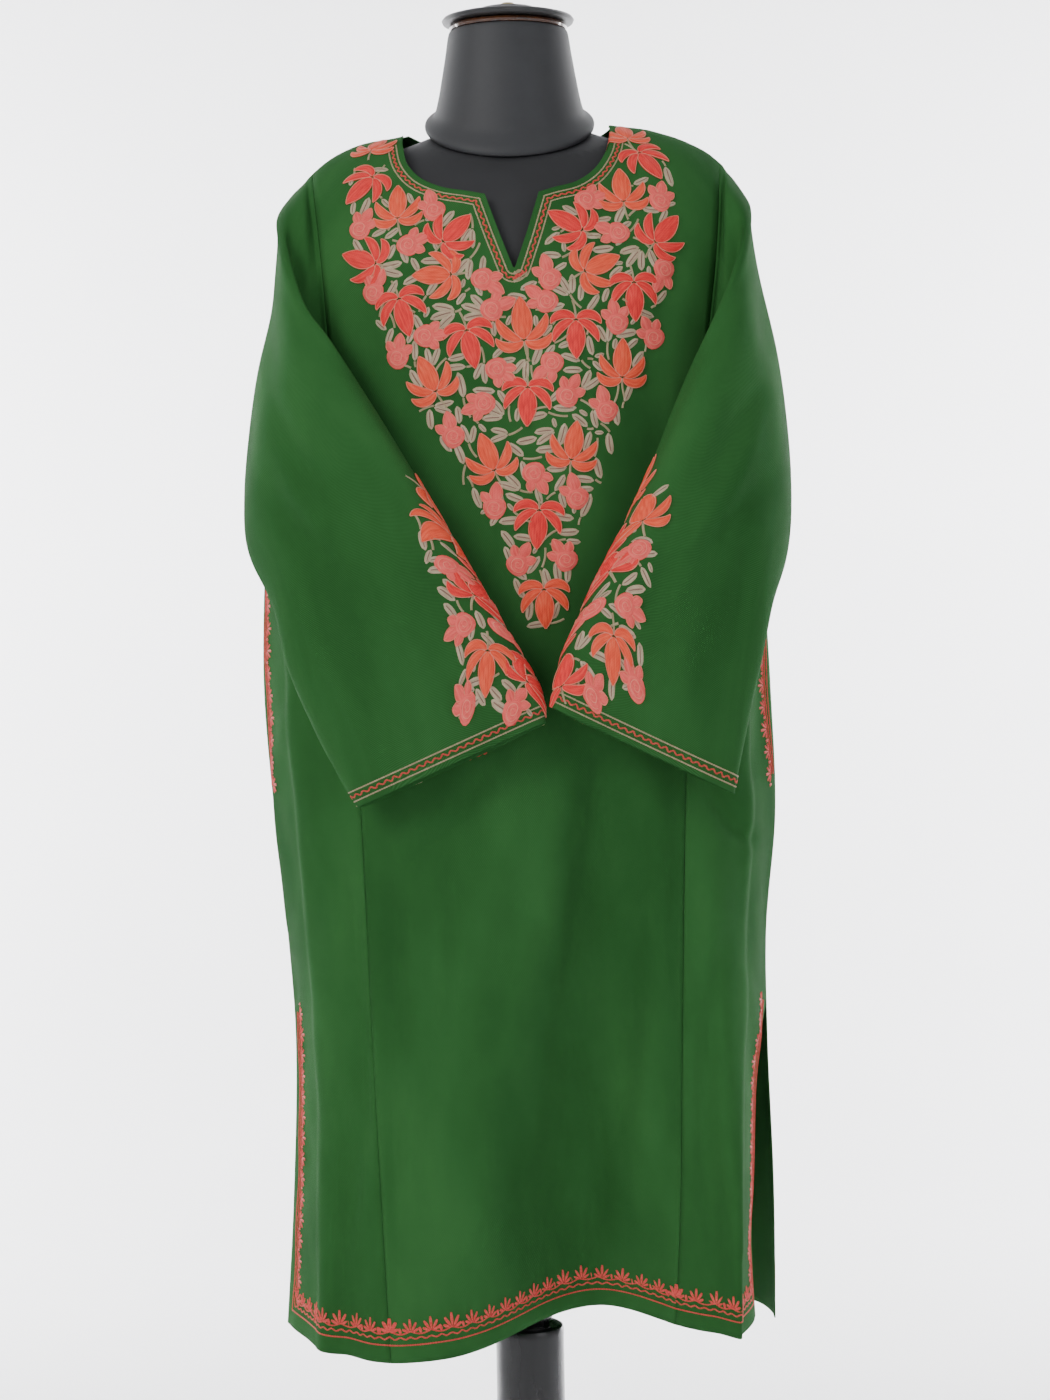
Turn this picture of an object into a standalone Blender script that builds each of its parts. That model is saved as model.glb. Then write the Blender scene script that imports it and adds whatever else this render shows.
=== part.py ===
"""A pheran, a long loose tunic of green wool twill with straight wide sleeves, worn by a
limbless dress form on a post. Metres, +Z up. The origin is on the floor under the post, the
front faces -Y and the wearer's right is at -X.

The cloth is a front panel, two front gores, a back panel and two sleeves, each an open
surface worked out from the tables below and given its thickness by Solidify.
"""

import math
from typing import NamedTuple

import bmesh
import bpy
import numpy as np
from mathutils import Vector

# Cloth
CLOTH = 0.0020
SLEEVE_CLOTH = 0.0015
SEAM_GAP = 0.0008
SHOULDER_GAP = 0.0018
CLEAR = 0.0040
HEM = 0.452
UNDERARM = 1.196
CHEST = 1.280
BODY_ROUND = 2.4
SHOULDER_ROUND = 2.2
SIDE_Y = -0.015
SLEEVE_LEAD, SLEEVE_LEAD_RISE = 0.004, 0.0015
SLEEVE_ROUND = 0.60
SLEEVE_SEAM_GAP, SLEEVE_UNDER_GAP = 0.0007, 0.0010
# Shares of the sleeves' first rings that keep the armhole's own shape
ARMHOLE_KEPT = (0.30, 0.10)
# Shares of the way down an armhole at which the chest line and the underarm's corner lie
ARMHOLE_CHEST, ARMHOLE_CORNER = 0.52, 0.72
CORNER_START, CORNER_RISE = 0.12, 0.006
# Where a sleeve crosses the body's front: how softly it is held clear, and in which strip
CLEAR_SOFTNESS, SIDE_STRIP, FRONT_OF = 0.004, 0.004, -0.06
POCKET_TOP, POCKET_FOOT, POCKET_GAPE = 1.075, 0.915, 0.0030
SLIT_TOP = 0.722

# Mesh steps
PANEL_LOW_ROWS, PANEL_HIGH_ROWS = 21, 7
PANEL_COLUMNS_PER_SPAN = 2
GORE_COLUMNS = 6
BACK_COLUMNS = 18
SLEEVE_POINTS, SLEEVE_STEPS = 22, 2

# Dress form and stand
TORSO_FOOT, TORSO_HALF, TORSO_GAP = 0.800, 0.170, 0.0006
NECK_ROOM, NECK_ROOM_END, NECK_ROOM_FADE = 0.0080, 0.118, 0.022
RIDGE_ROUND_START, RIDGE_ROUND = 0.115, 5
NECK_TILT, NECK_FOOT = 0.48, 1.4630
NECK_TOP = 1.5440
POST_RADIUS, POST_TOP = 0.0295, 0.4370
UPPER_RADIUS, UPPER_NECK = 0.0210, 0.0170
BASE_RADIUS, BASE_HEIGHT = 0.205, 0.018
SIT = 0.0003
TORSO_COLUMNS, TORSO_LOW_ROWS, TORSO_HIGH_ROWS = 20, 9, 7
NECK_POINTS = 40


class Section(NamedTuple):
    """One level of the body: how far the sides, the front and the back stand from the axis."""

    height: float
    right_side: float
    left_side: float
    front: float
    back: float


BODY = (
    Section(height=0.430, right_side=0.209, left_side=0.212, front=-0.158, back=0.132),
    Section(height=0.560, right_side=0.200, left_side=0.212, front=-0.153, back=0.126),
    Section(height=0.690, right_side=0.196, left_side=0.208, front=-0.148, back=0.120),
    Section(height=0.780, right_side=0.201, left_side=0.208, front=-0.144, back=0.116),
    Section(height=0.880, right_side=0.210, left_side=0.217, front=-0.141, back=0.113),
    Section(height=0.990, right_side=0.217, left_side=0.214, front=-0.138, back=0.111),
    Section(height=1.080, right_side=0.215, left_side=0.210, front=-0.136, back=0.109),
    Section(height=1.196, right_side=0.208, left_side=0.208, front=-0.133, back=0.106),
    Section(height=1.280, right_side=0.204, left_side=0.206, front=-0.126, back=0.100),
)


class Ridge(NamedTuple):
    """The highest line of the shoulders, from the wearer's right to the left."""

    x: float
    y: float
    height: float


SHOULDERS = (
    Ridge(x=-0.215, y=0.000, height=1.372),
    Ridge(x=-0.180, y=0.000, height=1.414),
    Ridge(x=-0.160, y=0.000, height=1.433),
    Ridge(x=-0.130, y=0.001, height=1.449),
    Ridge(x=-0.088, y=0.006, height=1.459),
    Ridge(x=-0.050, y=0.030, height=1.476),
    Ridge(x=0.000, y=0.045, height=1.487),
    Ridge(x=0.050, y=0.030, height=1.478),
    Ridge(x=0.084, y=0.006, height=1.464),
    Ridge(x=0.120, y=0.001, height=1.459),
    Ridge(x=0.150, y=0.000, height=1.449),
    Ridge(x=0.178, y=0.000, height=1.430),
    Ridge(x=0.215, y=0.000, height=1.388),
)


class Seam(NamedTuple):
    """Where the front panel's two long seams run, armhole above and gore below."""

    height: float
    right: float
    left: float


SEAMS = (
    Seam(height=0.430, right=-0.112, left=0.120),
    Seam(height=0.560, right=-0.118, left=0.126),
    Seam(height=0.700, right=-0.124, left=0.129),
    Seam(height=0.910, right=-0.131, left=0.135),
    Seam(height=1.196, right=-0.146, left=0.152),
    Seam(height=1.280, right=-0.151, left=0.160),
    Seam(height=1.345, right=-0.156, left=0.168),
    Seam(height=1.440, right=-0.168, left=0.176),
)


class NeckPoint(NamedTuple):
    """A point of the front neck edge and its place across the chest line below it."""

    x: float
    height: float
    chest_x: float


NECK = (
    NeckPoint(x=-0.0890, height=1.4440, chest_x=-0.0920),
    NeckPoint(x=-0.0850, height=1.4260, chest_x=-0.0800),
    NeckPoint(x=-0.0740, height=1.4120, chest_x=-0.0660),
    NeckPoint(x=-0.0560, height=1.4030, chest_x=-0.0500),
    NeckPoint(x=-0.0360, height=1.3990, chest_x=-0.0330),
    NeckPoint(x=-0.0210, height=1.3960, chest_x=-0.0190),
    NeckPoint(x=-0.0100, height=1.3640, chest_x=-0.0090),
    NeckPoint(x=0.0020, height=1.3320, chest_x=0.0020),
    NeckPoint(x=0.0130, height=1.3640, chest_x=0.0120),
    NeckPoint(x=0.0230, height=1.3970, chest_x=0.0210),
    NeckPoint(x=0.0360, height=1.4010, chest_x=0.0350),
    NeckPoint(x=0.0540, height=1.4060, chest_x=0.0520),
    NeckPoint(x=0.0690, height=1.4170, chest_x=0.0680),
    NeckPoint(x=0.0790, height=1.4330, chest_x=0.0820),
    NeckPoint(x=0.0830, height=1.4500, chest_x=0.0940),
)
BACK_NECK_HALF, BACK_NECK_Y = 0.086, 0.078


class Fold(NamedTuple):
    """A soft trough (depth above 0) or ridge (below 0) of the skirt, from its top to the hem."""

    top: float
    x_top: float
    x_hem: float
    half_top: float
    half_hem: float
    depth: float


FRONT_FOLDS = (
    Fold(top=0.960, x_top=0.068, x_hem=0.056, half_top=0.040, half_hem=0.128, depth=0.092),
    Fold(top=0.900, x_top=-0.096, x_hem=-0.112, half_top=0.045, half_hem=0.080, depth=-0.013),
    Fold(top=0.930, x_top=0.146, x_hem=0.192, half_top=0.030, half_hem=0.040, depth=-0.034),
    Fold(top=0.860, x_top=-0.154, x_hem=-0.178, half_top=0.018, half_hem=0.030, depth=-0.009),
    Fold(top=0.860, x_top=-0.132, x_hem=-0.146, half_top=0.012, half_hem=0.020, depth=0.005),
)
BACK_FOLDS = (
    Fold(top=0.980, x_top=-0.060, x_hem=-0.076, half_top=0.035, half_hem=0.065, depth=-0.022),
    Fold(top=0.900, x_top=0.020, x_hem=0.012, half_top=0.030, half_hem=0.055, depth=-0.014),
    Fold(top=1.020, x_top=0.085, x_hem=0.104, half_top=0.035, half_hem=0.060, depth=-0.020),
)


class HemPoint(NamedTuple):
    """How far the hem stands above or below its plain level, across the body."""

    x: float
    front: float
    back: float


HEM_LINE = (
    HemPoint(x=-0.215, front=-0.002, back=-0.008),
    HemPoint(x=-0.110, front=-0.003, back=-0.012),
    HemPoint(x=-0.040, front=0.004, back=-0.009),
    HemPoint(x=0.056, front=0.018, back=-0.010),
    HemPoint(x=0.110, front=0.010, back=-0.013),
    HemPoint(x=0.160, front=0.004, back=-0.012),
    HemPoint(x=0.215, front=0.006, back=-0.010),
)


class SlitEdge(NamedTuple):
    """How the two edges of one hem slit stand away from the side line."""

    height: float
    front_in: float
    front_gap: float
    back_in: float
    back_gap: float


RIGHT_SLIT = (
    SlitEdge(height=0.430, front_in=0.000, front_gap=0.016, back_in=0.010, back_gap=0.006),
    SlitEdge(height=0.560, front_in=0.000, front_gap=0.011, back_in=0.007, back_gap=0.005),
    SlitEdge(height=0.680, front_in=0.000, front_gap=0.004, back_in=0.002, back_gap=0.002),
    SlitEdge(height=0.722, front_in=0.000, front_gap=0.000, back_in=0.000, back_gap=0.000),
    SlitEdge(height=0.760, front_in=0.000, front_gap=0.000, back_in=0.000, back_gap=0.000),
)
LEFT_SLIT = (
    SlitEdge(height=0.430, front_in=0.018, front_gap=0.030, back_in=0.000, back_gap=0.002),
    SlitEdge(height=0.520, front_in=0.021, front_gap=0.030, back_in=0.000, back_gap=0.002),
    SlitEdge(height=0.600, front_in=0.017, front_gap=0.024, back_in=0.000, back_gap=0.002),
    SlitEdge(height=0.680, front_in=0.009, front_gap=0.011, back_in=0.000, back_gap=0.001),
    SlitEdge(height=0.722, front_in=0.000, front_gap=0.000, back_in=0.000, back_gap=0.000),
    SlitEdge(height=0.760, front_in=0.000, front_gap=0.000, back_in=0.000, back_gap=0.000),
)


class Ring(NamedTuple):
    """One ring of a sleeve: its top line, outer face, underarm line and inner face."""

    top: tuple
    outer: tuple
    under: tuple
    inner: tuple


RIGHT_SLEEVE = (
    Ring(top=(-0.187, -0.024, 1.405), outer=(-0.184, 0.072, 1.285),
         under=(-0.2170, -0.018, 1.187), inner=(-0.170, -0.094, 1.300)),
    Ring(top=(-0.195, -0.066, 1.380), outer=(-0.208, 0.045, 1.268),
         under=(-0.2200, -0.036, 1.166), inner=(-0.184, -0.088, 1.278)),
    Ring(top=(-0.185, -0.110, 1.346), outer=(-0.220, -0.002, 1.245),
         under=(-0.2175, -0.058, 1.143), inner=(-0.189, -0.093, 1.248)),
    Ring(top=(-0.169, -0.134, 1.306), outer=(-0.2175, -0.062, 1.213),
         under=(-0.2110, -0.082, 1.118), inner=(-0.182, -0.105, 1.214)),
    Ring(top=(-0.147, -0.147, 1.276), outer=(-0.2040, -0.116, 1.186),
         under=(-0.2040, -0.102, 1.094), inner=(-0.168, -0.118, 1.184)),
    Ring(top=(-0.112, -0.150, 1.222), outer=(-0.166, -0.164, 1.144),
         under=(-0.1930, -0.119, 1.059), inner=(-0.152, -0.125, 1.140)),
    Ring(top=(-0.068, -0.158, 1.147), outer=(-0.133, -0.179, 1.083),
         under=(-0.1850, -0.132, 1.014), inner=(-0.125, -0.136, 1.080)),
    Ring(top=(-0.017, -0.162, 1.057), outer=(-0.092, -0.184, 1.008),
         under=(-0.1630, -0.142, 0.960), inner=(-0.090, -0.150, 1.008)),
    Ring(top=(0.016, -0.163, 0.998), outer=(-0.065, -0.178, 0.958),
         under=(-0.1420, -0.148, 0.921), inner=(-0.064, -0.156, 0.955)),
    Ring(top=(0.021, -0.163, 0.968), outer=(-0.055, -0.172, 0.936),
         under=(-0.1310, -0.150, 0.901), inner=(-0.055, -0.155, 0.932)),
)
LEFT_SLEEVE = (
    Ring(top=(0.192, -0.024, 1.409), outer=(0.189, 0.072, 1.290),
         under=(0.2180, -0.018, 1.187), inner=(0.176, -0.094, 1.300)),
    Ring(top=(0.200, -0.066, 1.382), outer=(0.213, 0.045, 1.277),
         under=(0.2220, -0.036, 1.165), inner=(0.190, -0.088, 1.280)),
    Ring(top=(0.192, -0.108, 1.352), outer=(0.2255, -0.002, 1.257),
         under=(0.2200, -0.058, 1.141), inner=(0.195, -0.094, 1.252)),
    Ring(top=(0.177, -0.132, 1.319), outer=(0.2230, -0.062, 1.225),
         under=(0.2130, -0.082, 1.113), inner=(0.189, -0.106, 1.218)),
    Ring(top=(0.163, -0.146, 1.289), outer=(0.2120, -0.116, 1.192),
         under=(0.2075, -0.102, 1.083), inner=(0.176, -0.119, 1.186)),
    Ring(top=(0.136, -0.152, 1.232), outer=(0.183, -0.164, 1.148),
         under=(0.2010, -0.120, 1.052), inner=(0.158, -0.128, 1.142)),
    Ring(top=(0.101, -0.162, 1.152), outer=(0.155, -0.184, 1.083),
         under=(0.1930, -0.134, 1.008), inner=(0.140, -0.138, 1.080)),
    Ring(top=(0.060, -0.168, 1.074), outer=(0.122, -0.189, 1.018),
         under=(0.1850, -0.144, 0.968), inner=(0.116, -0.150, 1.018)),
    Ring(top=(0.032, -0.170, 1.014), outer=(0.103, -0.185, 0.968),
         under=(0.1760, -0.152, 0.928), inner=(0.102, -0.160, 0.966)),
    Ring(top=(0.0255, -0.170, 0.981), outer=(0.098, -0.180, 0.945),
         under=(0.1720, -0.155, 0.908), inner=(0.098, -0.162, 0.943)),
)


def along(rows, key, column, at):
    """The value of a table's column at one place, on a smooth curve through its rows."""
    keys = [getattr(row, key) for row in rows]
    values = [getattr(row, column) for row in rows]
    at = min(max(at, keys[0]), keys[-1])
    step = min(int(np.searchsorted(keys, at, side="right")) - 1, len(keys) - 2)
    slopes = np.diff(values) / np.diff(keys)
    width = keys[step + 1] - keys[step]
    share = (at - keys[step]) / width
    start = slopes[step] if step == 0 else (slopes[step - 1] + slopes[step]) / 2
    last = step + 2 == len(keys)
    end = slopes[step] if last else (slopes[step] + slopes[step + 1]) / 2
    ends_mix = share * share * (3 - 2 * share)
    start_mix = share * (1 - share) ** 2
    end_mix = share * share * (share - 1)
    return (
        values[step] * (1 - ends_mix)
        + values[step + 1] * ends_mix
        + width * (start * start_mix + end * end_mix)
    )


def side_width(x, height):
    """Half the body's width on the side that x lies on."""
    return along(BODY, "height", "left_side" if x > 0 else "right_side", height)


def fold_depth(folds, x, height):
    """How far the folds of one face push the cloth inwards at a point of the skirt."""
    total = 0.0
    for fold in folds:
        fall = (fold.top - height) / (fold.top - HEM)
        if fall <= 0:
            continue
        fall = min(fall, 1.0)
        middle = fold.x_top + (fold.x_hem - fold.x_top) * fall
        half = fold.half_top + (fold.half_hem - fold.half_top) * fall
        reach = abs(x - middle) / half
        if reach < 1:
            total += fold.depth * fall * (1 + math.cos(math.pi * reach)) / 2
    return total


def body_depth(x, height, face):
    """y of the body's cloth at one x and height, on its front or its back."""
    share = min(abs(x) / side_width(x, height), 1.0)
    reach = (1 - share**BODY_ROUND) ** (1 / BODY_ROUND)
    depth = SIDE_Y + (along(BODY, "height", face, height) - SIDE_Y) * reach
    if face == "front":
        return depth + fold_depth(FRONT_FOLDS, x, height)
    return depth - fold_depth(BACK_FOLDS, x, height)


def shoulder_point(x, turn, face):
    """A point over the shoulders: turn runs from 0 on the chest line to 1 on the ridge."""
    ridge_y = along(SHOULDERS, "x", "y", x)
    ridge_height = along(SHOULDERS, "x", "height", x)
    angle = turn * math.pi / 2
    out = max(math.cos(angle), 0.0) ** (2 / SHOULDER_ROUND)
    rise = math.sin(angle) ** (2 / SHOULDER_ROUND)
    y = ridge_y + (body_depth(x, CHEST, face) - ridge_y) * out
    return Vector((x, y, CHEST + (ridge_height - CHEST) * rise))


def turn_at(x, height):
    """The turn over the shoulder at which the cloth reaches a height."""
    ridge_height = along(SHOULDERS, "x", "height", x)
    rise = min(max((height - CHEST) / (ridge_height - CHEST), 0.0), 1.0)
    return math.asin(rise ** (SHOULDER_ROUND / 2)) * 2 / math.pi


def front_point(x, height):
    """A point of the front's cloth at one x and height, skirt or shoulder."""
    if height > CHEST:
        return shoulder_point(x, turn_at(x, height), "front")
    return Vector((x, body_depth(x, height, "front"), height))


def hem_height(x, face):
    """Height of the hem of one face at x."""
    return HEM + along(HEM_LINE, "x", face, x)


def seam_x(side, height):
    """x of one long seam of the front panel at a height."""
    return along(SEAMS, "height", "right" if side < 0 else "left", height)


def shoulder_seam(side, turn, face, outward=0.0):
    """A point of an armhole seam; outward moves it along the cloth towards the sleeve."""
    x = seam_x(side, CHEST)
    for _ in range(3):
        height = shoulder_point(x, turn, face).z
        x = seam_x(side, height)
    return shoulder_point(x + side * outward, turn, face)


def side_seam_point(side, height, share, face):
    """A point between the long seam (share 0) and the side edge (share 1) of one face."""
    slit = LEFT_SLIT if side > 0 else RIGHT_SLIT
    gap = SEAM_GAP / 2
    inward = 0.0
    if height < SLIT_TOP:
        gap += along(slit, "height", face + "_gap", height)
        inward = along(slit, "height", face + "_in", height)
    elif POCKET_FOOT < height < POCKET_TOP:
        middle = (height - POCKET_FOOT) / (POCKET_TOP - POCKET_FOOT)
        gap += POCKET_GAPE / 2 * math.sin(math.pi * middle)
    half = side_width(side, height)
    reach = abs(along(BODY, "height", face, height) - SIDE_Y)
    power = BODY_ROUND / 2
    start = math.asin((abs(seam_x(side, height) + side * SEAM_GAP / 2) / half) ** power)
    end = math.acos((gap / reach) ** power)
    angle = start + (end - start) * share
    x = side * half * math.sin(angle) ** (1 / power)
    y = body_depth(x, height, face)
    return Vector((x - side * inward * share**3, y, height))


def skirt_heights(top, face, x_at):
    """Heights of a panel's rows for one column, from its own hem up to a level."""
    foot = hem_height(x_at, face)
    return [foot + (top - foot) * row / PANEL_LOW_ROWS for row in range(PANEL_LOW_ROWS + 1)]


def split(points, count):
    """The points with count - 1 more between each pair, evenly spaced."""
    spaced = [
        tuple(a + (b - a) * step / count for a, b in zip(first, second))
        for first, second in zip(points, points[1:])
        for step in range(count)
    ]
    return spaced + [points[-1]]


def front_top_edge():
    """(x, turn, chest_x) along the front panel's top: shoulder, neck, shoulder."""
    edges = [seam_x(side, CHEST) - side * SEAM_GAP / 2 for side in (-1, 1)]
    tops = [shoulder_seam(side, 1.0, "front").x - side * SEAM_GAP / 2 for side in (-1, 1)]
    neck = [(point.x, turn_at(point.x, point.height), point.chest_x) for point in NECK]
    right = [(tops[0], 1.0, edges[0]), (-0.130, 1.0, -0.121), (-0.0905, 1.0, -0.1000)]
    left = [(0.0840, 1.0, 0.1020), (0.130, 1.0, 0.129), (tops[1], 1.0, edges[1])]
    return split(right, PANEL_COLUMNS_PER_SPAN) + neck + split(left, PANEL_COLUMNS_PER_SPAN)


def shoulder_column(top_x, top_turn, chest_x, face, sew=0.0):
    """The rows of one column from the chest line up to the top edge."""
    rows = []
    for row in range(1, PANEL_HIGH_ROWS + 1):
        share = row / PANEL_HIGH_ROWS
        turn = min(top_turn, 1.0) * share
        point = shoulder_point(chest_x + (top_x - chest_x) * share, turn, face)
        rows.append(point)
    if sew:
        rows[-1] = rows[-1] + Vector((0, sew, 0))
    return rows


def armhole_column(side, face):
    """The rows of a panel's edge column up its armhole seam."""
    turns = [row / PANEL_HIGH_ROWS for row in range(1, PANEL_HIGH_ROWS + 1)]
    return [shoulder_seam(side, turn, face, outward=-SEAM_GAP / 2) for turn in turns]


def front_columns():
    """Every column of the front panel, from the wearer's right to the left."""
    top = front_top_edge()
    first, last = top[0][2], top[-1][2]
    columns = []
    for top_x, turn, chest_x in top:
        across = (chest_x - first) / (last - first)
        column = []
        for height in skirt_heights(CHEST, "front", chest_x):
            edges = [seam_x(side, height) - side * SEAM_GAP / 2 for side in (-1, 1)]
            x = edges[0] + (edges[1] - edges[0]) * across
            column.append(Vector((x, body_depth(x, height, "front"), height)))
        sew = -SHOULDER_GAP / 2 if turn == 1.0 else 0.0
        if across in (0.0, 1.0):
            upper = armhole_column(-1 if across == 0.0 else 1, "front")
            upper[-1] = upper[-1] + Vector((0, sew, 0))
        else:
            upper = shoulder_column(top_x, turn, chest_x, "front", sew)
        columns.append(column + upper)
    return columns


def gore_columns(side):
    """Every column of a front gore, from its long seam to the side seam."""
    columns = []
    for step in range(GORE_COLUMNS + 1):
        share = step / GORE_COLUMNS
        x_at = side * (abs(seam_x(side, HEM)) * (1 - share) + side_width(side, HEM) * share)
        heights = skirt_heights(UNDERARM, "front", x_at)
        columns.append([side_seam_point(side, z, share, "front") for z in heights])
    return columns


def back_neck_top(x):
    """The turn at which the back ends: the neck hole's edge, or the shoulder seam."""
    if abs(x) >= BACK_NECK_HALF:
        return 1.0
    y = BACK_NECK_Y * math.sqrt(1 - (x / BACK_NECK_HALF) ** 2)
    low, high = 0.0, 1.0
    for _ in range(30):
        middle = (low + high) / 2
        if shoulder_point(x, middle, "back").y > y:
            low = middle
        else:
            high = middle
    return low


def back_columns():
    """(lower rows, upper rows) of each column of the back; side columns have no upper rows."""
    columns = []
    for step in range(GORE_COLUMNS):
        columns.append((side_back_column(-1, 1 - step / GORE_COLUMNS), None))
    for step in range(BACK_COLUMNS + 1):
        columns.append(middle_back_column(step / BACK_COLUMNS))
    for step in range(1, GORE_COLUMNS + 1):
        columns.append((side_back_column(1, step / GORE_COLUMNS), None))
    return columns


def side_back_column(side, share):
    """A column of the back between a long seam's line and the side edge."""
    x_at = side * (abs(seam_x(side, HEM)) * (1 - share) + side_width(side, HEM) * share)
    heights = skirt_heights(UNDERARM, "back", x_at)
    return [side_seam_point(side, height, share, "back") for height in heights]


def middle_back_column(across):
    """(lower rows, upper rows) of a column of the back's middle."""
    x_at = seam_x(-1, HEM) + (seam_x(1, HEM) - seam_x(-1, HEM)) * across
    lower = []
    for height in skirt_heights(UNDERARM, "back", x_at):
        edges = [seam_x(side, height) for side in (-1, 1)]
        x = edges[0] + (edges[1] - edges[0]) * across
        lower.append(Vector((x, body_depth(x, height, "back"), height)))
    side = -1 if across == 0.0 else 1
    if across in (0.0, 1.0):
        x = seam_x(side, CHEST) - side * SEAM_GAP / 2
        upper = [Vector((x, body_depth(x, CHEST, "back"), CHEST))]
        return lower, upper + armhole_column(side, "back")
    tops = [shoulder_seam(side, 1.0, "back").x for side in (-1, 1)]
    top_x = tops[0] + (tops[1] - tops[0]) * across
    edges = [seam_x(side, CHEST) for side in (-1, 1)]
    chest_x = edges[0] + (edges[1] - edges[0]) * across
    upper = [Vector((chest_x, body_depth(chest_x, CHEST, "back"), CHEST))]
    turn = back_neck_top(top_x)
    sew = SHOULDER_GAP / 2 if turn == 1.0 else 0.0
    return lower, upper + shoulder_column(top_x, turn, chest_x, "back", sew)


def armhole_loop(side):
    """(seam ring, lead ring) of a sleeve: shoulder, back seam, underarm, front seam."""
    seam, lead = [], []
    for step in range(SLEEVE_POINTS):
        around = 2 * step / SLEEVE_POINTS
        face = "back" if around <= 1 else "front"
        fall = around if around <= 1 else 2 - around
        point, beyond = armhole_pair(side, fall, face)
        seam.append(point)
        lead.append(beyond)
    return seam, lead


def armhole_pair(side, fall, face):
    """A sleeve's seam point and the next one out, at a share of the way to the underarm."""
    if fall < ARMHOLE_CHEST:
        turn = 1 - fall / ARMHOLE_CHEST
        return [shoulder_seam(side, turn, face, out) for out in (SLEEVE_SEAM_GAP, SLEEVE_LEAD)]
    if fall < ARMHOLE_CORNER:
        share = (fall - ARMHOLE_CHEST) / (ARMHOLE_CORNER - ARMHOLE_CHEST)
        height = CHEST + (UNDERARM + CORNER_RISE - CHEST) * share
        x = seam_x(side, height)
        points = []
        for out in (SLEEVE_SEAM_GAP, SLEEVE_LEAD):
            points.append(Vector((x + side * out, body_depth(x + side * out, height, face), height)))
        return points
    below = (fall - ARMHOLE_CORNER) / (1 - ARMHOLE_CORNER)
    share = CORNER_START + (1 - CORNER_START) * below
    edge = side_seam_point(side, UNDERARM, share, face)
    point = edge + Vector((0, 0, SLEEVE_UNDER_GAP))
    ahead = side_seam_point(side, UNDERARM, min(share + 0.02, 1.0), face)
    behind = side_seam_point(side, UNDERARM, share - 0.02, face)
    tangent = ahead - behind
    away = Vector((side * abs(tangent.y), -abs(tangent.x) if face == "front" else abs(tangent.x), 0))
    return point, point + away.normalized() * SLEEVE_LEAD + Vector((0, 0, SLEEVE_LEAD_RISE))


def ring_points(ring):
    """The points of one sleeve ring, through its four named lines."""
    top, outer, under, inner = (Vector(point) for point in ring)
    middle = (top + under) / 2
    points = []
    for step in range(SLEEVE_POINTS):
        angle = 2 * math.pi * step / SLEEVE_POINTS
        bulge = (outer if math.sin(angle) > 0 else inner) - middle
        lift = abs(math.sin(angle)) ** SLEEVE_ROUND
        points.append(middle + (top - middle) * math.cos(angle) + bulge * lift)
    return points


def clear_of_body(point):
    """The point moved forward, where needed, to lie just clear of the body's front."""
    if abs(point.x) > side_width(point.x, min(point.z, CHEST)) - SIDE_STRIP or point.y > FRONT_OF:
        return point
    limit = front_point(point.x, point.z).y - CLEAR
    excess = point.y - limit
    pushed = limit + (excess - math.hypot(excess, CLEAR_SOFTNESS)) / 2
    return Vector((point.x, min(point.y, pushed), point.z))


def between(before, first, second, after, share):
    """A point on the smooth curve from first to second."""
    return (
        first * 2
        + (second - before) * share
        + (before * 2 - first * 5 + second * 4 - after) * share**2
        + (first * 3 - before - second * 3 + after) * share**3
    ) / 2


def sleeve_rings(side, table):
    """Every ring of a sleeve, from the armhole to the cuff."""
    seam, lead = armhole_loop(side)
    half = SLEEVE_POINTS // 2
    lead_middle = (lead[0] + lead[half]) / 2
    main = [lead]
    for index, row in enumerate(table):
        ring = ring_points(row)
        kept = ARMHOLE_KEPT[index] if index < len(ARMHOLE_KEPT) else 0.0
        shift = (ring[0] + ring[half]) / 2 - lead_middle
        main.append([a * (1 - kept) + (b + shift) * kept for a, b in zip(ring, lead)])
    rings = [seam, lead]
    for index in range(len(main) - 1):
        before = seam if index == 0 else main[index - 1]
        after = main[min(index + 2, len(main) - 1)]
        for step in range(1, SLEEVE_STEPS + 1):
            share = step / SLEEVE_STEPS
            four = zip(before, main[index], main[index + 1], after)
            ring = [between(a, b, c, d, share) for a, b, c, d in four]
            rings.append([clear_of_body(point) for point in ring] if index > 2 else ring)
    return rings


def material(name, color, roughness, metallic=0.0):
    """A material of one colour, roughness and metallic value."""
    made = bpy.data.materials.new(name)
    made.use_nodes = True
    shader = made.node_tree.nodes["Principled BSDF"]
    shader.inputs["Base Color"].default_value = (*color, 1.0)
    shader.inputs["Roughness"].default_value = roughness
    shader.inputs["Metallic"].default_value = metallic
    made.diffuse_color = (*color, 1.0)
    return made


def place(obj, finish, collection):
    """Gives an object its finish and puts it in the collection."""
    obj.data.materials.append(finish)
    for face in obj.data.polygons:
        face.use_smooth = True
    collection.objects.link(obj)
    return obj


def cloth_object(name, faces_of_points, collection, finish, thick, flip=False):
    """An open surface from quads of points, made a wall by Solidify on its inner side."""
    mesh = bpy.data.meshes.new(name)
    grid = bmesh.new()
    known = {}
    for quad in faces_of_points:
        corners = []
        for point in quad:
            key = tuple(round(value, 7) for value in point)
            if key not in known:
                known[key] = grid.verts.new(point)
            corners.append(known[key])
        if flip:
            corners.reverse()
        grid.faces.new(corners)
    grid.to_mesh(mesh)
    grid.free()
    obj = place(bpy.data.objects.new(name, mesh), finish, collection)
    wall = obj.modifiers.new("Wall", "SOLIDIFY")
    wall.thickness = thick
    wall.offset = -1.0
    wall.use_rim = True
    return obj


def column_quads(columns):
    """Quads between neighbouring columns of equal length."""
    for first, second in zip(columns, columns[1:]):
        for row in range(len(first) - 1):
            yield first[row], second[row], second[row + 1], first[row + 1]


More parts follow.
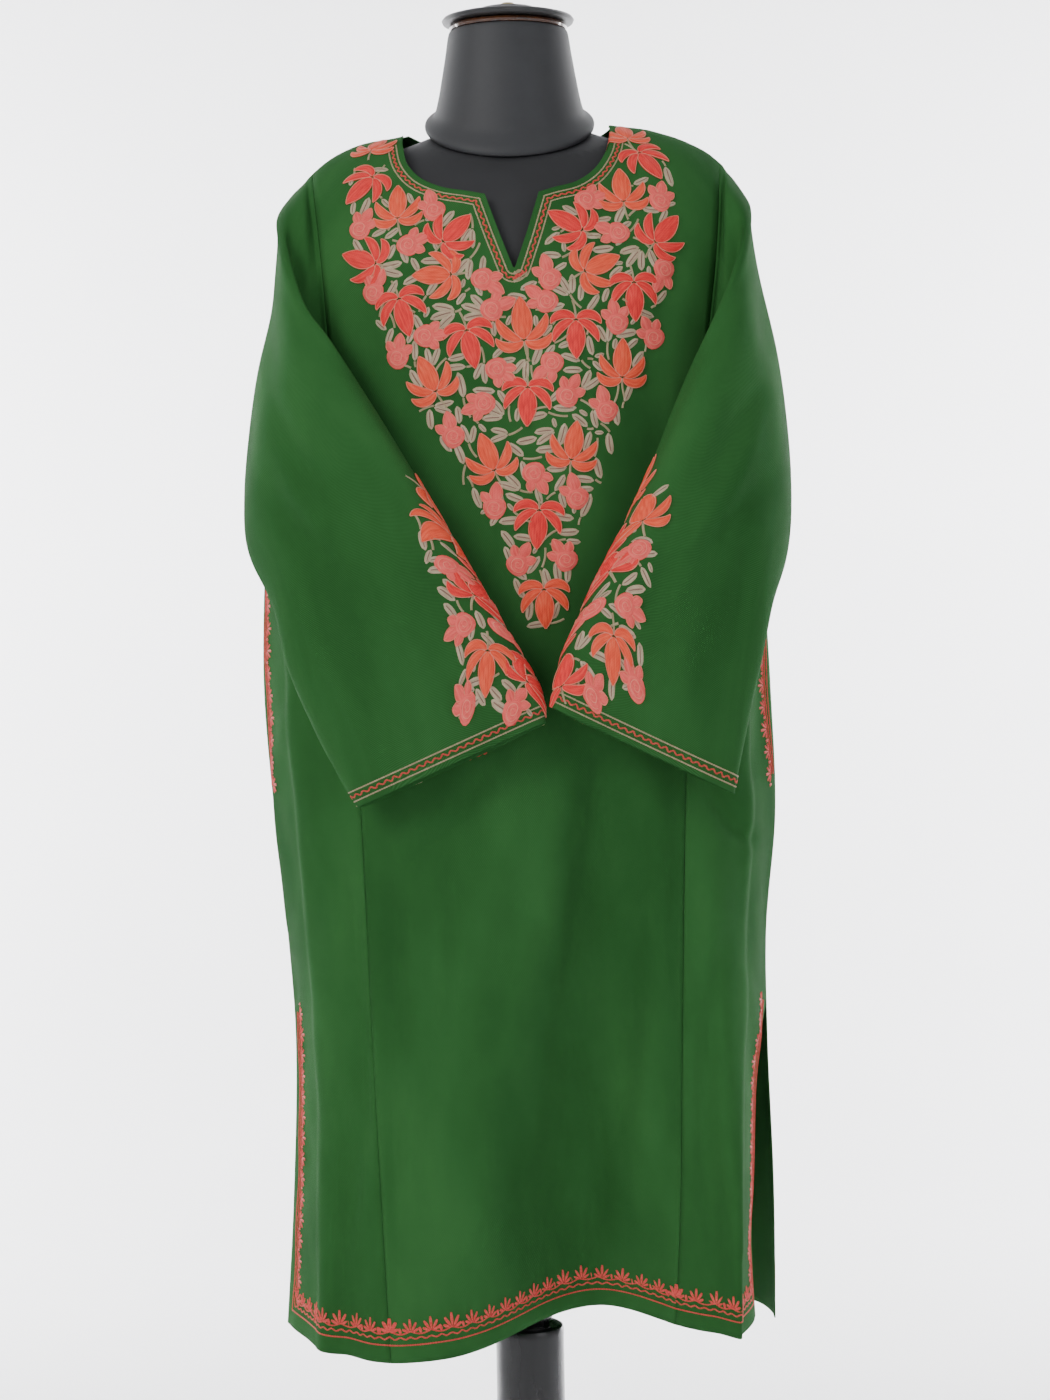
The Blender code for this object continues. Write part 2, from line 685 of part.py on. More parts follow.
def back_quads(columns):
    """Quads of the back: every column below the underarm, the middle ones above it."""
    yield from column_quads([lower for lower, _ in columns])
    upper = [[lower[-1]] + high for lower, high in columns if high is not None]
    yield from column_quads(upper)


def ring_quads(rings):
    """Quads of a tube between neighbouring closed rings."""
    for first, second in zip(rings, rings[1:]):
        count = len(first)
        for step in range(count):
            following = (step + 1) % count
            yield first[step], first[following], second[following], second[step]


def torso_ridge(x):
    """Height of the form's shoulder under the cloth, rounded off at its end."""
    room = NECK_ROOM * min(max((NECK_ROOM_END - abs(x)) / NECK_ROOM_FADE, 0.0), 1.0)
    cloth = along(SHOULDERS, "x", "height", x) - CLOTH - TORSO_GAP - room
    beyond = max((abs(x) - RIDGE_ROUND_START) / (TORSO_HALF - RIDGE_ROUND_START), 0.0)
    return CHEST + (cloth - CHEST) * math.sqrt(max(1 - beyond**RIDGE_ROUND, 0.0))


class TorsoSection(NamedTuple):
    """One level of the bare form."""

    height: float
    half: float
    front: float
    back: float


TORSO = (
    TorsoSection(height=0.800, half=0.158, front=-0.092, back=0.094),
    TorsoSection(height=0.880, half=0.168, front=-0.098, back=0.102),
    TorsoSection(height=0.970, half=0.150, front=-0.094, back=0.082),
    TorsoSection(height=1.050, half=0.128, front=-0.098, back=0.068),
    TorsoSection(height=1.140, half=0.142, front=-0.110, back=0.082),
    TorsoSection(height=1.220, half=0.158, front=-0.122, back=0.092),
    TorsoSection(height=1.280, half=0.170, front=-0.118, back=0.093),
)


def torso_profile(angle):
    """One column of the form: up its front, over the shoulder and down its back."""
    power = BODY_ROUND / 2
    across = math.copysign(abs(math.sin(angle)) ** (1 / power), math.sin(angle))
    reach = max(math.cos(angle), 0.0) ** (1 / power)
    x = TORSO_HALF * across
    ridge_y = along(SHOULDERS, "x", "y", x)
    top = torso_ridge(x)
    profile = []
    for face in ("front", "back"):
        low, high = [], []
        for row in range(TORSO_LOW_ROWS):
            height = TORSO_FOOT + (CHEST - TORSO_FOOT) * row / TORSO_LOW_ROWS
            half = along(TORSO, "height", "half", height)
            depth = along(TORSO, "height", face, height) * reach
            low.append(Vector((half * across, depth, height)))
        chest_y = along(TORSO, "height", face, CHEST) * reach
        for row in range(TORSO_HIGH_ROWS + 1):
            turn = row / TORSO_HIGH_ROWS * math.pi / 2
            out = max(math.cos(turn), 0.0) ** (2 / SHOULDER_ROUND)
            rise = math.sin(turn) ** (2 / SHOULDER_ROUND)
            y = ridge_y * (1 - out) + chest_y * out
            high.append(Vector((x, y, CHEST + (top - CHEST) * rise)))
        profile.extend(low + high if face == "front" else (low + high)[-2::-1])
    return profile


def make_torso(collection, finish):
    """The form's body, cut by the neck's tilted plane and closed below."""
    columns = [
        torso_profile(-math.pi / 2 + math.pi * step / TORSO_COLUMNS)
        for step in range(TORSO_COLUMNS + 1)
    ]
    mesh = bpy.data.meshes.new("form_torso")
    solid = bmesh.new()
    grid = [[solid.verts.new(point) for point in column] for column in columns]
    for first, second in zip(grid, grid[1:]):
        for row in range(len(first) - 1):
            solid.faces.new((first[row], second[row], second[row + 1], first[row + 1]))
    bmesh.ops.remove_doubles(solid, verts=solid.verts, dist=1e-5)
    foot = [edge for edge in solid.edges if edge.is_boundary]
    bmesh.ops.contextual_create(solid, geom=foot)
    cut = bmesh.ops.bisect_plane(
        solid, geom=solid.verts[:] + solid.edges[:] + solid.faces[:], dist=1e-6,
        plane_co=(0, 0, NECK_FOOT - SIT), plane_no=(0, -NECK_TILT, 1), clear_outer=True,
    )
    rim = [item for item in cut["geom_cut"] if isinstance(item, bmesh.types.BMEdge)]
    bmesh.ops.contextual_create(solid, geom=rim)
    bmesh.ops.recalc_face_normals(solid, faces=solid.faces)
    solid.to_mesh(mesh)
    solid.free()
    return place(bpy.data.objects.new("form_torso", mesh), finish, collection)


class NeckRing(NamedTuple):
    """One ring of the form's neck: its rise from the foot, share of the tilt and radius."""

    rise: float
    tilt: float
    radius: float


NECK_RINGS = (
    NeckRing(rise=0.0000, tilt=1.00, radius=0.0690),
    NeckRing(rise=0.0020, tilt=1.00, radius=0.0715),
    NeckRing(rise=0.0060, tilt=0.95, radius=0.0712),
    NeckRing(rise=0.0130, tilt=0.80, radius=0.0640),
    NeckRing(rise=0.0240, tilt=0.60, radius=0.0605),
    NeckRing(rise=0.0420, tilt=0.35, radius=0.0570),
    NeckRing(rise=0.0620, tilt=0.15, radius=0.0535),
    NeckRing(rise=0.0795, tilt=0.00, radius=0.0505),
    NeckRing(rise=0.0810, tilt=0.00, radius=0.0470),
)


def make_neck(collection, finish):
    """The form's neck: level at its top and tilted, with a rolled lip, at its foot."""
    mesh = bpy.data.meshes.new("form_neck")
    solid = bmesh.new()
    rings = []
    for row in NECK_RINGS:
        ring = []
        for step in range(NECK_POINTS):
            angle = 2 * math.pi * step / NECK_POINTS
            x, y = row.radius * math.cos(angle), row.radius * math.sin(angle)
            ring.append(solid.verts.new((x, y, NECK_FOOT + row.rise + row.tilt * NECK_TILT * y)))
        rings.append(ring)
    for first, second in zip(rings, rings[1:]):
        for step in range(NECK_POINTS):
            after = (step + 1) % NECK_POINTS
            solid.faces.new((first[step], first[after], second[after], second[step]))
    solid.faces.new(rings[0][::-1])
    solid.faces.new(rings[-1])
    bmesh.ops.recalc_face_normals(solid, faces=solid.faces)
    solid.to_mesh(mesh)
    solid.free()
    return place(bpy.data.objects.new("form_neck", mesh), finish, collection)


class Turn(NamedTuple):
    """A point of a turned profile: its radius and its rise above the piece's foot."""

    radius: float
    rise: float


RING_PROFILE = (
    Turn(radius=0.0000, rise=0.0060),
    Turn(radius=0.0470, rise=0.0060),
    Turn(radius=0.0492, rise=0.0048),
    Turn(radius=0.0500, rise=0.0030),
    Turn(radius=0.0492, rise=0.0010),
    Turn(radius=0.0470, rise=0.0000),
    Turn(radius=0.0000, rise=0.0000),
)
CAP_PROFILE = (
    Turn(radius=0.0000, rise=0.0135),
    Turn(radius=0.0240, rise=0.0130),
    Turn(radius=0.0268, rise=0.0112),
    Turn(radius=0.0300, rise=0.0088),
    Turn(radius=0.0480, rise=0.0068),
    Turn(radius=0.0545, rise=0.0050),
    Turn(radius=0.0560, rise=0.0030),
    Turn(radius=0.0550, rise=0.0008),
    Turn(radius=0.0530, rise=0.0000),
    Turn(radius=0.0000, rise=0.0000),
)
KNOB_PROFILE = (
    Turn(radius=0.0000, rise=0.0050),
    Turn(radius=0.0050, rise=0.0042),
    Turn(radius=0.0072, rise=0.0022),
    Turn(radius=0.0074, rise=0.0000),
    Turn(radius=0.0000, rise=0.0000),
)
UPPER_PROFILE = (
    Turn(radius=0.0000, rise=TORSO_FOOT - POST_TOP - 2 * SIT),
    Turn(radius=UPPER_RADIUS, rise=TORSO_FOOT - POST_TOP - 2 * SIT),
    Turn(radius=UPPER_RADIUS, rise=0.0080),
    Turn(radius=UPPER_NECK, rise=0.0020),
    Turn(radius=UPPER_NECK, rise=0.0000),
    Turn(radius=0.0000, rise=0.0000),
)
POST_LENGTH = POST_TOP - BASE_HEIGHT - SIT
POST_PROFILE = (
    Turn(radius=0.0000, rise=POST_LENGTH),
    Turn(radius=POST_RADIUS - 0.0033, rise=POST_LENGTH),
    Turn(radius=POST_RADIUS - 0.0009, rise=POST_LENGTH - 0.0012),
    Turn(radius=POST_RADIUS, rise=POST_LENGTH - 0.0040),
    Turn(radius=POST_RADIUS, rise=0.0000),
    Turn(radius=0.0000, rise=0.0000),
)
BASE_PROFILE = (
    Turn(radius=0.0000, rise=BASE_HEIGHT),
    Turn(radius=BASE_RADIUS - 0.0100, rise=BASE_HEIGHT - 0.0030),
    Turn(radius=BASE_RADIUS - 0.0030, rise=BASE_HEIGHT - 0.0060),
    Turn(radius=BASE_RADIUS, rise=0.0080),
    Turn(radius=BASE_RADIUS, rise=0.0015),
    Turn(radius=BASE_RADIUS - 0.0015, rise=0.0000),
    Turn(radius=0.0000, rise=0.0000),
)


def turned(name, profile, foot, collection, finish, steps=40):
    """A turned solid that stands on its foot, from a profile that runs down its outer side."""
    mesh = bpy.data.meshes.new(name)
    points = [(turn.radius, 0.0, foot + turn.rise) for turn in profile]
    mesh.from_pydata(points, [(i, i + 1) for i in range(len(points) - 1)], [])
    obj = place(bpy.data.objects.new(name, mesh), finish, collection)
    screw = obj.modifiers.new("Turn", "SCREW")
    screw.steps = screw.render_steps = steps
    screw.use_merge_vertices = True
    screw.merge_threshold = 0.00005
    screw.use_smooth_shade = True
    return obj


def make_head(collection, charcoal, wood, brass):
    """The neck's wooden ring, the cap and the knob, one on the other."""
    foot = NECK_TOP + SIT
    turned("neck_ring", RING_PROFILE, foot, collection, wood)
    foot += RING_PROFILE[0].rise + SIT
    turned("form_cap", CAP_PROFILE, foot, collection, charcoal)
    foot += CAP_PROFILE[0].rise + SIT
    turned("cap_knob", KNOB_PROFILE, foot, collection, brass, steps=20)


def make_stand(collection, charcoal, steel):
    """The post's two tubes and the round base."""
    turned("post_upper", UPPER_PROFILE, POST_TOP + SIT, collection, steel, steps=28)
    turned("post_outer", POST_PROFILE, BASE_HEIGHT + SIT, collection, charcoal, steps=32)
    turned("stand_base", BASE_PROFILE, 0.0, collection, charcoal, steps=48)


def main():
    """Clears the scene and builds every piece."""
    for obj in list(bpy.data.objects):
        bpy.data.objects.remove(obj, do_unlink=True)
    pheran = bpy.data.collections.new("Pheran")
    bpy.context.scene.collection.children.link(pheran)
    twill = material("Green wool twill", (0.020, 0.110, 0.024), 0.85)
    charcoal = material("Charcoal form", (0.030, 0.031, 0.034), 0.55)
    wood = material("Varnished wood", (0.150, 0.055, 0.020), 0.25)
    brass = material("Brass knob", (0.520, 0.380, 0.140), 0.30, 0.9)
    steel = material("Black post", (0.012, 0.012, 0.013), 0.35, 0.6)
    cloth_object("front_panel", column_quads(front_columns()), pheran, twill, CLOTH)
    cloth_object("front_gore_right", column_quads(gore_columns(-1)), pheran, twill, CLOTH, True)
    cloth_object("front_gore_left", column_quads(gore_columns(1)), pheran, twill, CLOTH)
    cloth_object("back_panel", back_quads(back_columns()), pheran, twill, CLOTH, True)
    for name, side, table in (("sleeve_right", -1, RIGHT_SLEEVE), ("sleeve_left", 1, LEFT_SLEEVE)):
        quads = ring_quads(sleeve_rings(side, table))
        cloth_object(name, quads, pheran, twill, SLEEVE_CLOTH, side > 0)
    make_torso(pheran, charcoal)
    make_neck(pheran, charcoal)
    make_head(pheran, charcoal, wood, brass)
    make_stand(pheran, charcoal, steel)


main()
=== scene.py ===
"""The visual model of a pheran worn by a limbless dress form.

The pheran is a long loose tunic of green wool twill with straight wide sleeves. Its cloth is
drawn as thin shells on the shapes of the frame's solids, worked out from the same named tables
at a finer step. The coral, orange and pink leaves, the buds and the borders are stitched on
those shells as raised threads. The front faces -Y and the wearer's right is at -X.
"""

from __future__ import annotations

import logging
import math
from dataclasses import dataclass, field
from enum import Enum
from typing import Callable, Iterable, NamedTuple, Sequence

import bmesh
import bpy
import numpy as np
from mathutils import Matrix, Vector


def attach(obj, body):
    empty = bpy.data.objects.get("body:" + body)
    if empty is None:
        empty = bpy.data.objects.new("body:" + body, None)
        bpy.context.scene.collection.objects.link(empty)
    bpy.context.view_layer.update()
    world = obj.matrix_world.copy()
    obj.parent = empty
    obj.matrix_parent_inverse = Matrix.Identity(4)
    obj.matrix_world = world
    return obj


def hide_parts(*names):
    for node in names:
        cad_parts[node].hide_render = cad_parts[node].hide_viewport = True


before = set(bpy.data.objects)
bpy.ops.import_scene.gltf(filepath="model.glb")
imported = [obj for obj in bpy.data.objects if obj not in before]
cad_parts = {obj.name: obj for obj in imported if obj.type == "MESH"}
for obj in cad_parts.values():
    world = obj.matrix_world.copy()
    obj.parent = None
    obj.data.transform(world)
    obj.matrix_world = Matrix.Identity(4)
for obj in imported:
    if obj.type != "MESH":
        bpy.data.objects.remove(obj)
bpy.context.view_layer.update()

logging.basicConfig(level=logging.INFO, format="%(message)s")
LOG = logging.getLogger("pheran")
ROOT = "root"
SEED = 31
SIDE_NAMES = {-1: "right", 1: "left"}

# The cloth's sizes, in metres, as in the solids
SHELL = 0.0011
SEAM_GAP = 0.0004
HEM = 0.452
UNDERARM = 1.196
CHEST = 1.280
BODY_ROUND = 2.4
SHOULDER_ROUND = 2.2
SIDE_Y = -0.015
CLEAR = 0.0040
SLEEVE_LEAD = 0.004
SLEEVE_ROUND = 0.60
ARMHOLE_KEPT = (0.30, 0.10)
ARMHOLE_CHEST, ARMHOLE_CORNER, CORNER_START = 0.52, 0.72, 0.12
POCKET_TOP, POCKET_FOOT, POCKET_GAPE = 1.075, 0.915, 0.0030
SLIT_TOP = 0.722
BACK_NECK_HALF, BACK_NECK_Y = 0.086, 0.078
SEAM_CALM, SEAM_ROWS = 0.014, 8
FLAT_START, FLAT_SHARE, FLAT_TOP, FLAT_FADE = 0.40, 0.85, 1.120, 0.08
PULL_SHARE = 0.05

# The search for a place on the cloth
ROUNDS, LONGEST_STEP, TINY, INSIDE = 7, 9, 1e-12, 1.001

# The form and the stand
TORSO_FOOT, TORSO_HALF = 0.800, 0.170
NECK_ROOM, TORSO_ROOM = 0.0080, 0.0026
NECK_TILT, NECK_FOOT, NECK_TOP = 0.48, 1.4630, 1.5440
POST_RADIUS, POST_TOP = 0.0295, 0.4370
BASE_RADIUS, BASE_HEIGHT = 0.205, 0.018
STACK_GAP = 0.0003


class Face(Enum):
    """Which face of the body a point of the cloth lies on."""

    FRONT = "front"
    BACK = "back"


class Tint(Enum):
    """The thread colours, each as linear dark, middle and light tones."""

    RED = ((0.58, 0.014, 0.016), (0.92, 0.040, 0.036), (0.99, 0.110, 0.080))
    ORANGE = ((0.68, 0.040, 0.016), (0.96, 0.105, 0.042), (0.99, 0.220, 0.105))
    PINK = ((0.72, 0.065, 0.060), (0.95, 0.135, 0.115), (0.99, 0.240, 0.195))
    TAUPE = ((0.300, 0.225, 0.140), (0.520, 0.405, 0.270), (0.680, 0.560, 0.410))
    MAUVE = ((0.120, 0.060, 0.044), (0.240, 0.128, 0.094), (0.360, 0.215, 0.160))
    PEACH = ((0.76, 0.170, 0.120), (0.94, 0.290, 0.200), (0.99, 0.420, 0.310))
    CORAL = ((0.42, 0.026, 0.026), (0.70, 0.070, 0.060), (0.84, 0.150, 0.120))
    KHAKI = ((0.240, 0.195, 0.105), (0.430, 0.345, 0.200), (0.580, 0.485, 0.320))


def table(kind: type, *rows: tuple) -> tuple:
    """Gives the rows of a table their kind, whose fields name the columns."""
    return tuple(kind(*row) for row in rows)


class Section(NamedTuple):
    """One level of the body: how far the sides, the front and the back stand from the axis."""

    height: float
    right_side: float
    left_side: float
    front: float
    back: float


BODY = table(
    Section,
    (0.430, 0.209, 0.212, -0.158, 0.132),
    (0.560, 0.200, 0.212, -0.153, 0.126),
    (0.690, 0.196, 0.208, -0.148, 0.120),
    (0.780, 0.201, 0.208, -0.144, 0.116),
    (0.880, 0.210, 0.217, -0.141, 0.113),
    (0.990, 0.217, 0.214, -0.138, 0.111),
    (1.080, 0.215, 0.210, -0.136, 0.109),
    (1.196, 0.208, 0.208, -0.133, 0.106),
    (1.280, 0.204, 0.206, -0.126, 0.100),
)


class Ridge(NamedTuple):
    """The highest line of the shoulders, from the wearer's right to the left."""

    x: float
    y: float
    height: float


SHOULDERS = table(
    Ridge,
    (-0.215, 0.000, 1.372),
    (-0.180, 0.000, 1.414),
    (-0.160, 0.000, 1.433),
    (-0.130, 0.001, 1.449),
    (-0.088, 0.006, 1.459),
    (-0.050, 0.030, 1.476),
    (0.000, 0.045, 1.487),
    (0.050, 0.030, 1.478),
    (0.084, 0.006, 1.464),
    (0.120, 0.001, 1.459),
    (0.150, 0.000, 1.449),
    (0.178, 0.000, 1.430),
    (0.215, 0.000, 1.388),
)


class Seam(NamedTuple):
    """Where the front panel's two long seams run, armhole above and gore below."""

    height: float
    right: float
    left: float


SEAMS = table(
    Seam,
    (0.430, -0.112, 0.120),
    (0.560, -0.118, 0.126),
    (0.700, -0.124, 0.129),
    (0.910, -0.131, 0.135),
    (1.196, -0.146, 0.152),
    (1.280, -0.151, 0.160),
    (1.345, -0.156, 0.168),
    (1.440, -0.168, 0.176),
)


class NeckPoint(NamedTuple):
    """A point of the front neck edge and its place across the chest line below it."""

    x: float
    height: float
    chest_x: float


NECK = table(
    NeckPoint,
    (-0.0890, 1.4440, -0.0920),
    (-0.0850, 1.4260, -0.0800),
    (-0.0740, 1.4120, -0.0660),
    (-0.0560, 1.4030, -0.0500),
    (-0.0360, 1.3990, -0.0330),
    (-0.0210, 1.3960, -0.0190),
    (-0.0100, 1.3640, -0.0090),
    (0.0020, 1.3320, 0.0020),
    (0.0130, 1.3640, 0.0120),
    (0.0230, 1.3970, 0.0210),
    (0.0360, 1.4010, 0.0350),
    (0.0540, 1.4060, 0.0520),
    (0.0690, 1.4170, 0.0680),
    (0.0790, 1.4330, 0.0820),
    (0.0830, 1.4500, 0.0940),
)


class Fold(NamedTuple):
    """A soft trough (depth above 0) or ridge (below 0) of the skirt, from its top to the hem."""

    top: float
    x_top: float
    x_hem: float
    half_top: float
    half_hem: float
    depth: float


FRONT_FOLDS = table(
    Fold,
    (0.960, 0.068, 0.056, 0.040, 0.128, 0.092),
    (0.900, -0.096, -0.112, 0.045, 0.080, -0.013),
    (0.930, 0.146, 0.192, 0.030, 0.040, -0.034),
    (0.860, -0.154, -0.178, 0.018, 0.030, -0.009),
    (0.860, -0.132, -0.146, 0.012, 0.020, 0.005),
)
BACK_FOLDS = table(
    Fold,
    (0.980, -0.060, -0.076, 0.035, 0.065, -0.022),
    (0.900, 0.020, 0.012, 0.030, 0.055, -0.014),
    (1.020, 0.085, 0.104, 0.035, 0.060, -0.020),
)


class HemPoint(NamedTuple):
    """How far the hem stands above or below its plain level, across the body."""

    x: float
    front: float
    back: float


HEM_LINE = table(
    HemPoint,
    (-0.215, -0.002, -0.008),
    (-0.110, -0.003, -0.012),
    (-0.040, 0.004, -0.009),
    (0.056, 0.018, -0.010),
    (0.110, 0.010, -0.013),
    (0.160, 0.004, -0.012),
    (0.215, 0.006, -0.010),
)


class SlitEdge(NamedTuple):
    """How the two edges of one hem slit stand away from the side line."""

    height: float
    front_in: float
    front_gap: float
    back_in: float
    back_gap: float


RIGHT_SLIT = table(
    SlitEdge,
    (0.430, 0.000, 0.016, 0.010, 0.006),
    (0.560, 0.000, 0.011, 0.007, 0.005),
    (0.680, 0.000, 0.004, 0.002, 0.002),
    (0.722, 0.000, 0.000, 0.000, 0.000),
    (0.760, 0.000, 0.000, 0.000, 0.000),
)
LEFT_SLIT = table(
    SlitEdge,
    (0.430, 0.018, 0.030, 0.000, 0.002),
    (0.520, 0.021, 0.030, 0.000, 0.002),
    (0.600, 0.017, 0.024, 0.000, 0.002),
    (0.680, 0.009, 0.011, 0.000, 0.001),
    (0.722, 0.000, 0.000, 0.000, 0.000),
    (0.760, 0.000, 0.000, 0.000, 0.000),
)


class Ring(NamedTuple):
    """One ring of a sleeve: its top line, outer face, underarm line and inner face."""

    top: tuple
    outer: tuple
    under: tuple
    inner: tuple


RIGHT_SLEEVE = table(
    Ring,
    ((-0.187, -0.024, 1.405), (-0.184, 0.072, 1.285), (-0.2170, -0.018, 1.187), (-0.170, -0.094, 1.300)),
    ((-0.195, -0.066, 1.380), (-0.208, 0.045, 1.268), (-0.2200, -0.036, 1.166), (-0.184, -0.088, 1.278)),
    ((-0.185, -0.110, 1.346), (-0.220, -0.002, 1.245), (-0.2175, -0.058, 1.143), (-0.189, -0.093, 1.248)),
    ((-0.169, -0.134, 1.306), (-0.2175, -0.062, 1.213), (-0.2110, -0.082, 1.118), (-0.182, -0.105, 1.214)),
    ((-0.147, -0.147, 1.276), (-0.2040, -0.116, 1.186), (-0.2040, -0.102, 1.094), (-0.168, -0.118, 1.184)),
    ((-0.112, -0.150, 1.222), (-0.166, -0.164, 1.144), (-0.1930, -0.119, 1.059), (-0.152, -0.125, 1.140)),
    ((-0.068, -0.158, 1.147), (-0.133, -0.179, 1.083), (-0.1850, -0.132, 1.014), (-0.125, -0.136, 1.080)),
    ((-0.017, -0.162, 1.057), (-0.092, -0.184, 1.008), (-0.1630, -0.142, 0.960), (-0.090, -0.150, 1.008)),
    ((0.016, -0.163, 0.998), (-0.065, -0.178, 0.958), (-0.1420, -0.148, 0.921), (-0.064, -0.156, 0.955)),
    ((0.021, -0.163, 0.968), (-0.055, -0.172, 0.936), (-0.1310, -0.150, 0.901), (-0.055, -0.155, 0.932)),
)
LEFT_SLEEVE = table(
    Ring,
    ((0.192, -0.024, 1.409), (0.189, 0.072, 1.290), (0.2180, -0.018, 1.187), (0.176, -0.094, 1.300)),
    ((0.200, -0.066, 1.382), (0.213, 0.045, 1.277), (0.2220, -0.036, 1.165), (0.190, -0.088, 1.280)),
    ((0.192, -0.108, 1.352), (0.2255, -0.002, 1.257), (0.2200, -0.058, 1.141), (0.195, -0.094, 1.252)),
    ((0.177, -0.132, 1.319), (0.2230, -0.062, 1.225), (0.2130, -0.082, 1.113), (0.189, -0.106, 1.218)),
    ((0.163, -0.146, 1.289), (0.2120, -0.116, 1.192), (0.2075, -0.102, 1.083), (0.176, -0.119, 1.186)),
    ((0.136, -0.152, 1.232), (0.183, -0.164, 1.148), (0.2010, -0.120, 1.052), (0.158, -0.128, 1.142)),
    ((0.101, -0.162, 1.152), (0.155, -0.184, 1.083), (0.1930, -0.134, 1.008), (0.140, -0.138, 1.080)),
    ((0.060, -0.168, 1.074), (0.122, -0.189, 1.018), (0.1850, -0.144, 0.968), (0.116, -0.150, 1.018)),
    ((0.032, -0.170, 1.014), (0.103, -0.185, 0.968), (0.1760, -0.152, 0.928), (0.102, -0.160, 0.966)),
    ((0.0255, -0.170, 0.981), (0.098, -0.180, 0.945), (0.1720, -0.155, 0.908), (0.098, -0.162, 0.943)),
)


class TorsoSection(NamedTuple):
    """One level of the bare form."""

    height: float
    half: float
    front: float
    back: float


TORSO = table(
    TorsoSection,
    (0.800, 0.158, -0.092, 0.094),
    (0.880, 0.168, -0.098, 0.102),
    (0.970, 0.150, -0.094, 0.082),
    (1.050, 0.128, -0.098, 0.068),
    (1.140, 0.142, -0.110, 0.082),
    (1.220, 0.158, -0.122, 0.092),
    (1.280, 0.170, -0.118, 0.093),
)
@dataclass(frozen=True)
class Profile:
    """A smooth curve through the rows of a table."""

    keys: tuple[float, ...]
    values: tuple[float, ...]

    @classmethod
    def of(cls, rows: Sequence[NamedTuple], key: str, column: str) -> "Profile":
        """The curve of one named column over another.

        Args:
            rows: The table's rows, in rising order of the key.
            key: The column to look up by.
            column: The column to read.

        Returns:
            The curve through those values.
        """
        return cls(
            tuple(getattr(row, key) for row in rows),
            tuple(getattr(row, column) for row in rows),
        )

    def __call__(self, at: np.ndarray | float) -> np.ndarray:
        """The curve's values at some keys, held level beyond its ends."""
        keys, values = np.array(self.keys), np.array(self.values)
        slopes = np.diff(values) / np.diff(keys)
        tangents = np.concatenate([slopes[:1], (slopes[:-1] + slopes[1:]) / 2, slopes[-1:]])
        at = np.clip(at, keys[0], keys[-1])
        step = np.clip(np.searchsorted(keys, at, side="right") - 1, 0, len(keys) - 2)
        width = keys[step + 1] - keys[step]
        share = (at - keys[step]) / width
        mix = share * share * (3 - 2 * share)
        start, end = share * (1 - share) ** 2, share * share * (share - 1)
        slope = tangents[step] * start + tangents[step + 1] * end
        return values[step] * (1 - mix) + values[step + 1] * mix + width * slope


def point(x: np.ndarray, y: np.ndarray, z: np.ndarray) -> np.ndarray:
    """Three coordinate arrays as one array of points."""
    return np.stack(np.broadcast_arrays(x, y, z), axis=-1)


def unit(vectors: np.ndarray) -> np.ndarray:
    """The vectors at length 1."""
    return vectors / np.maximum(np.linalg.norm(vectors, axis=-1, keepdims=True), TINY)


def eased(share: np.ndarray) -> np.ndarray:
    """A share from 0 to 1 with soft ends."""
    return share * share * (3 - 2 * share)


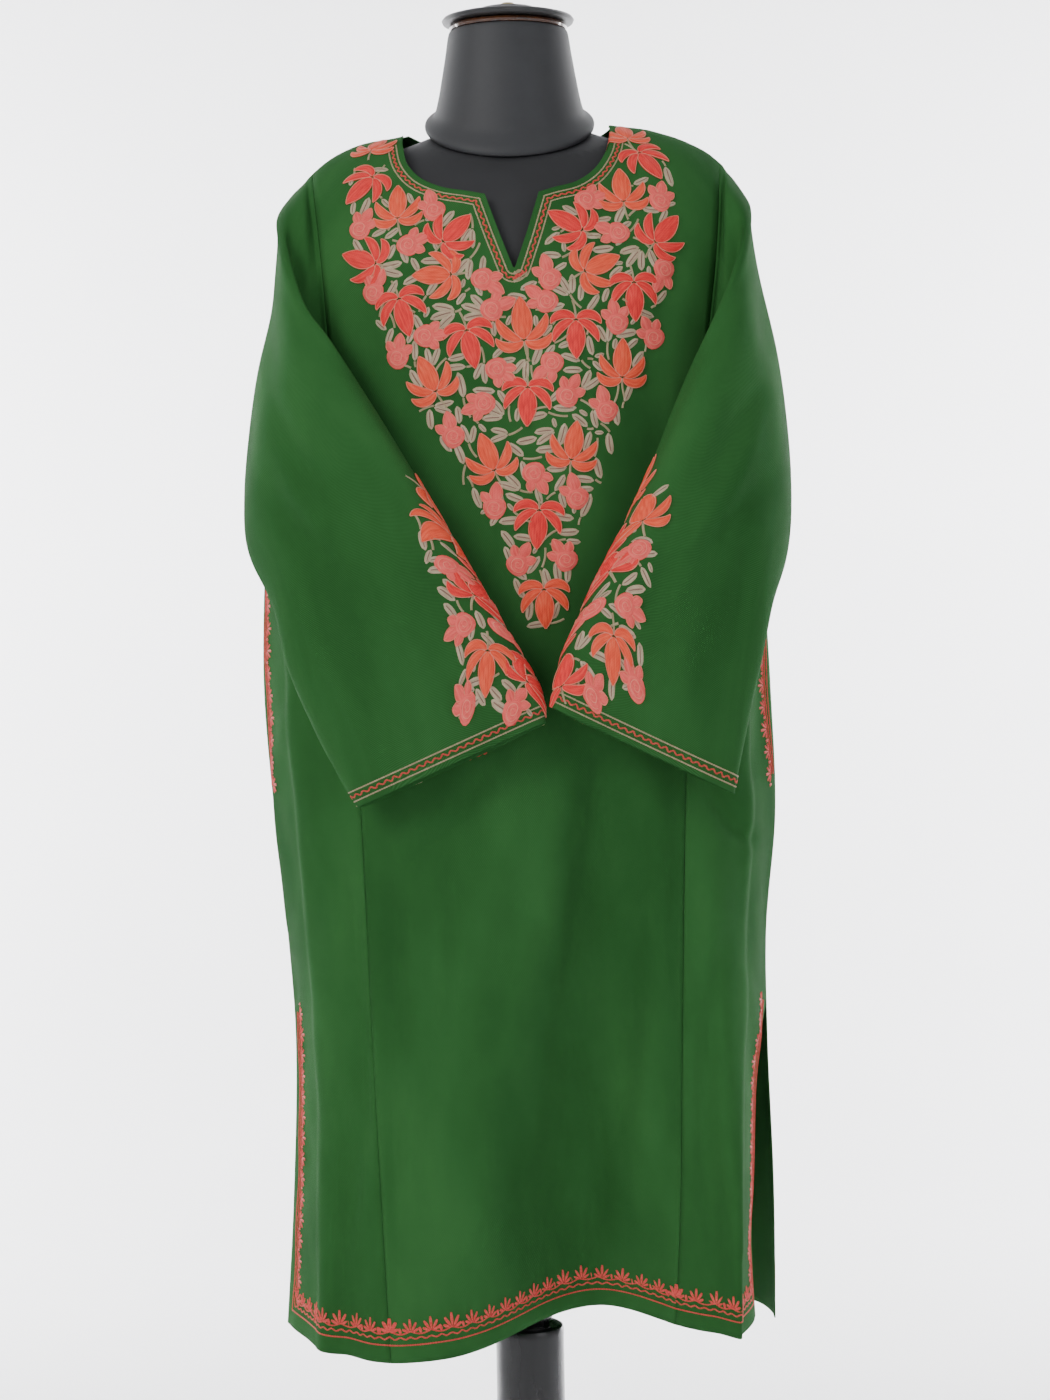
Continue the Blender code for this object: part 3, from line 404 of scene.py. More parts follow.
class Body:
    """The shape in which the pheran hangs, as functions of its named tables."""

    def __init__(self) -> None:
        self.right = Profile.of(BODY, "height", "right_side")
        self.left = Profile.of(BODY, "height", "left_side")
        self.faces = {face: Profile.of(BODY, "height", face.value) for face in Face}
        self.ridge_y = Profile.of(SHOULDERS, "x", "y")
        self.ridge_z = Profile.of(SHOULDERS, "x", "height")
        self.seams = {side: Profile.of(SEAMS, "height", name) for side, name in SIDE_NAMES.items()}
        self.hems = {face: Profile.of(HEM_LINE, "x", face.value) for face in Face}
        self.slits = {
            (side, column): Profile.of(rows, "height", column)
            for side, rows in ((-1, RIGHT_SLIT), (1, LEFT_SLIT))
            for column in ("front_in", "front_gap", "back_in", "back_gap")
        }

    def half_width(self, x: np.ndarray, z: np.ndarray) -> np.ndarray:
        """Half the body's width on the side that x lies on."""
        return np.where(np.asarray(x) > 0, self.left(z), self.right(z))

    def folds(self, rows: Iterable[Fold], x: np.ndarray, z: np.ndarray) -> np.ndarray:
        """How far the folds of one face push the cloth inwards."""
        total = np.zeros(np.broadcast(x, z).shape)
        for fold in rows:
            fall = np.clip((fold.top - z) / (fold.top - HEM), 0.0, 1.0)
            middle = fold.x_top + (fold.x_hem - fold.x_top) * fall
            half = fold.half_top + (fold.half_hem - fold.half_top) * fall
            reach = np.minimum(np.abs(x - middle) / half, 1.0)
            total = total + fold.depth * fall * (1 + np.cos(np.pi * reach)) / 2
        return total

    def depth(self, x: np.ndarray, z: np.ndarray, face: Face) -> np.ndarray:
        """y of the body's cloth at x and z on one face."""
        share = np.minimum(np.abs(x) / self.half_width(x, z), 1.0)
        reach = np.maximum(1 - share**BODY_ROUND, 0.0) ** (1 / BODY_ROUND)
        y = SIDE_Y + (self.faces[face](z) - SIDE_Y) * reach
        if face is Face.FRONT:
            return y + self.folds(FRONT_FOLDS, x, z)
        return y - self.folds(BACK_FOLDS, x, z)

    def shoulder(self, x: np.ndarray, turn: np.ndarray, face: Face) -> np.ndarray:
        """Points over the shoulders: turn runs from 0 on the chest line to 1 on the ridge."""
        angle = np.asarray(turn) * np.pi / 2
        out = np.maximum(np.cos(angle), 0.0) ** (2 / SHOULDER_ROUND)
        rise = np.sin(angle) ** (2 / SHOULDER_ROUND)
        ridge_y, ridge_z = self.ridge_y(x), self.ridge_z(x)
        y = ridge_y + (self.depth(x, np.full_like(ridge_y, CHEST), face) - ridge_y) * out
        return point(x, y, CHEST + (ridge_z - CHEST) * rise)

    def turn_at(self, x: np.ndarray, z: np.ndarray) -> np.ndarray:
        """The turn over the shoulder at which the cloth reaches a height."""
        rise = np.clip((z - CHEST) / (self.ridge_z(x) - CHEST), 0.0, 1.0)
        return np.arcsin(rise ** (SHOULDER_ROUND / 2)) * 2 / np.pi

    def front(self, x: np.ndarray, z: np.ndarray) -> np.ndarray:
        """y of the front's cloth at x and z, skirt or shoulder."""
        low = self.depth(x, np.minimum(z, CHEST), Face.FRONT)
        high = self.shoulder(x, self.turn_at(x, z), Face.FRONT)[..., 1]
        return np.where(z > CHEST, high, low)

    def armhole(self, side: int, turn: np.ndarray, face: Face, outward: float) -> np.ndarray:
        """Points of an armhole seam; outward moves them along the cloth towards the sleeve."""
        x = np.full(np.shape(turn), float(self.seams[side](CHEST)))
        for _ in range(3):
            x = self.seams[side](self.shoulder(x, turn, face)[..., 2])
        return self.shoulder(x + side * outward, turn, face)

    def pulled(self, x: np.ndarray, share: np.ndarray, across: np.ndarray, face: Face) -> np.ndarray:
        """x above the chest line, with the outermost columns drawn to the armhole seams.

        Args:
            x: The panel's points there, as rows by columns.
            share: How far each row is on its way to the shoulder, as rows by 1.
            across: How far each column is across the panel.
            face: The panel's face.

        Returns:
            The new x.
        """
        for side, column, nearness in ((-1, 0, 1 - across), (1, -1, across)):
            seam = self.armhole(side, share[:, 0], face, -SEAM_GAP / 2)[:, 0]
            pull = np.clip(1 - (1 - nearness) / PULL_SHARE, 0.0, 1.0)
            x = x + (seam - x[:, column])[:, None] * pull
        return x

    def levels(self, x_foot: np.ndarray, top: float, rows: int, face: Face) -> np.ndarray:
        """Heights from the hem to a level, one column of them for each x at the foot."""
        hem = HEM + self.hems[face](x_foot)
        return hem + (top - hem) * np.linspace(0, 1, rows)[:, None]

    def side_levels(self, side: int, share: np.ndarray, rows: int, face: Face) -> np.ndarray:
        """Heights from the hem to the underarm, at shares between a long seam and the side."""
        foot_seam = abs(float(self.seams[side](HEM)))
        foot_side = float(self.half_width(np.array(float(side)), np.array(HEM)))
        return self.levels(side * (foot_seam * (1 - share) + foot_side * share), UNDERARM, rows, face)

    def beside(self, side: int, z: np.ndarray, share: np.ndarray, face: Face) -> np.ndarray:
        """Points between the long seam (share 0) and the side edge (share 1) of one face."""
        z, share = np.broadcast_arrays(np.asarray(z, float), np.asarray(share, float))
        below = z < SLIT_TOP
        gap = np.full(z.shape, SEAM_GAP / 2)
        gap = gap + np.where(below, self.slits[side, face.value + "_gap"](z), 0.0)
        inward = np.where(below, self.slits[side, face.value + "_in"](z), 0.0)
        middle = np.clip((z - POCKET_FOOT) / (POCKET_TOP - POCKET_FOOT), 0.0, 1.0)
        gap = gap + POCKET_GAPE / 2 * np.sin(np.pi * middle)
        half = self.half_width(np.full(z.shape, float(side)), z)
        reach = np.abs(self.faces[face](z) - SIDE_Y)
        power = BODY_ROUND / 2
        start = np.arcsin((np.abs(self.seams[side](z) + side * SEAM_GAP / 2) / half) ** power)
        end = np.arccos((gap / reach) ** power)
        x = side * half * np.sin(start + (end - start) * share) ** (1 / power)
        return point(x - side * inward * share**3, self.depth(x, z, face), z)


class Crease(NamedTuple):
    """A soft trough (depth above 0) or ridge (below 0) pressed into a piece of cloth."""

    x0: float
    z0: float
    x1: float
    z1: float
    half: float
    depth: float


CREASE_BOW, CREASE_VARIETY = 0.10, 90
CREASE_START, CREASE_END = 0.75, 1.25
RIPPLES, RIPPLE_SPREAD = 7, (0.6, 1.8)


def quads(rows: int, columns: int) -> np.ndarray:
    """The corner numbers of the quads of a grid of points, as n by 4."""
    number = np.arange(rows * columns).reshape(rows, columns)
    corners = [number[:-1, :-1], number[1:, :-1], number[1:, 1:], number[:-1, 1:]]
    return np.stack(corners, axis=2).reshape(-1, 4)


class Spot(NamedTuple):
    """A place on a piece of cloth: its grid row and column, point and two flat directions."""

    row: float
    column: float
    centre: np.ndarray
    along: np.ndarray
    across: np.ndarray


@dataclass
class ClothGrid:
    """A piece of cloth as a fine grid of points.

    Attributes:
        name: The piece's name.
        points: The grid, as rows by columns by 3.
        outward: 1 where column direction x row direction points out of the cloth, else -1.
        middle: The column from which widths are measured.
        round: True where the last column repeats the first, as on a sleeve.
        cells: Which of the grid's cells are cloth.
        measured: The first and last rows between which the width of the cut is taken.
    """

    name: str
    points: np.ndarray
    outward: int
    middle: int
    round: bool = False
    cells: np.ndarray | None = None
    measured: tuple[int, int | None] = (0, None)
    normals: np.ndarray = field(init=False)
    width: np.ndarray = field(init=False)
    length: np.ndarray = field(init=False)
    by_row: np.ndarray = field(init=False)
    by_column: np.ndarray = field(init=False)

    def __post_init__(self) -> None:
        if self.cells is None:
            rows, columns = self.points.shape[:2]
            self.cells = np.ones((rows - 1, columns - 1), bool)
        self.measure()

    def gradient(self, values: np.ndarray, axis: int) -> np.ndarray:
        """Change of some grid values from one row or column to the next."""
        change = np.gradient(values, axis=axis)
        if self.round and axis == 1:
            seam = (values[:, 1] - values[:, -2]) / 2
            change[:, 0] = change[:, -1] = seam
        return change

    def measure(self) -> None:
        """Works out the normals and the flat coordinates from the points."""
        self.by_column, self.by_row = self.gradient(self.points, 1), self.gradient(self.points, 0)
        self.normals = unit(np.cross(self.by_column, self.by_row)) * self.outward
        steps = np.linalg.norm(np.diff(self.points, axis=1), axis=2)
        width = np.concatenate([np.zeros((len(steps), 1)), np.cumsum(steps, axis=1)], axis=1)
        self.width = width - width[:, self.middle : self.middle + 1]
        steps = np.linalg.norm(np.diff(self.points, axis=0), axis=2)
        self.length = np.concatenate([np.zeros((1, steps.shape[1])), np.cumsum(steps, axis=0)])

    def inner(self) -> np.ndarray:
        """A share that falls to 0 at the sewn edges, so that creases leave the seams closed."""
        if self.round:
            far = np.arange(len(self.points))[:, None] / SEAM_ROWS * np.ones(self.points.shape[1])
        else:
            sides = self.width - self.width[:, :1], self.width[:, -1:] - self.width
            top = self.length[-1:] - self.length
            far = np.minimum(np.minimum(*sides) / SEAM_CALM, top / SEAM_CALM)
        return eased(np.clip(far, 0.0, 1.0))

    def press(self, offset: np.ndarray) -> None:
        """Moves the points inwards along their normals by an offset."""
        self.points = self.points - self.normals * offset[..., None]
        self.measure()

    def crease(self, creases: Iterable[Crease]) -> None:
        """Presses soft creases into the cloth, each along a straight line seen from the front."""
        total = np.zeros(self.points.shape[:2])
        x, z = self.points[..., 0], self.points[..., 2]
        for one in creases:
            reach_x, reach_z = one.x1 - one.x0, one.z1 - one.z0
            length = math.hypot(reach_x, reach_z)
            along = ((x - one.x0) * reach_x + (z - one.z0) * reach_z) / length**2
            away = ((x - one.x0) * reach_z - (z - one.z0) * reach_x) / length
            inside = np.clip(along, 0, 1)
            bow = CREASE_BOW * length * math.sin(one.x0 * CREASE_VARIETY)
            bend = bow * np.sin(np.pi * inside)
            ends = np.clip(1 - np.abs(2 * along - 1) ** 3, 0.0, 1.0)
            half = one.half * (CREASE_START + (CREASE_END - CREASE_START) * inside)
            total += one.depth * ends * np.exp(-(((away - bend) / half) ** 2))
        self.press(total * self.inner())

    def ripple(self, height: float, length: float) -> None:
        """Adds the faint unevenness of worn cloth."""
        rng = np.random.default_rng(SEED + len(self.name))
        total = np.zeros(self.points.shape[:2])
        for _ in range(RIPPLES):
            turn, phase = rng.uniform(0, np.pi), rng.uniform(0, 2 * np.pi)
            wave = 2 * np.pi / (length * rng.uniform(*RIPPLE_SPREAD))
            flat = self.width * math.cos(turn) + self.length * math.sin(turn) * 0.6
            total += height / 4 * np.sin(wave * flat + phase)
        self.press(total * self.inner())

    def sample(self, values: np.ndarray, row: np.ndarray, column: np.ndarray) -> np.ndarray:
        """Grid values between the grid's points."""
        rows, columns = values.shape[:2]
        row = np.clip(row, 0, rows - INSIDE)
        column = column % (columns - 1) if self.round else np.clip(column, 0, columns - INSIDE)
        low, left = np.floor(row).astype(int), np.floor(column).astype(int)
        left = np.minimum(left, columns - 2)
        up, right = row - low, column - left
        if values.ndim == 3:
            up, right = up[..., None], right[..., None]
        return (
            values[low, left] * (1 - up) * (1 - right)
            + values[low, left + 1] * (1 - up) * right
            + values[low + 1, left] * up * (1 - right)
            + values[low + 1, left + 1] * up * right
        )

    @staticmethod
    def newton(
        first: tuple[np.ndarray, ...], second: tuple[np.ndarray, ...]
    ) -> tuple[np.ndarray, np.ndarray]:
        """One bounded step of rows and columns towards a target.

        Args:
            first: The change of one measure by row and by column, and what it lacks.
            second: The same for the other measure.

        Returns:
            The steps of the rows and of the columns.
        """
        (ar, ac, miss_a), (br, bc, miss_b) = first, second
        scale = ar * bc - ac * br
        scale = np.where(np.abs(scale) < TINY, TINY, scale)
        row = np.clip((miss_a * bc - miss_b * ac) / scale, -LONGEST_STEP, LONGEST_STEP)
        return row, np.clip((miss_b * ar - miss_a * br) / scale, -LONGEST_STEP, LONGEST_STEP)

    def solve(
        self, centre: np.ndarray, along: np.ndarray, across: np.ndarray,
        target: np.ndarray, start: tuple[np.ndarray, np.ndarray],
    ) -> tuple[np.ndarray, np.ndarray]:
        """Finds the grid places that lie at flat distances from a centre.

        Args:
            centre: The point, or one for each target, that distances are measured from.
            along: The first flat direction.
            across: The second flat direction.
            target: The distances along both, as n by 2.
            start: First guesses of the rows and columns.

        Returns:
            The rows and columns of the places.
        """
        row, column = (np.array(part, float) for part in start)
        for _ in range(ROUNDS):
            away = self.sample(self.points, row, column) - centre
            miss_a = target[:, 0] - (away * along).sum(-1)
            miss_b = target[:, 1] - (away * across).sum(-1)
            step_row = self.sample(self.by_row, row, column)
            step_column = self.sample(self.by_column, row, column)
            ar, ac = (step_row * along).sum(-1), (step_column * along).sum(-1)
            br, bc = (step_row * across).sum(-1), (step_column * across).sum(-1)
            step = self.newton((ar, ac, miss_a), (br, bc, miss_b))
            row = np.clip(row + step[0], 0, self.points.shape[0] - INSIDE)
            column = column + step[1]
            if not self.round:
                column = np.clip(column, 0, self.points.shape[1] - INSIDE)
        return row, column

    def spot(self, x: float, z: float) -> Spot:
        """The place that shows at x and z from the front, with flat directions in X and Z."""
        away = (self.points[..., 0] - x) ** 2 + (self.points[..., 2] - z) ** 2
        away = np.where(self.normals[..., 1] < -0.05, away, 9.0)
        row, column = np.unravel_index(np.argmin(away), away.shape)
        right, up = np.array((1.0, 0.0, 0.0)), np.array((0.0, 0.0, 1.0))
        start = np.array([float(row)]), np.array([float(column)])
        row, column = self.solve(np.array((x, 0.0, z)), right, up, np.zeros((1, 2)), start)
        return self.spot_at(float(row[0]), float(column[0]), right)

    def spot_at(self, row: float, column: float, heading: np.ndarray) -> Spot:
        """The place at a row and column, whose first flat direction is nearest a heading."""
        places = np.array([row]), np.array([column])
        centre = self.sample(self.points, *places)[0]
        normal = self.sample(self.normals, *places)[0]
        along = unit(heading - normal * (heading @ normal))
        return Spot(row, column, centre, along, np.cross(normal, along))

    def lay(self, spot: Spot, flat: np.ndarray, lift: np.ndarray) -> np.ndarray:
        """Flat points round a spot, laid on the cloth and lifted off it.

        Args:
            spot: Where the flat drawing's origin goes.
            flat: The drawing's points, in metres, as n by 2.
            lift: How far each stands off the cloth.

        Returns:
            The points in space.
        """
        start = np.full(len(flat), spot.row), np.full(len(flat), spot.column)
        if self.round:
            row, column = self.unroll(spot, flat)
        else:
            row, column = self.solve(spot.centre, spot.along, spot.across, flat, start)
        normals = self.sample(self.normals, row, column)
        return self.sample(self.points, row, column) + normals * lift[:, None]

    def unroll(self, spot: Spot, flat: np.ndarray) -> tuple[np.ndarray, np.ndarray]:
        """Rows and columns of flat points on a tube, by its own widths and lengths."""
        one = np.array([spot.row]), np.array([spot.column])
        by_row, by_column = self.sample(self.by_row, *one)[0], self.sample(self.by_column, *one)[0]
        steps = np.stack([unit(by_column), unit(by_row)], axis=1)
        width_step, length_step = np.linalg.solve(np.stack([spot.along, spot.across]) @ steps, flat.T)
        width = self.sample(self.width, *one)[0] + width_step
        length = self.sample(self.length, *one)[0] + length_step
        row = np.full(len(flat), spot.row)
        column = np.full(len(flat), spot.column)
        width_rows = self.gradient(self.width, 0), np.gradient(self.width, axis=1)
        length_rows = self.gradient(self.length, 0), np.gradient(self.length, axis=1)
        last = self.points.shape[1] - INSIDE
        for _ in range(ROUNDS):
            column = np.clip(column, 0, last)
            miss_w = width - self.sample(self.width, row, column)
            miss_l = length - self.sample(self.length, row, column)
            wr, wc = (self.sample(values, row, column) for values in width_rows)
            lr, lc = (self.sample(values, row, column) for values in length_rows)
            step = self.newton((wr, wc, miss_w), (lr, lc, miss_l))
            row = np.clip(row + step[0], 0, len(self.points) - INSIDE)
            column = column + step[1]
        return row, np.clip(column, 0, last)

    def inset(
        self, rows: np.ndarray, columns: np.ndarray, inward: np.ndarray, far: np.ndarray | float
    ) -> "Track":
        """A line that runs beside an edge of the cloth.

        Args:
            rows: Grid rows of the edge's points.
            columns: Grid columns of the edge's points.
            inward: A rough direction from the edge into the cloth.
            far: How far from the edge the line runs, at each point or at all.

        Returns:
            The line's points, with the cloth's normals and the true inward directions.
        """
        rows, columns = np.asarray(rows, float), np.asarray(columns, float)
        centre = self.sample(self.points, rows, columns)
        normal = self.sample(self.normals, rows, columns)
        along = unit(np.gradient(centre, axis=0))
        into = unit(np.cross(normal, along))
        into = into * np.sign((into * inward).sum(-1, keepdims=True) + 1e-9)
        far = np.broadcast_to(np.asarray(far, float), (len(rows),))
        target = np.stack([np.zeros(len(rows)), far], axis=1)
        row, column = self.solve(centre, along, into, target, (rows, columns))
        return Track(
            self.sample(self.points, row, column), self.sample(self.normals, row, column), into
        )

    def mesh(self) -> bpy.types.Mesh:
        """The grid as a mesh with its flat coordinates, in metres, as the UV map Cloth."""
        rows, columns = self.points.shape[:2]
        keep = columns - 1 if self.round else columns
        number = np.arange(rows * keep).reshape(rows, keep)
        if self.round:
            number = np.concatenate([number, number[:, :1]], axis=1)
        low, left = np.nonzero(self.cells)
        corners = [(low, left), (low, left + 1), (low + 1, left + 1), (low + 1, left)]
        if self.outward < 0:
            corners.reverse()
        faces = np.stack([number[corner] for corner in corners], axis=1)
        used, faces = np.unique(faces, return_inverse=True)
        faces = faces.reshape(-1, 4)
        mesh = bpy.data.meshes.new(self.name)
        mesh.from_pydata(self.points[:, :keep].reshape(-1, 3)[used].tolist(), [], faces.tolist())
        uv = np.stack([np.stack([self.width[c], self.length[c]], axis=-1) for c in corners], axis=1)
        layer = mesh.uv_layers.new(name="Cloth")
        layer.data.foreach_set("uv", uv.reshape(-1).astype(np.float32))
        mesh.shade_smooth()
        return mesh

    def cut(self) -> tuple[float, float, float]:
        """The flat width, length and area of the piece, in metres and square metres."""
        edge = np.zeros(self.points.shape[:2], bool)
        edge[:-1, :-1] |= self.cells
        edge[1:, 1:] |= self.cells
        wide = np.where(edge, self.width, 0.0)
        diagonals = (
            self.points[1:, 1:] - self.points[:-1, :-1], self.points[1:, :-1] - self.points[:-1, 1:]
        )
        areas = np.linalg.norm(np.cross(*diagonals), axis=2) / 2
        area = float(areas[self.cells].sum())
        widest = float(np.ptp(wide, axis=1)[slice(*self.measured)].max())
        return widest, float(np.where(edge, self.length, 0).max()), area


@dataclass
class Track:
    """A line on a piece of cloth: its points, normals and inward directions."""

    points: np.ndarray
    normals: np.ndarray
    inward: np.ndarray

    def even(self, step: float) -> "Track":
        """The same line with its points at one even distance."""
        far = np.concatenate(
            [[0.0], np.cumsum(np.linalg.norm(np.diff(self.points, axis=0), axis=1))]
        )
        count = max(int(round(far[-1] / step)), 2)
        at = np.linspace(0, far[-1], count + 1)
        parts = [
            np.stack([np.interp(at, far, part[:, axis]) for axis in range(3)], axis=1)
            for part in (self.points, self.normals, self.inward)
        ]
        return Track(parts[0], unit(parts[1]), unit(parts[2]))

    def kept(self, keep: np.ndarray | slice) -> "Track":
        """Some of the line's points, in the order given."""
        return Track(self.points[keep], self.normals[keep], self.inward[keep])

    def wave(self, length: float, height: float, sharp: bool) -> "Track":
        """The line as a zigzag or as scallops across its own course."""
        line = self.even(length / 8)
        step = np.arange(len(line.points)) % 8 / 8
        if sharp:
            swing = 4 * np.abs(step - 0.5) - 1
        else:
            swing = 1 - 2 * np.abs(np.sin(np.pi * step))
        points = line.points + line.inward * (swing * height)[:, None]
        return Track(points, line.normals, line.inward)


BODY_SHAPE = Body()
NOTCH_X = 0.002


def spread(points: Sequence[Sequence[float]], count: int, smooth: bool = False) -> np.ndarray:
    """Rows of values spread evenly through some given ones.

    Args:
        points: The given rows.
        count: How many rows to return.
        smooth: True for a smooth curve through them, False for straight steps.

    Returns:
        The rows, as count by the number of columns.
    """
    given = np.array(points, float)
    keys = np.arange(len(given), dtype=float)
    at = np.linspace(0, len(given) - 1, count)
    if smooth:
        return np.stack([Profile(tuple(keys), tuple(column))(at) for column in given.T], axis=1)
    return np.stack([np.interp(at, keys, column) for column in given.T], axis=1)


class ShoulderPoint(NamedTuple):
    """A point of the front's shoulder seam and its place across the chest line below it."""

    x: float
    chest_x: float


SHOULDER_TOP = table(
    ShoulderPoint,
    (-0.1300, -0.1210),
    (-0.0905, -0.1000),
    (0.0840, 0.1020),
    (0.1300, 0.1290),
)


@dataclass
class FrontPanel:
    """The front: one piece from the notched neck to the hem."""

    low_rows: int = 205
    high_rows: int = 70
    shoulder_columns: int = 24
    arc_columns: int = 26
    notch_columns: int = 30

    def top_edge(self) -> np.ndarray:
        """(x, turn, chest x) along the top: shoulder, neck arc, notch, neck arc, shoulder."""
        shape = BODY_SHAPE
        edges = {side: float(shape.seams[side](CHEST)) - side * SEAM_GAP / 2 for side in (-1, 1)}
        tops = {
            side: float(shape.armhole(side, np.array([1.0]), Face.FRONT, -SEAM_GAP / 2)[0, 0])
            for side in (-1, 1)
        }
        neck = np.array([(row.x, row.height, row.chest_x) for row in NECK])
        arcs = [
            spread(neck[:6], self.arc_columns, smooth=True),
            spread(neck[5:10], self.notch_columns)[1:],
            spread(neck[9:], self.arc_columns, smooth=True)[1:],
        ]
        hole = np.concatenate(arcs)
        hole[:, 1] = shape.turn_at(hole[:, 0], hole[:, 1])
        ridge = [(row.x, 1.0, row.chest_x) for row in SHOULDER_TOP]
        right = [(tops[-1], 1.0, edges[-1]), *ridge[:2], hole[0]]
        left = [hole[-1], *ridge[2:], (tops[1], 1.0, edges[1])]
        return np.concatenate([
            spread(right, self.shoulder_columns)[:-1], hole, spread(left, self.shoulder_columns)[1:]
        ])

    def grid(self) -> ClothGrid:
        """The panel's points, from the hem up."""
        shape = BODY_SHAPE
        top_x, top_turn, chest_x = self.top_edge().T
        across = (chest_x - chest_x[0]) / (chest_x[-1] - chest_x[0])
        foot = shape.seams[-1](HEM) + (shape.seams[1](HEM) - shape.seams[-1](HEM)) * across
        z = shape.levels(foot, CHEST, self.low_rows, Face.FRONT)
        right = shape.seams[-1](z) + SEAM_GAP / 2
        left = shape.seams[1](z) - SEAM_GAP / 2
        x = right + (left - right) * across
        low = point(x, shape.depth(x, z, Face.FRONT), z)
        share = np.linspace(0, 1, self.high_rows)[1:, None]
        x = shape.pulled(chest_x + (top_x - chest_x) * share, share, across, Face.FRONT)
        high = shape.shoulder(x, top_turn * share, Face.FRONT)
        high[-1, top_turn >= 1.0, 1] -= SEAM_GAP / 2
        middle = int(np.argmin(np.abs(top_x - NOTCH_X)))
        points, below_neck = np.concatenate([low, high]), (0, self.low_rows)
        grid = ClothGrid("pheran_front", points, 1, middle, measured=below_neck)
        grid.crease(FRONT_CREASES)
        grid.ripple(0.0012, 0.075)
        return grid


@dataclass
class FrontGore:
    """A front gore: from the underarm down past the pocket slit and the hem slit."""

    side: int
    rows: int = 190
    columns: int = 44

    def flattened(self, points: np.ndarray, share: np.ndarray) -> np.ndarray:
        """Draws the part beside the slits flat, so that its border faces forwards.

        Args:
            points: The gore's points, as rows by columns by 3.
            share: The columns' places between the long seam and the side edge.

        Returns:
            The points, moved towards a straight run to the side edge.
        """
        start = int(FLAT_START * (self.columns - 1))
        run = np.clip((share - share[start]) / (1 - share[start]), 0.0, 1.0)
        flat = points[:, start, None] + (points[:, -1] - points[:, start])[:, None] * run[:, None]
        soft = np.minimum(run * 4, 1.0)
        fall = np.clip((FLAT_TOP - points[:, :, 2]) / FLAT_FADE, 0.0, 1.0)
        weight = FLAT_SHARE * eased(soft) * eased(fall)
        return points + (flat - points) * weight[..., None]

    def grid(self) -> ClothGrid:
        """The gore's points, from the hem up and from the long seam out."""
        shape = BODY_SHAPE
        share = np.linspace(0, 1, self.columns)
        z = shape.side_levels(self.side, share, self.rows, Face.FRONT)
        points = self.flattened(shape.beside(self.side, z, share, Face.FRONT), share)
        grid = ClothGrid("pheran_gore_" + SIDE_NAMES[self.side], points, self.side, 0)
        grid.crease(GORE_CREASES)
        grid.ripple(0.0010, 0.060)
        return grid


@dataclass
class BackPanel:
    """The back: one wide piece, narrower above the underarm."""

    low_rows: int = 170
    middle_rows: int = 20
    high_rows: int = 56
    side_columns: int = 34
    columns: int = 112

    def neck_turn(self, x: np.ndarray) -> np.ndarray:
        """The turn at which the back ends: the neck hole's edge, or the shoulder seam."""
        inside = np.maximum(1 - (x / BACK_NECK_HALF) ** 2, 0.0)
        edge = BACK_NECK_Y * np.sqrt(inside)
        low, high = np.zeros(x.shape), np.ones(x.shape)
        for _ in range(30):
            half = (low + high) / 2
            beyond = BODY_SHAPE.shoulder(x, half, Face.BACK)[:, 1] > edge
            low, high = np.where(beyond, half, low), np.where(beyond, high, half)
        return np.where(np.abs(x) >= BACK_NECK_HALF, 1.0, low)

    def side_part(self, side: int, share: np.ndarray) -> np.ndarray:
        """The rows of the columns between one long line and the side edge."""
        z = BODY_SHAPE.side_levels(side, share, self.low_rows, Face.BACK)
        return BODY_SHAPE.beside(side, z, share, Face.BACK)

    def grid(self) -> ClothGrid:
        """The back's points, from the hem up, with no cloth above the underarm at the sides."""
        shape = BODY_SHAPE
        across = np.linspace(0, 1, self.columns)
        seams = {side: float(shape.seams[side](HEM)) for side in (-1, 1)}
        x_foot = seams[-1] + (seams[1] - seams[-1]) * across
        z = shape.levels(x_foot, UNDERARM, self.low_rows, Face.BACK)
        rise = UNDERARM + (CHEST - UNDERARM) * np.linspace(0, 1, self.middle_rows)[1:, None]
        z = np.concatenate([z, np.broadcast_to(rise, (self.middle_rows - 1, self.columns))])
        x = shape.seams[-1](z) + (shape.seams[1](z) - shape.seams[-1](z)) * across
        low = point(x, shape.depth(x, z, Face.BACK), z)
        top = np.array([1.0])
        tops = [shape.armhole(side, top, Face.BACK, -SEAM_GAP / 2)[0, 0] for side in SIDE_NAMES]
        top_x = tops[0] + (tops[1] - tops[0]) * across
        chest_x = x[-1]
        share = np.linspace(0, 1, self.high_rows)[1:, None]
        turn = self.neck_turn(top_x)
        x = shape.pulled(chest_x + (top_x - chest_x) * share, share, across, Face.BACK)
        high = shape.shoulder(x, turn * share, Face.BACK)
        high[-1, turn >= 1.0, 1] += SEAM_GAP / 2
        middle = np.concatenate([low, high])
        shares = np.linspace(1, 0, self.side_columns, endpoint=False)
        sides = [self.side_part(-1, shares), self.side_part(1, shares[::-1])]
        above = len(middle) - self.low_rows
        sides = [np.concatenate([part, np.repeat(part[-1:], above, axis=0)]) for part in sides]
        points = np.concatenate([sides[0], middle, sides[1]], axis=1)
        rows, columns = points.shape[:2]
        cells = np.ones((rows - 1, columns - 1), bool)
        cells[self.low_rows - 1 :, : self.side_columns] = False
        cells[self.low_rows - 1 :, -self.side_columns :] = False
        grid = ClothGrid("pheran_back", points, -1, columns // 2, cells=cells)
        grid.crease(BACK_CREASES)
        grid.ripple(0.0012, 0.080)
        return grid


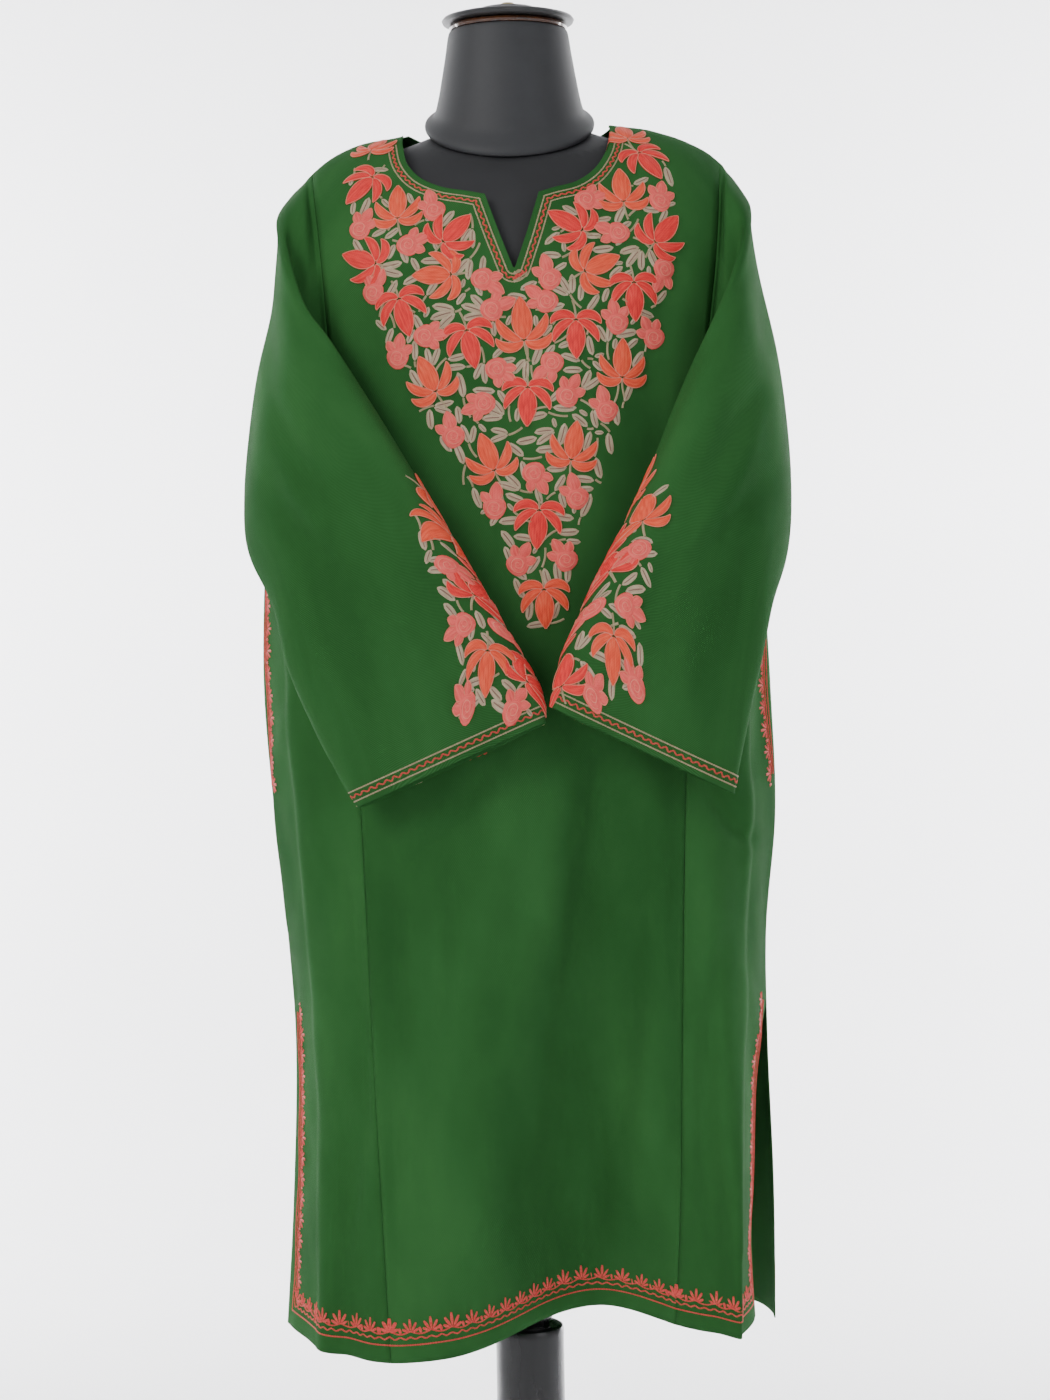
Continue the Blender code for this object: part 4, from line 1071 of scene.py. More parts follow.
@dataclass
class Sleeve:
    """A sleeve, from its armhole to its cuff, flattened and folded forwards.

    Attributes:
        side: -1 for the wearer's right, 1 for the left.
        rings: The rings that it runs through.
        around: Points round it.
        steps: Loops from one ring to the next.
        underarm_rise: How far above the underarm its seam turns the corner.
        reach: Half the share of the underarm over which the seam's course is taken.
        lead_rise: How far the loop beyond the underarm seam rises.
        softness: How softly it comes to lie on the body's front.
        edge: How far from the body's side edge it is left alone.
        free_y: How far forwards it has to be to lie on the front.
    """

    side: int
    rings: tuple[Ring, ...]
    around: int = 96
    steps: int = 13
    underarm_rise: float = 0.006
    reach: float = 0.02
    lead_rise: float = 0.0015
    softness: float = 0.004
    edge: float = 0.004
    free_y: float = -0.06

    def armhole(self) -> tuple[np.ndarray, np.ndarray]:
        """The seam loop and the next loop out: shoulder, back, underarm, front."""
        seam, lead = [], []
        for step in range(self.around):
            turn = 2 * step / self.around
            face = Face.BACK if turn <= 1 else Face.FRONT
            pair = self.pair(turn if turn <= 1 else 2 - turn, face)
            seam.append(pair[0])
            lead.append(pair[1])
        return np.array(seam), np.array(lead)

    def pair(self, fall: float, face: Face) -> tuple[np.ndarray, np.ndarray]:
        """A seam point and the one beyond it, at a share of the way to the underarm."""
        shape, side = BODY_SHAPE, self.side
        near = SEAM_GAP / 2
        if fall < ARMHOLE_CHEST:
            turn = np.array([1 - fall / ARMHOLE_CHEST])
            return tuple(shape.armhole(side, turn, face, out)[0] for out in (near, SLEEVE_LEAD))
        if fall < ARMHOLE_CORNER:
            share = (fall - ARMHOLE_CHEST) / (ARMHOLE_CORNER - ARMHOLE_CHEST)
            z = np.array(CHEST + (UNDERARM + self.underarm_rise - CHEST) * share)
            x = shape.seams[side](z)
            return tuple(
                point(x + side * out, shape.depth(x + side * out, z, face), z)
                for out in (near, SLEEVE_LEAD)
            )
        share = CORNER_START + (1 - CORNER_START) * (fall - ARMHOLE_CORNER) / (1 - ARMHOLE_CORNER)
        shares = np.array([share - self.reach, share, min(share + self.reach, 1.0)])
        around = shape.beside(side, UNDERARM, shares, face)
        run = around[2] - around[0]
        away = np.array([side * abs(run[1]), (-1 if face is Face.FRONT else 1) * abs(run[0]), 0.0])
        seam = around[1] + np.array([0, 0, SEAM_GAP])
        return seam, seam + unit(away) * SLEEVE_LEAD + np.array([0, 0, self.lead_rise])

    def ring(self, row: Ring) -> np.ndarray:
        """The points of one ring, through its four named lines."""
        top, outer, under, inner = (np.array(place) for place in row)
        middle = (top + under) / 2
        angle = 2 * np.pi * np.arange(self.around) / self.around
        bulge = np.where((np.sin(angle) > 0)[:, None], outer - middle, inner - middle)
        lift = np.abs(np.sin(angle)) ** SLEEVE_ROUND
        return middle + (top - middle) * np.cos(angle)[:, None] + bulge * lift[:, None]

    def clear(self, points: np.ndarray) -> np.ndarray:
        """The points moved forwards, where needed, to lie just clear of the body's front."""
        x, y, z = points.T
        limit = BODY_SHAPE.front(x, z) - CLEAR
        excess = y - limit
        pushed = limit + (excess - np.sqrt(excess**2 + self.softness**2)) / 2
        wide = BODY_SHAPE.half_width(x, np.minimum(z, CHEST)) - self.edge
        free = (np.abs(x) > wide) | (y > self.free_y)
        return np.stack([x, np.where(free, y, np.minimum(y, pushed)), z], axis=1)

    def grid(self) -> ClothGrid:
        """The sleeve's points: columns run from the underarm line over the top line and back."""
        seam, lead = self.armhole()
        half = self.around // 2
        main = [lead]
        for index, row in enumerate(self.rings):
            ring = self.ring(row)
            kept = ARMHOLE_KEPT[index] if index < len(ARMHOLE_KEPT) else 0.0
            shift = (ring[0] + ring[half]) / 2 - (lead[0] + lead[half]) / 2
            main.append(ring * (1 - kept) + (lead + shift) * kept)
        rings = [seam, (seam + lead) / 2, lead]
        for index in range(len(main) - 1):
            before = seam if index == 0 else main[index - 1]
            first, second, after = main[index], main[index + 1], main[min(index + 2, len(main) - 1)]
            for step in range(1, self.steps + 1):
                share = step / self.steps
                ring = (
                    first * 2 + (second - before) * share
                    + (before * 2 - first * 5 + second * 4 - after) * share**2
                    + (first * 3 - before - second * 3 + after) * share**3
                ) / 2
                rings.append(self.clear(ring) if index > 2 else ring)
        points = np.roll(np.array(rings), half, axis=1)
        points = np.concatenate([points, points[:, :1]], axis=1)
        clear_of_seam = (2 * self.steps, None)
        name = "pheran_sleeve_" + SIDE_NAMES[self.side]
        grid = ClothGrid(name, points, -self.side, half, round=True, measured=clear_of_seam)
        grid.crease(SLEEVE_CREASES[self.side])
        return grid


FRONT_CREASES = table(
    Crease,
    (0.068, 0.970, 0.010, 0.490, 0.019, 0.0120),
    (0.008, 0.930, -0.036, 0.520, 0.019, -0.0060),
    (0.108, 0.940, 0.078, 0.480, 0.017, -0.0075),
    (0.134, 0.800, 0.142, 0.470, 0.011, 0.0060),
    (-0.104, 0.900, -0.112, 0.480, 0.011, 0.0060),
    (-0.072, 0.880, -0.074, 0.500, 0.012, -0.0040),
    (-0.110, 0.840, -0.020, 0.930, 0.009, 0.0030),
    (-0.050, 0.760, -0.052, 0.480, 0.013, 0.0040),
    (0.044, 0.700, 0.046, 0.480, 0.010, 0.0035),
    (-0.140, 1.370, -0.100, 1.220, 0.014, 0.0030),
    (-0.150, 1.300, -0.090, 1.130, 0.010, -0.0022),
    (0.146, 1.360, 0.108, 1.200, 0.014, 0.0035),
    (0.132, 1.250, 0.100, 1.110, 0.009, -0.0024),
)
GORE_CREASES = table(
    Crease,
    (-0.162, 0.900, -0.166, 0.500, 0.010, 0.0050),
    (-0.188, 1.000, -0.180, 0.740, 0.009, -0.0032),
    (-0.150, 0.700, -0.152, 0.480, 0.007, -0.0026),
    (0.152, 0.930, 0.196, 0.856, 0.007, 0.0060),
    (0.168, 0.800, 0.160, 0.500, 0.010, 0.0052),
    (0.184, 0.760, 0.178, 0.520, 0.007, -0.0030),
    (0.198, 1.040, 0.188, 0.900, 0.009, 0.0034),
)
BACK_CREASES = table(
    Crease,
    (-0.130, 1.020, -0.120, 0.560, 0.020, 0.0060),
    (-0.020, 0.980, -0.030, 0.500, 0.018, 0.0060),
    (0.050, 1.010, 0.058, 0.520, 0.020, 0.0070),
    (0.140, 0.980, 0.152, 0.560, 0.018, 0.0050),
    (-0.110, 1.330, -0.060, 1.160, 0.018, 0.0030),
    (0.120, 1.320, 0.070, 1.150, 0.018, 0.0030),
    (-0.080, 1.120, 0.070, 1.090, 0.014, 0.0022),
)
SLEEVE_CREASES = {
    -1: table(
        Crease,
        (-0.206, 1.250, -0.150, 1.140, 0.010, 0.0050),
        (-0.206, 1.170, -0.130, 1.070, 0.012, 0.0044),
        (-0.196, 1.210, -0.110, 1.090, 0.009, -0.0030),
        (-0.170, 1.120, -0.070, 0.980, 0.011, 0.0030),
        (-0.205, 1.380, -0.196, 1.230, 0.010, 0.0040),
        (-0.184, 1.360, -0.150, 1.220, 0.011, -0.0030),
        (-0.160, 1.050, -0.100, 0.940, 0.010, 0.0026),
        (-0.110, 1.100, -0.090, 0.990, 0.008, -0.0018),
    ),
    1: table(
        Crease,
        (0.214, 1.250, 0.150, 1.150, 0.010, 0.0050),
        (0.216, 1.170, 0.140, 1.080, 0.011, 0.0044),
        (0.200, 1.220, 0.130, 1.100, 0.009, -0.0030),
        (0.184, 1.140, 0.148, 0.980, 0.012, 0.0036),
        (0.204, 1.390, 0.204, 1.240, 0.010, 0.0040),
        (0.184, 1.360, 0.160, 1.230, 0.011, -0.0030),
        (0.130, 1.120, 0.070, 1.020, 0.010, 0.0024),
        (0.160, 1.080, 0.130, 0.980, 0.008, -0.0020),
    ),
}


def socket(
    group: bpy.types.NodeTree, name: str, kind: str, output: bool, default: float | None = None
) -> None:
    """Adds one named socket to a node group."""
    made = group.interface.new_socket(
        name, in_out="OUTPUT" if output else "INPUT", socket_type="NodeSocket" + kind
    )
    if default is not None:
        made.default_value = default


def math_node(
    group: bpy.types.NodeTree, operation: str, *values: object, clamp: bool = False
) -> bpy.types.NodeSocket:
    """A math node on sockets or numbers, and its result."""
    node = group.nodes.new("ShaderNodeMath")
    node.operation, node.use_clamp = operation, clamp
    for index, value in enumerate(values):
        if isinstance(value, bpy.types.NodeSocket):
            group.links.new(value, node.inputs[index])
        else:
            node.inputs[index].default_value = value
    return node.outputs[0]


def sine(
    group: bpy.types.NodeTree, value: bpy.types.NodeSocket, period: object, turn: float
) -> bpy.types.NodeSocket:
    """The sine of a value, which gains one turn over each period."""
    share = math_node(group, "DIVIDE", value, period)
    return math_node(group, "SINE", math_node(group, "MULTIPLY", share, turn))


def noise(
    group: bpy.types.NodeTree, vector: bpy.types.NodeSocket, scale: float, detail: float,
    stretch: tuple[float, float, float] = (1.0, 1.0, 1.0),
) -> bpy.types.NodeSocket:
    """A noise texture's value, stretched along the axes of its coordinates."""
    mapping = group.nodes.new("ShaderNodeMapping")
    mapping.inputs["Scale"].default_value = stretch
    group.links.new(vector, mapping.inputs["Vector"])
    texture = group.nodes.new("ShaderNodeTexNoise")
    texture.inputs["Scale"].default_value = scale
    texture.inputs["Detail"].default_value = detail
    group.links.new(mapping.outputs["Vector"], texture.inputs["Vector"])
    return texture.outputs[0]


def opened_group(
    name: str, inputs: dict[str, float], outputs: Sequence[str]
) -> tuple[bpy.types.NodeTree, bpy.types.ShaderNode, bpy.types.ShaderNode, tuple]:
    """A new shader group that reads a vector.

    Args:
        name: The group's name.
        inputs: Its numbers, with their defaults.
        outputs: The names of its results.

    Returns:
        The group, its two end nodes, and the vector's x and y.
    """
    group = bpy.data.node_groups.new(name, "ShaderNodeTree")
    socket(group, "Vector", "Vector", False)
    for title, default in inputs.items():
        socket(group, title, "Float", False, default)
    for title in outputs:
        socket(group, title, "Float", True)
    start, end = group.nodes.new("NodeGroupInput"), group.nodes.new("NodeGroupOutput")
    split = group.nodes.new("ShaderNodeSeparateXYZ")
    group.links.new(start.outputs["Vector"], split.inputs[0])
    return group, start, end, (split.outputs[0], split.outputs[1])


def twill_group() -> bpy.types.NodeTree:
    """The weave: diagonal ribs crossed by their yarns, with slubs and a worn mottling."""
    slope, waver, yarn_turn, yarn_share = 0.86, 0.0010, math.tau * 1.5, 0.25
    group, start, end, (x, y) = opened_group(
        "Twill weave", {"Pitch": 0.0012}, ("Height", "Rib", "Mottle")
    )
    vector, pitch = start.outputs["Vector"], start.outputs["Pitch"]
    slub = math_node(group, "MULTIPLY", noise(group, vector, 60.0, 2.0), waver)
    run = math_node(group, "ADD", math_node(group, "MULTIPLY_ADD", x, slope, y), slub)
    rib = sine(group, run, pitch, math.tau)
    yarn = sine(group, math_node(group, "MULTIPLY_ADD", y, -slope, x), pitch, yarn_turn)
    group.links.new(math_node(group, "MULTIPLY_ADD", yarn, yarn_share, rib), end.inputs["Height"])
    group.links.new(math_node(group, "MULTIPLY_ADD", rib, 0.5, 0.5), end.inputs["Rib"])
    group.links.new(noise(group, vector, 9.0, 6.0, (1.0, 0.45, 1.0)), end.inputs["Mottle"])
    return group


def stitch_group() -> bpy.types.NodeTree:
    """Rows of stitches: silky streaks along the rows, with the rows' rounded tops, and a mask of painted
    shade in the gaps between them.
    """
    waver, brick, round_row, round_end, shade_power = 0.0005, 0.37, 0.6, 0.35, 3.0
    group, start, end, (x, y) = opened_group(
        "Stitch rows", {"Row": 0.0008, "Stitch": 0.0022}, ("Height", "Streak", "Gap")
    )
    vector = start.outputs["Vector"]
    slub = math_node(group, "MULTIPLY", noise(group, vector, 320.0, 1.0), waver)
    row = math_node(group, "DIVIDE", math_node(group, "ADD", y, slub), start.outputs["Row"])
    bead = math_node(group, "ABSOLUTE", sine(group, row, 1.0, math.pi))
    shift = math_node(group, "MULTIPLY", math_node(group, "FLOOR", row), brick)
    along = math_node(group, "DIVIDE", x, start.outputs["Stitch"])
    along = math_node(group, "ADD", along, shift)
    link = math_node(group, "ABSOLUTE", sine(group, along, 1.0, math.pi))
    bead = math_node(group, "POWER", bead, round_row)
    height = math_node(group, "MULTIPLY", bead, math_node(group, "POWER", link, round_end))
    group.links.new(height, end.inputs["Height"])
    group.links.new(noise(group, vector, 420.0, 3.0, (0.22, 1.6, 1.0)), end.inputs["Streak"])
    # Painted shade: this mask is strongest where the stitches' height falls, in the gaps between them.
    gap = math_node(group, "SUBTRACT", 1.0, height)
    group.links.new(math_node(group, "POWER", gap, shade_power), end.inputs["Gap"])
    return group


def effect(
    tree: bpy.types.NodeTree, group: bpy.types.NodeTree, layer: str
) -> bpy.types.ShaderNode:
    """An effect's group node, which reads a UV map."""
    node = tree.nodes.new("ShaderNodeGroup")
    node.node_tree = group
    uv = tree.nodes.new("ShaderNodeUVMap")
    uv.uv_map = layer
    tree.links.new(uv.outputs["UV"], node.inputs["Vector"])
    return node


def new_material(name: str) -> tuple[bpy.types.Material, bpy.types.ShaderNode]:
    """An empty material with its Principled shader."""
    material = bpy.data.materials.new(name)
    material.use_nodes = True
    return material, material.node_tree.nodes["Principled BSDF"]


def ramp(
    tree: bpy.types.NodeTree, factor: bpy.types.NodeSocket, *stops: tuple[float, tuple]
) -> bpy.types.NodeSocket:
    """A colour ramp through some stops, and its colour."""
    node = tree.nodes.new("ShaderNodeValToRGB")
    elements = node.color_ramp.elements
    while len(elements) < len(stops):
        elements.new(0.5)
    for element, (place, color) in zip(elements, stops):
        element.position, element.color = place, (*color, 1.0)
    tree.links.new(factor, node.inputs["Fac"])
    return node.outputs["Color"]


def bump(
    tree: bpy.types.NodeTree, height: bpy.types.NodeSocket, strength: float, far: float
) -> bpy.types.NodeSocket:
    """A bump node's normal."""
    node = tree.nodes.new("ShaderNodeBump")
    node.inputs["Strength"].default_value = strength
    node.inputs["Distance"].default_value = far
    tree.links.new(height, node.inputs["Height"])
    return node.outputs["Normal"]


@dataclass(frozen=True)
class TwillFinish:
    """Green wool twill, as worn: soft ribs, a slight nap and a faint mottling."""

    dark: tuple[float, float, float] = (0.0155, 0.074, 0.0170)
    middle: tuple[float, float, float] = (0.027, 0.115, 0.029)
    light: tuple[float, float, float] = (0.043, 0.156, 0.042)
    pitch: float = 0.0012

    def material(self) -> bpy.types.Material:
        """The finish as a material that reads the UV map Cloth."""
        material, shader = new_material("Green wool twill")
        tree = material.node_tree
        weave = effect(tree, twill_group(), "Cloth")
        weave.inputs["Pitch"].default_value = self.pitch
        tone = math_node(tree, "MULTIPLY_ADD", weave.outputs["Rib"], 0.34, -0.14)
        tone = math_node(tree, "ADD", tone, weave.outputs["Mottle"], clamp=True)
        color = ramp(tree, tone, (0.26, self.dark), (0.52, self.middle), (0.80, self.light))
        tree.links.new(color, shader.inputs["Base Color"])
        tree.links.new(bump(tree, weave.outputs["Height"], 0.30, 0.00016), shader.inputs["Normal"])
        shader.inputs["Roughness"].default_value = 0.92
        shader.inputs["Specular IOR Level"].default_value = 0.08
        shader.inputs["Sheen Weight"].default_value = 0.02
        shader.inputs["Sheen Roughness"].default_value = 0.45
        shader.inputs["Sheen Tint"].default_value = (0.35, 0.75, 0.35, 1.0)
        return material


@dataclass(frozen=True)
class ThreadFinish:
    """Embroidery thread in one tint, stitched in rows or as a single line of chain stitch."""

    tint: Tint
    rows: bool = True

    def material(self) -> bpy.types.Material:
        """The finish as a material that reads the UV map Stitch, or Object coordinates."""
        name = self.tint.name.capitalize() + (" filling" if self.rows else " chain")
        made = bpy.data.materials.get(name)
        if made:
            return made
        material, shader = new_material(name)
        tree = material.node_tree
        dark, middle, light = self.tint.value
        if self.rows:
            group = bpy.data.node_groups.get("Stitch rows") or stitch_group()
            stitches = effect(tree, group, "Stitch")
            streak = stitches.outputs["Streak"]
            # Painted shade: the thread's colour is darkened in the gaps between stitches; the streaks are
            # random tone.
            tone = math_node(tree, "MULTIPLY_ADD", stitches.outputs["Gap"], -0.42, streak)
            relief = bump(tree, stitches.outputs["Height"], 0.55, 0.00035)
            tree.links.new(relief, shader.inputs["Normal"])
        else:
            coordinates = tree.nodes.new("ShaderNodeTexCoord")
            tone = noise(tree, coordinates.outputs["Object"], 700.0, 2.0)
        color = ramp(tree, tone, (0.12, dark), (0.50, middle), (0.82, light))
        tree.links.new(color, shader.inputs["Base Color"])
        shader.inputs["Roughness"].default_value = 0.58
        shader.inputs["Specular IOR Level"].default_value = 0.30
        shader.inputs["Sheen Weight"].default_value = 0.05
        shader.inputs["Sheen Roughness"].default_value = 0.4
        return material


@dataclass(frozen=True)
class PlainFinish:
    """A plain hard or covered surface, with a faint grain in its colour and gloss."""

    name: str
    dark: tuple[float, float, float]
    light: tuple[float, float, float]
    roughness: float
    grain: float
    relief: float = 0.0
    stretch: tuple[float, float, float] = (1.0, 1.0, 1.0)
    metallic: float = 0.0
    coat: float = 0.0

    def material(self) -> bpy.types.Material:
        """The finish as a material on Object coordinates."""
        material, shader = new_material(self.name)
        tree = material.node_tree
        coordinates = tree.nodes.new("ShaderNodeTexCoord")
        cloud = noise(tree, coordinates.outputs["Object"], self.grain, 5.0, self.stretch)
        color = ramp(tree, cloud, (0.30, self.dark), (0.70, self.light))
        tree.links.new(color, shader.inputs["Base Color"])
        gloss = math_node(tree, "MULTIPLY_ADD", cloud, 0.12, self.roughness - 0.06)
        tree.links.new(gloss, shader.inputs["Roughness"])
        if self.relief:
            fine = noise(tree, coordinates.outputs["Object"], 1400.0, 2.0)
            tree.links.new(bump(tree, fine, 0.3, self.relief), shader.inputs["Normal"])
        shader.inputs["Metallic"].default_value = self.metallic
        shader.inputs["Coat Weight"].default_value = self.coat
        shader.inputs["Coat Roughness"].default_value = 0.08
        return material


FORM_COVER = PlainFinish(
    "Charcoal form", (0.0165, 0.0170, 0.0190), (0.0215, 0.0220, 0.0245), 0.60, 30.0, 0.00005
)
FORM_NECK = PlainFinish(
    "Charcoal neck", (0.0300, 0.0312, 0.0345), (0.0360, 0.0375, 0.0410), 0.62, 40.0, 0.00004
)
CAP_FINISH = PlainFinish("Grey cap", (0.028, 0.028, 0.029), (0.040, 0.040, 0.041), 0.42, 60.0)
RING_WOOD = PlainFinish(
    "Varnished wood", (0.030, 0.010, 0.005), (0.110, 0.040, 0.014), 0.22, 70.0,
    stretch=(1.0, 1.0, 9.0), coat=0.8,
)
KNOB_BRASS = PlainFinish(
    "Brass knob", (0.42, 0.30, 0.10), (0.62, 0.47, 0.18), 0.30, 90.0, metallic=0.9
)
POST_STEEL = PlainFinish(
    "Black post", (0.0045, 0.0045, 0.0050), (0.0085, 0.0085, 0.0092), 0.28, 50.0,
    stretch=(1.0, 1.0, 0.2), coat=0.3,
)


def put(
    mesh: bpy.types.Mesh, name: str, material: bpy.types.Material, slot: str, *nodes: str
) -> bpy.types.Object:
    """A mesh placed as a piece of the model.

    Args:
        mesh: The piece's mesh, in the row frame.
        name: The piece's name.
        material: Its finish.
        slot: A material slot's name; not used.
        nodes: The frame's nodes that it stands for.

    Returns:
        The new object.
    """
    obj = bpy.data.objects.new(name, mesh)
    bpy.context.scene.collection.objects.link(obj)
    mesh.materials.clear()
    mesh.materials.append(material)
    mesh.polygons.foreach_set("material_index", np.zeros(len(mesh.polygons), np.int32))
    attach(obj, ROOT)
    if nodes:
        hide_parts(*nodes)
    LOG.info("%s: %d faces", name, len(mesh.polygons))
    return obj


class NeckRing(NamedTuple):
    """One ring of the neck: its rise from the foot, its share of the tilt and its radius."""

    rise: float
    tilt: float
    radius: float


NECK_RINGS = table(
    NeckRing,
    (0.0000, 1.00, 0.0690),
    (0.0020, 1.00, 0.0715),
    (0.0060, 0.95, 0.0712),
    (0.0130, 0.80, 0.0640),
    (0.0240, 0.60, 0.0605),
    (0.0420, 0.35, 0.0570),
    (0.0620, 0.15, 0.0535),
    (0.0795, 0.00, 0.0505),
    (0.0810, 0.00, 0.0470),
)


class Rim(NamedTuple):
    """One level of a turned solid: its radius and its height above the solid's foot."""

    radius: float
    height: float


RING_PROFILE = table(
    Rim,
    (0.0000, 0.0060),
    (0.0470, 0.0060),
    (0.0492, 0.0048),
    (0.0500, 0.0030),
    (0.0492, 0.0010),
    (0.0470, 0.0000),
    (0.0000, 0.0000),
)
CAP_PROFILE = table(
    Rim,
    (0.0000, 0.0135),
    (0.0240, 0.0130),
    (0.0268, 0.0112),
    (0.0300, 0.0088),
    (0.0480, 0.0068),
    (0.0545, 0.0050),
    (0.0560, 0.0030),
    (0.0550, 0.0008),
    (0.0530, 0.0000),
    (0.0000, 0.0000),
)
KNOB_PROFILE = table(
    Rim,
    (0.0000, 0.0050),
    (0.0050, 0.0042),
    (0.0072, 0.0022),
    (0.0074, 0.0000),
    (0.0000, 0.0000),
)


def closed_mesh(solid: bmesh.types.BMesh, name: str, sharp: float) -> bpy.types.Mesh:
    """A smooth mesh of a closed solid, with its edges sharp beyond an angle in degrees."""
    bmesh.ops.recalc_face_normals(solid, faces=solid.faces)
    mesh = bpy.data.meshes.new(name)
    solid.to_mesh(mesh)
    solid.free()
    mesh.shade_smooth()
    mesh.set_sharp_from_angle(angle=math.radians(sharp))
    return mesh


def turned(name: str, profile: Sequence[Rim], foot: float, steps: int = 96) -> bpy.types.Mesh:
    """A turned solid, with its edges rounded.

    Args:
        name: The mesh's name.
        profile: Its levels, from the top down the outer side.
        foot: The height of the solid's foot.
        steps: How many sides it has.

    Returns:
        The closed mesh.
    """
    fine, longest, sharp = [], 0.004, 38
    for (r0, z0), (r1, z1) in zip(profile, profile[1:]):
        count = max(int(math.hypot(r1 - r0, z1 - z0) / longest), 1)
        fine += [(r0 + (r1 - r0) * k / count, z0 + (z1 - z0) * k / count) for k in range(count)]
    fine.append(profile[-1])
    angles = 2 * np.pi * np.arange(steps) / steps
    solid = bmesh.new()
    rings = []
    for radius, height in fine:
        turns = angles if radius else [0.0]
        level = foot + height
        rings.append(
            [solid.verts.new((radius * math.cos(a), radius * math.sin(a), level)) for a in turns]
        )
    for first, second in zip(rings, rings[1:]):
        for step in range(steps):
            after = (step + 1) % steps
            corners = [ring[at % len(ring)] for ring, at in (
                (first, step), (second, step), (second, after), (first, after)
            )]
            solid.faces.new(list(dict.fromkeys(corners)))
    return closed_mesh(solid, name, sharp)


@dataclass
class DressForm:
    """The limbless form: torso, neck, turned ring, cap and knob."""

    columns: int = 72
    low_rows: int = 40
    high_rows: int = 44
    neck_points: int = 128
    neck_rows: int = 57
    room_end: float = 0.118
    room_fade: float = 0.022
    round_start: float = 0.115
    round_power: int = 5
    sharp: float = 50.0

    def ridge(self, x: np.ndarray) -> np.ndarray:
        """Height of the form's shoulder under the cloth, rounded off at its end."""
        room = NECK_ROOM * np.clip((self.room_end - np.abs(x)) / self.room_fade, 0.0, 1.0)
        cloth = BODY_SHAPE.ridge_z(x) - TORSO_ROOM - room
        beyond = (np.abs(x) - self.round_start) / (TORSO_HALF - self.round_start)
        fall = np.clip(beyond, 0.0, 1.0) ** self.round_power
        return CHEST + (cloth - CHEST) * np.sqrt(np.maximum(1 - fall, 0.0))

    def column(self, angle: float) -> np.ndarray:
        """One column of the torso: up its front, over the shoulder and down its back."""
        power = BODY_ROUND / 2
        across = math.copysign(abs(math.sin(angle)) ** (1 / power), math.sin(angle))
        reach = max(math.cos(angle), 0.0) ** (1 / power)
        x = TORSO_HALF * across
        ridge_y = float(BODY_SHAPE.ridge_y(x))
        top = float(self.ridge(np.array(x)))
        half = Profile.of(TORSO, "height", "half")
        z = np.linspace(TORSO_FOOT, CHEST, self.low_rows + 1)[:-1]
        turn = np.linspace(0, 1, self.high_rows + 1) * np.pi / 2
        out = np.maximum(np.cos(turn), 0.0) ** (2 / SHOULDER_ROUND)
        rise = np.sin(turn) ** (2 / SHOULDER_ROUND)
        sides = []
        for face in Face:
            depth = Profile.of(TORSO, "height", face.value)
            low = point(half(z) * across, depth(z) * reach, z)
            chest_y = float(depth(CHEST)) * reach
            y = ridge_y * (1 - out) + chest_y * out
            high = point(np.full(turn.shape, x), y, CHEST + (top - CHEST) * rise)
            sides.append(np.concatenate([low, high]))
        return np.concatenate([sides[0], sides[1][::-1][1:]])

    def torso(self) -> bpy.types.Mesh:
        """The torso, cut by the neck's tilted plane and closed below."""
        angles = -math.pi / 2 + math.pi * np.linspace(0, 1, self.columns + 1)
        solid = bmesh.new()
        grid = [[solid.verts.new(place) for place in self.column(angle)] for angle in angles]
        for first, second in zip(grid, grid[1:]):
            for row in range(len(first) - 1):
                solid.faces.new((first[row], second[row], second[row + 1], first[row + 1]))
        bmesh.ops.remove_doubles(solid, verts=solid.verts, dist=1e-5)
        bmesh.ops.contextual_create(solid, geom=[edge for edge in solid.edges if edge.is_boundary])
        everything = solid.verts[:] + solid.edges[:] + solid.faces[:]
        cut = bmesh.ops.bisect_plane(
            solid, geom=everything, dist=1e-6, plane_co=(0, 0, NECK_FOOT - STACK_GAP),
            plane_no=(0, -NECK_TILT, 1), clear_outer=True,
        )
        rim = [item for item in cut["geom_cut"] if isinstance(item, bmesh.types.BMEdge)]
        bmesh.ops.contextual_create(solid, geom=rim)
        return closed_mesh(solid, "form_torso_cover", self.sharp)

    def neck(self) -> bpy.types.Mesh:
        """The neck: level at its top and tilted, with a rolled lip, at its foot."""
        levels = spread(NECK_RINGS, self.neck_rows, smooth=True)
        angle = 2 * np.pi * np.arange(self.neck_points) / self.neck_points
        solid = bmesh.new()
        rings = []
        for height, lean, half in levels:
            x, y = half * np.cos(angle), half * np.sin(angle)
            places = point(x, y, NECK_FOOT + height + lean * NECK_TILT * y)
            rings.append([solid.verts.new(place) for place in places])
        for first, second in zip(rings, rings[1:]):
            for step in range(self.neck_points):
                after = (step + 1) % self.neck_points
                solid.faces.new((first[step], first[after], second[after], second[step]))
        solid.faces.new(rings[0][::-1])
        solid.faces.new(rings[-1])
        return closed_mesh(solid, "form_neck_cover", self.sharp)

    def build(self) -> None:
        """Places the form's pieces."""
        put(self.torso(), "form_torso_cover", FORM_COVER.material(), "form", "form_torso")
        put(self.neck(), "form_neck_cover", FORM_NECK.material(), "form", "form_neck")
        foot = NECK_TOP + STACK_GAP
        for name, profile, finish, slot, node in (
            ("ring_turned", RING_PROFILE, RING_WOOD, "wood", "neck_ring"),
            ("cap_turned", CAP_PROFILE, CAP_FINISH, "form", "form_cap"),
            ("knob_turned", KNOB_PROFILE, KNOB_BRASS, "brass", "cap_knob"),
        ):
            put(turned(name, profile, foot), name, finish.material(), slot, node)
            foot += profile[0].height + STACK_GAP


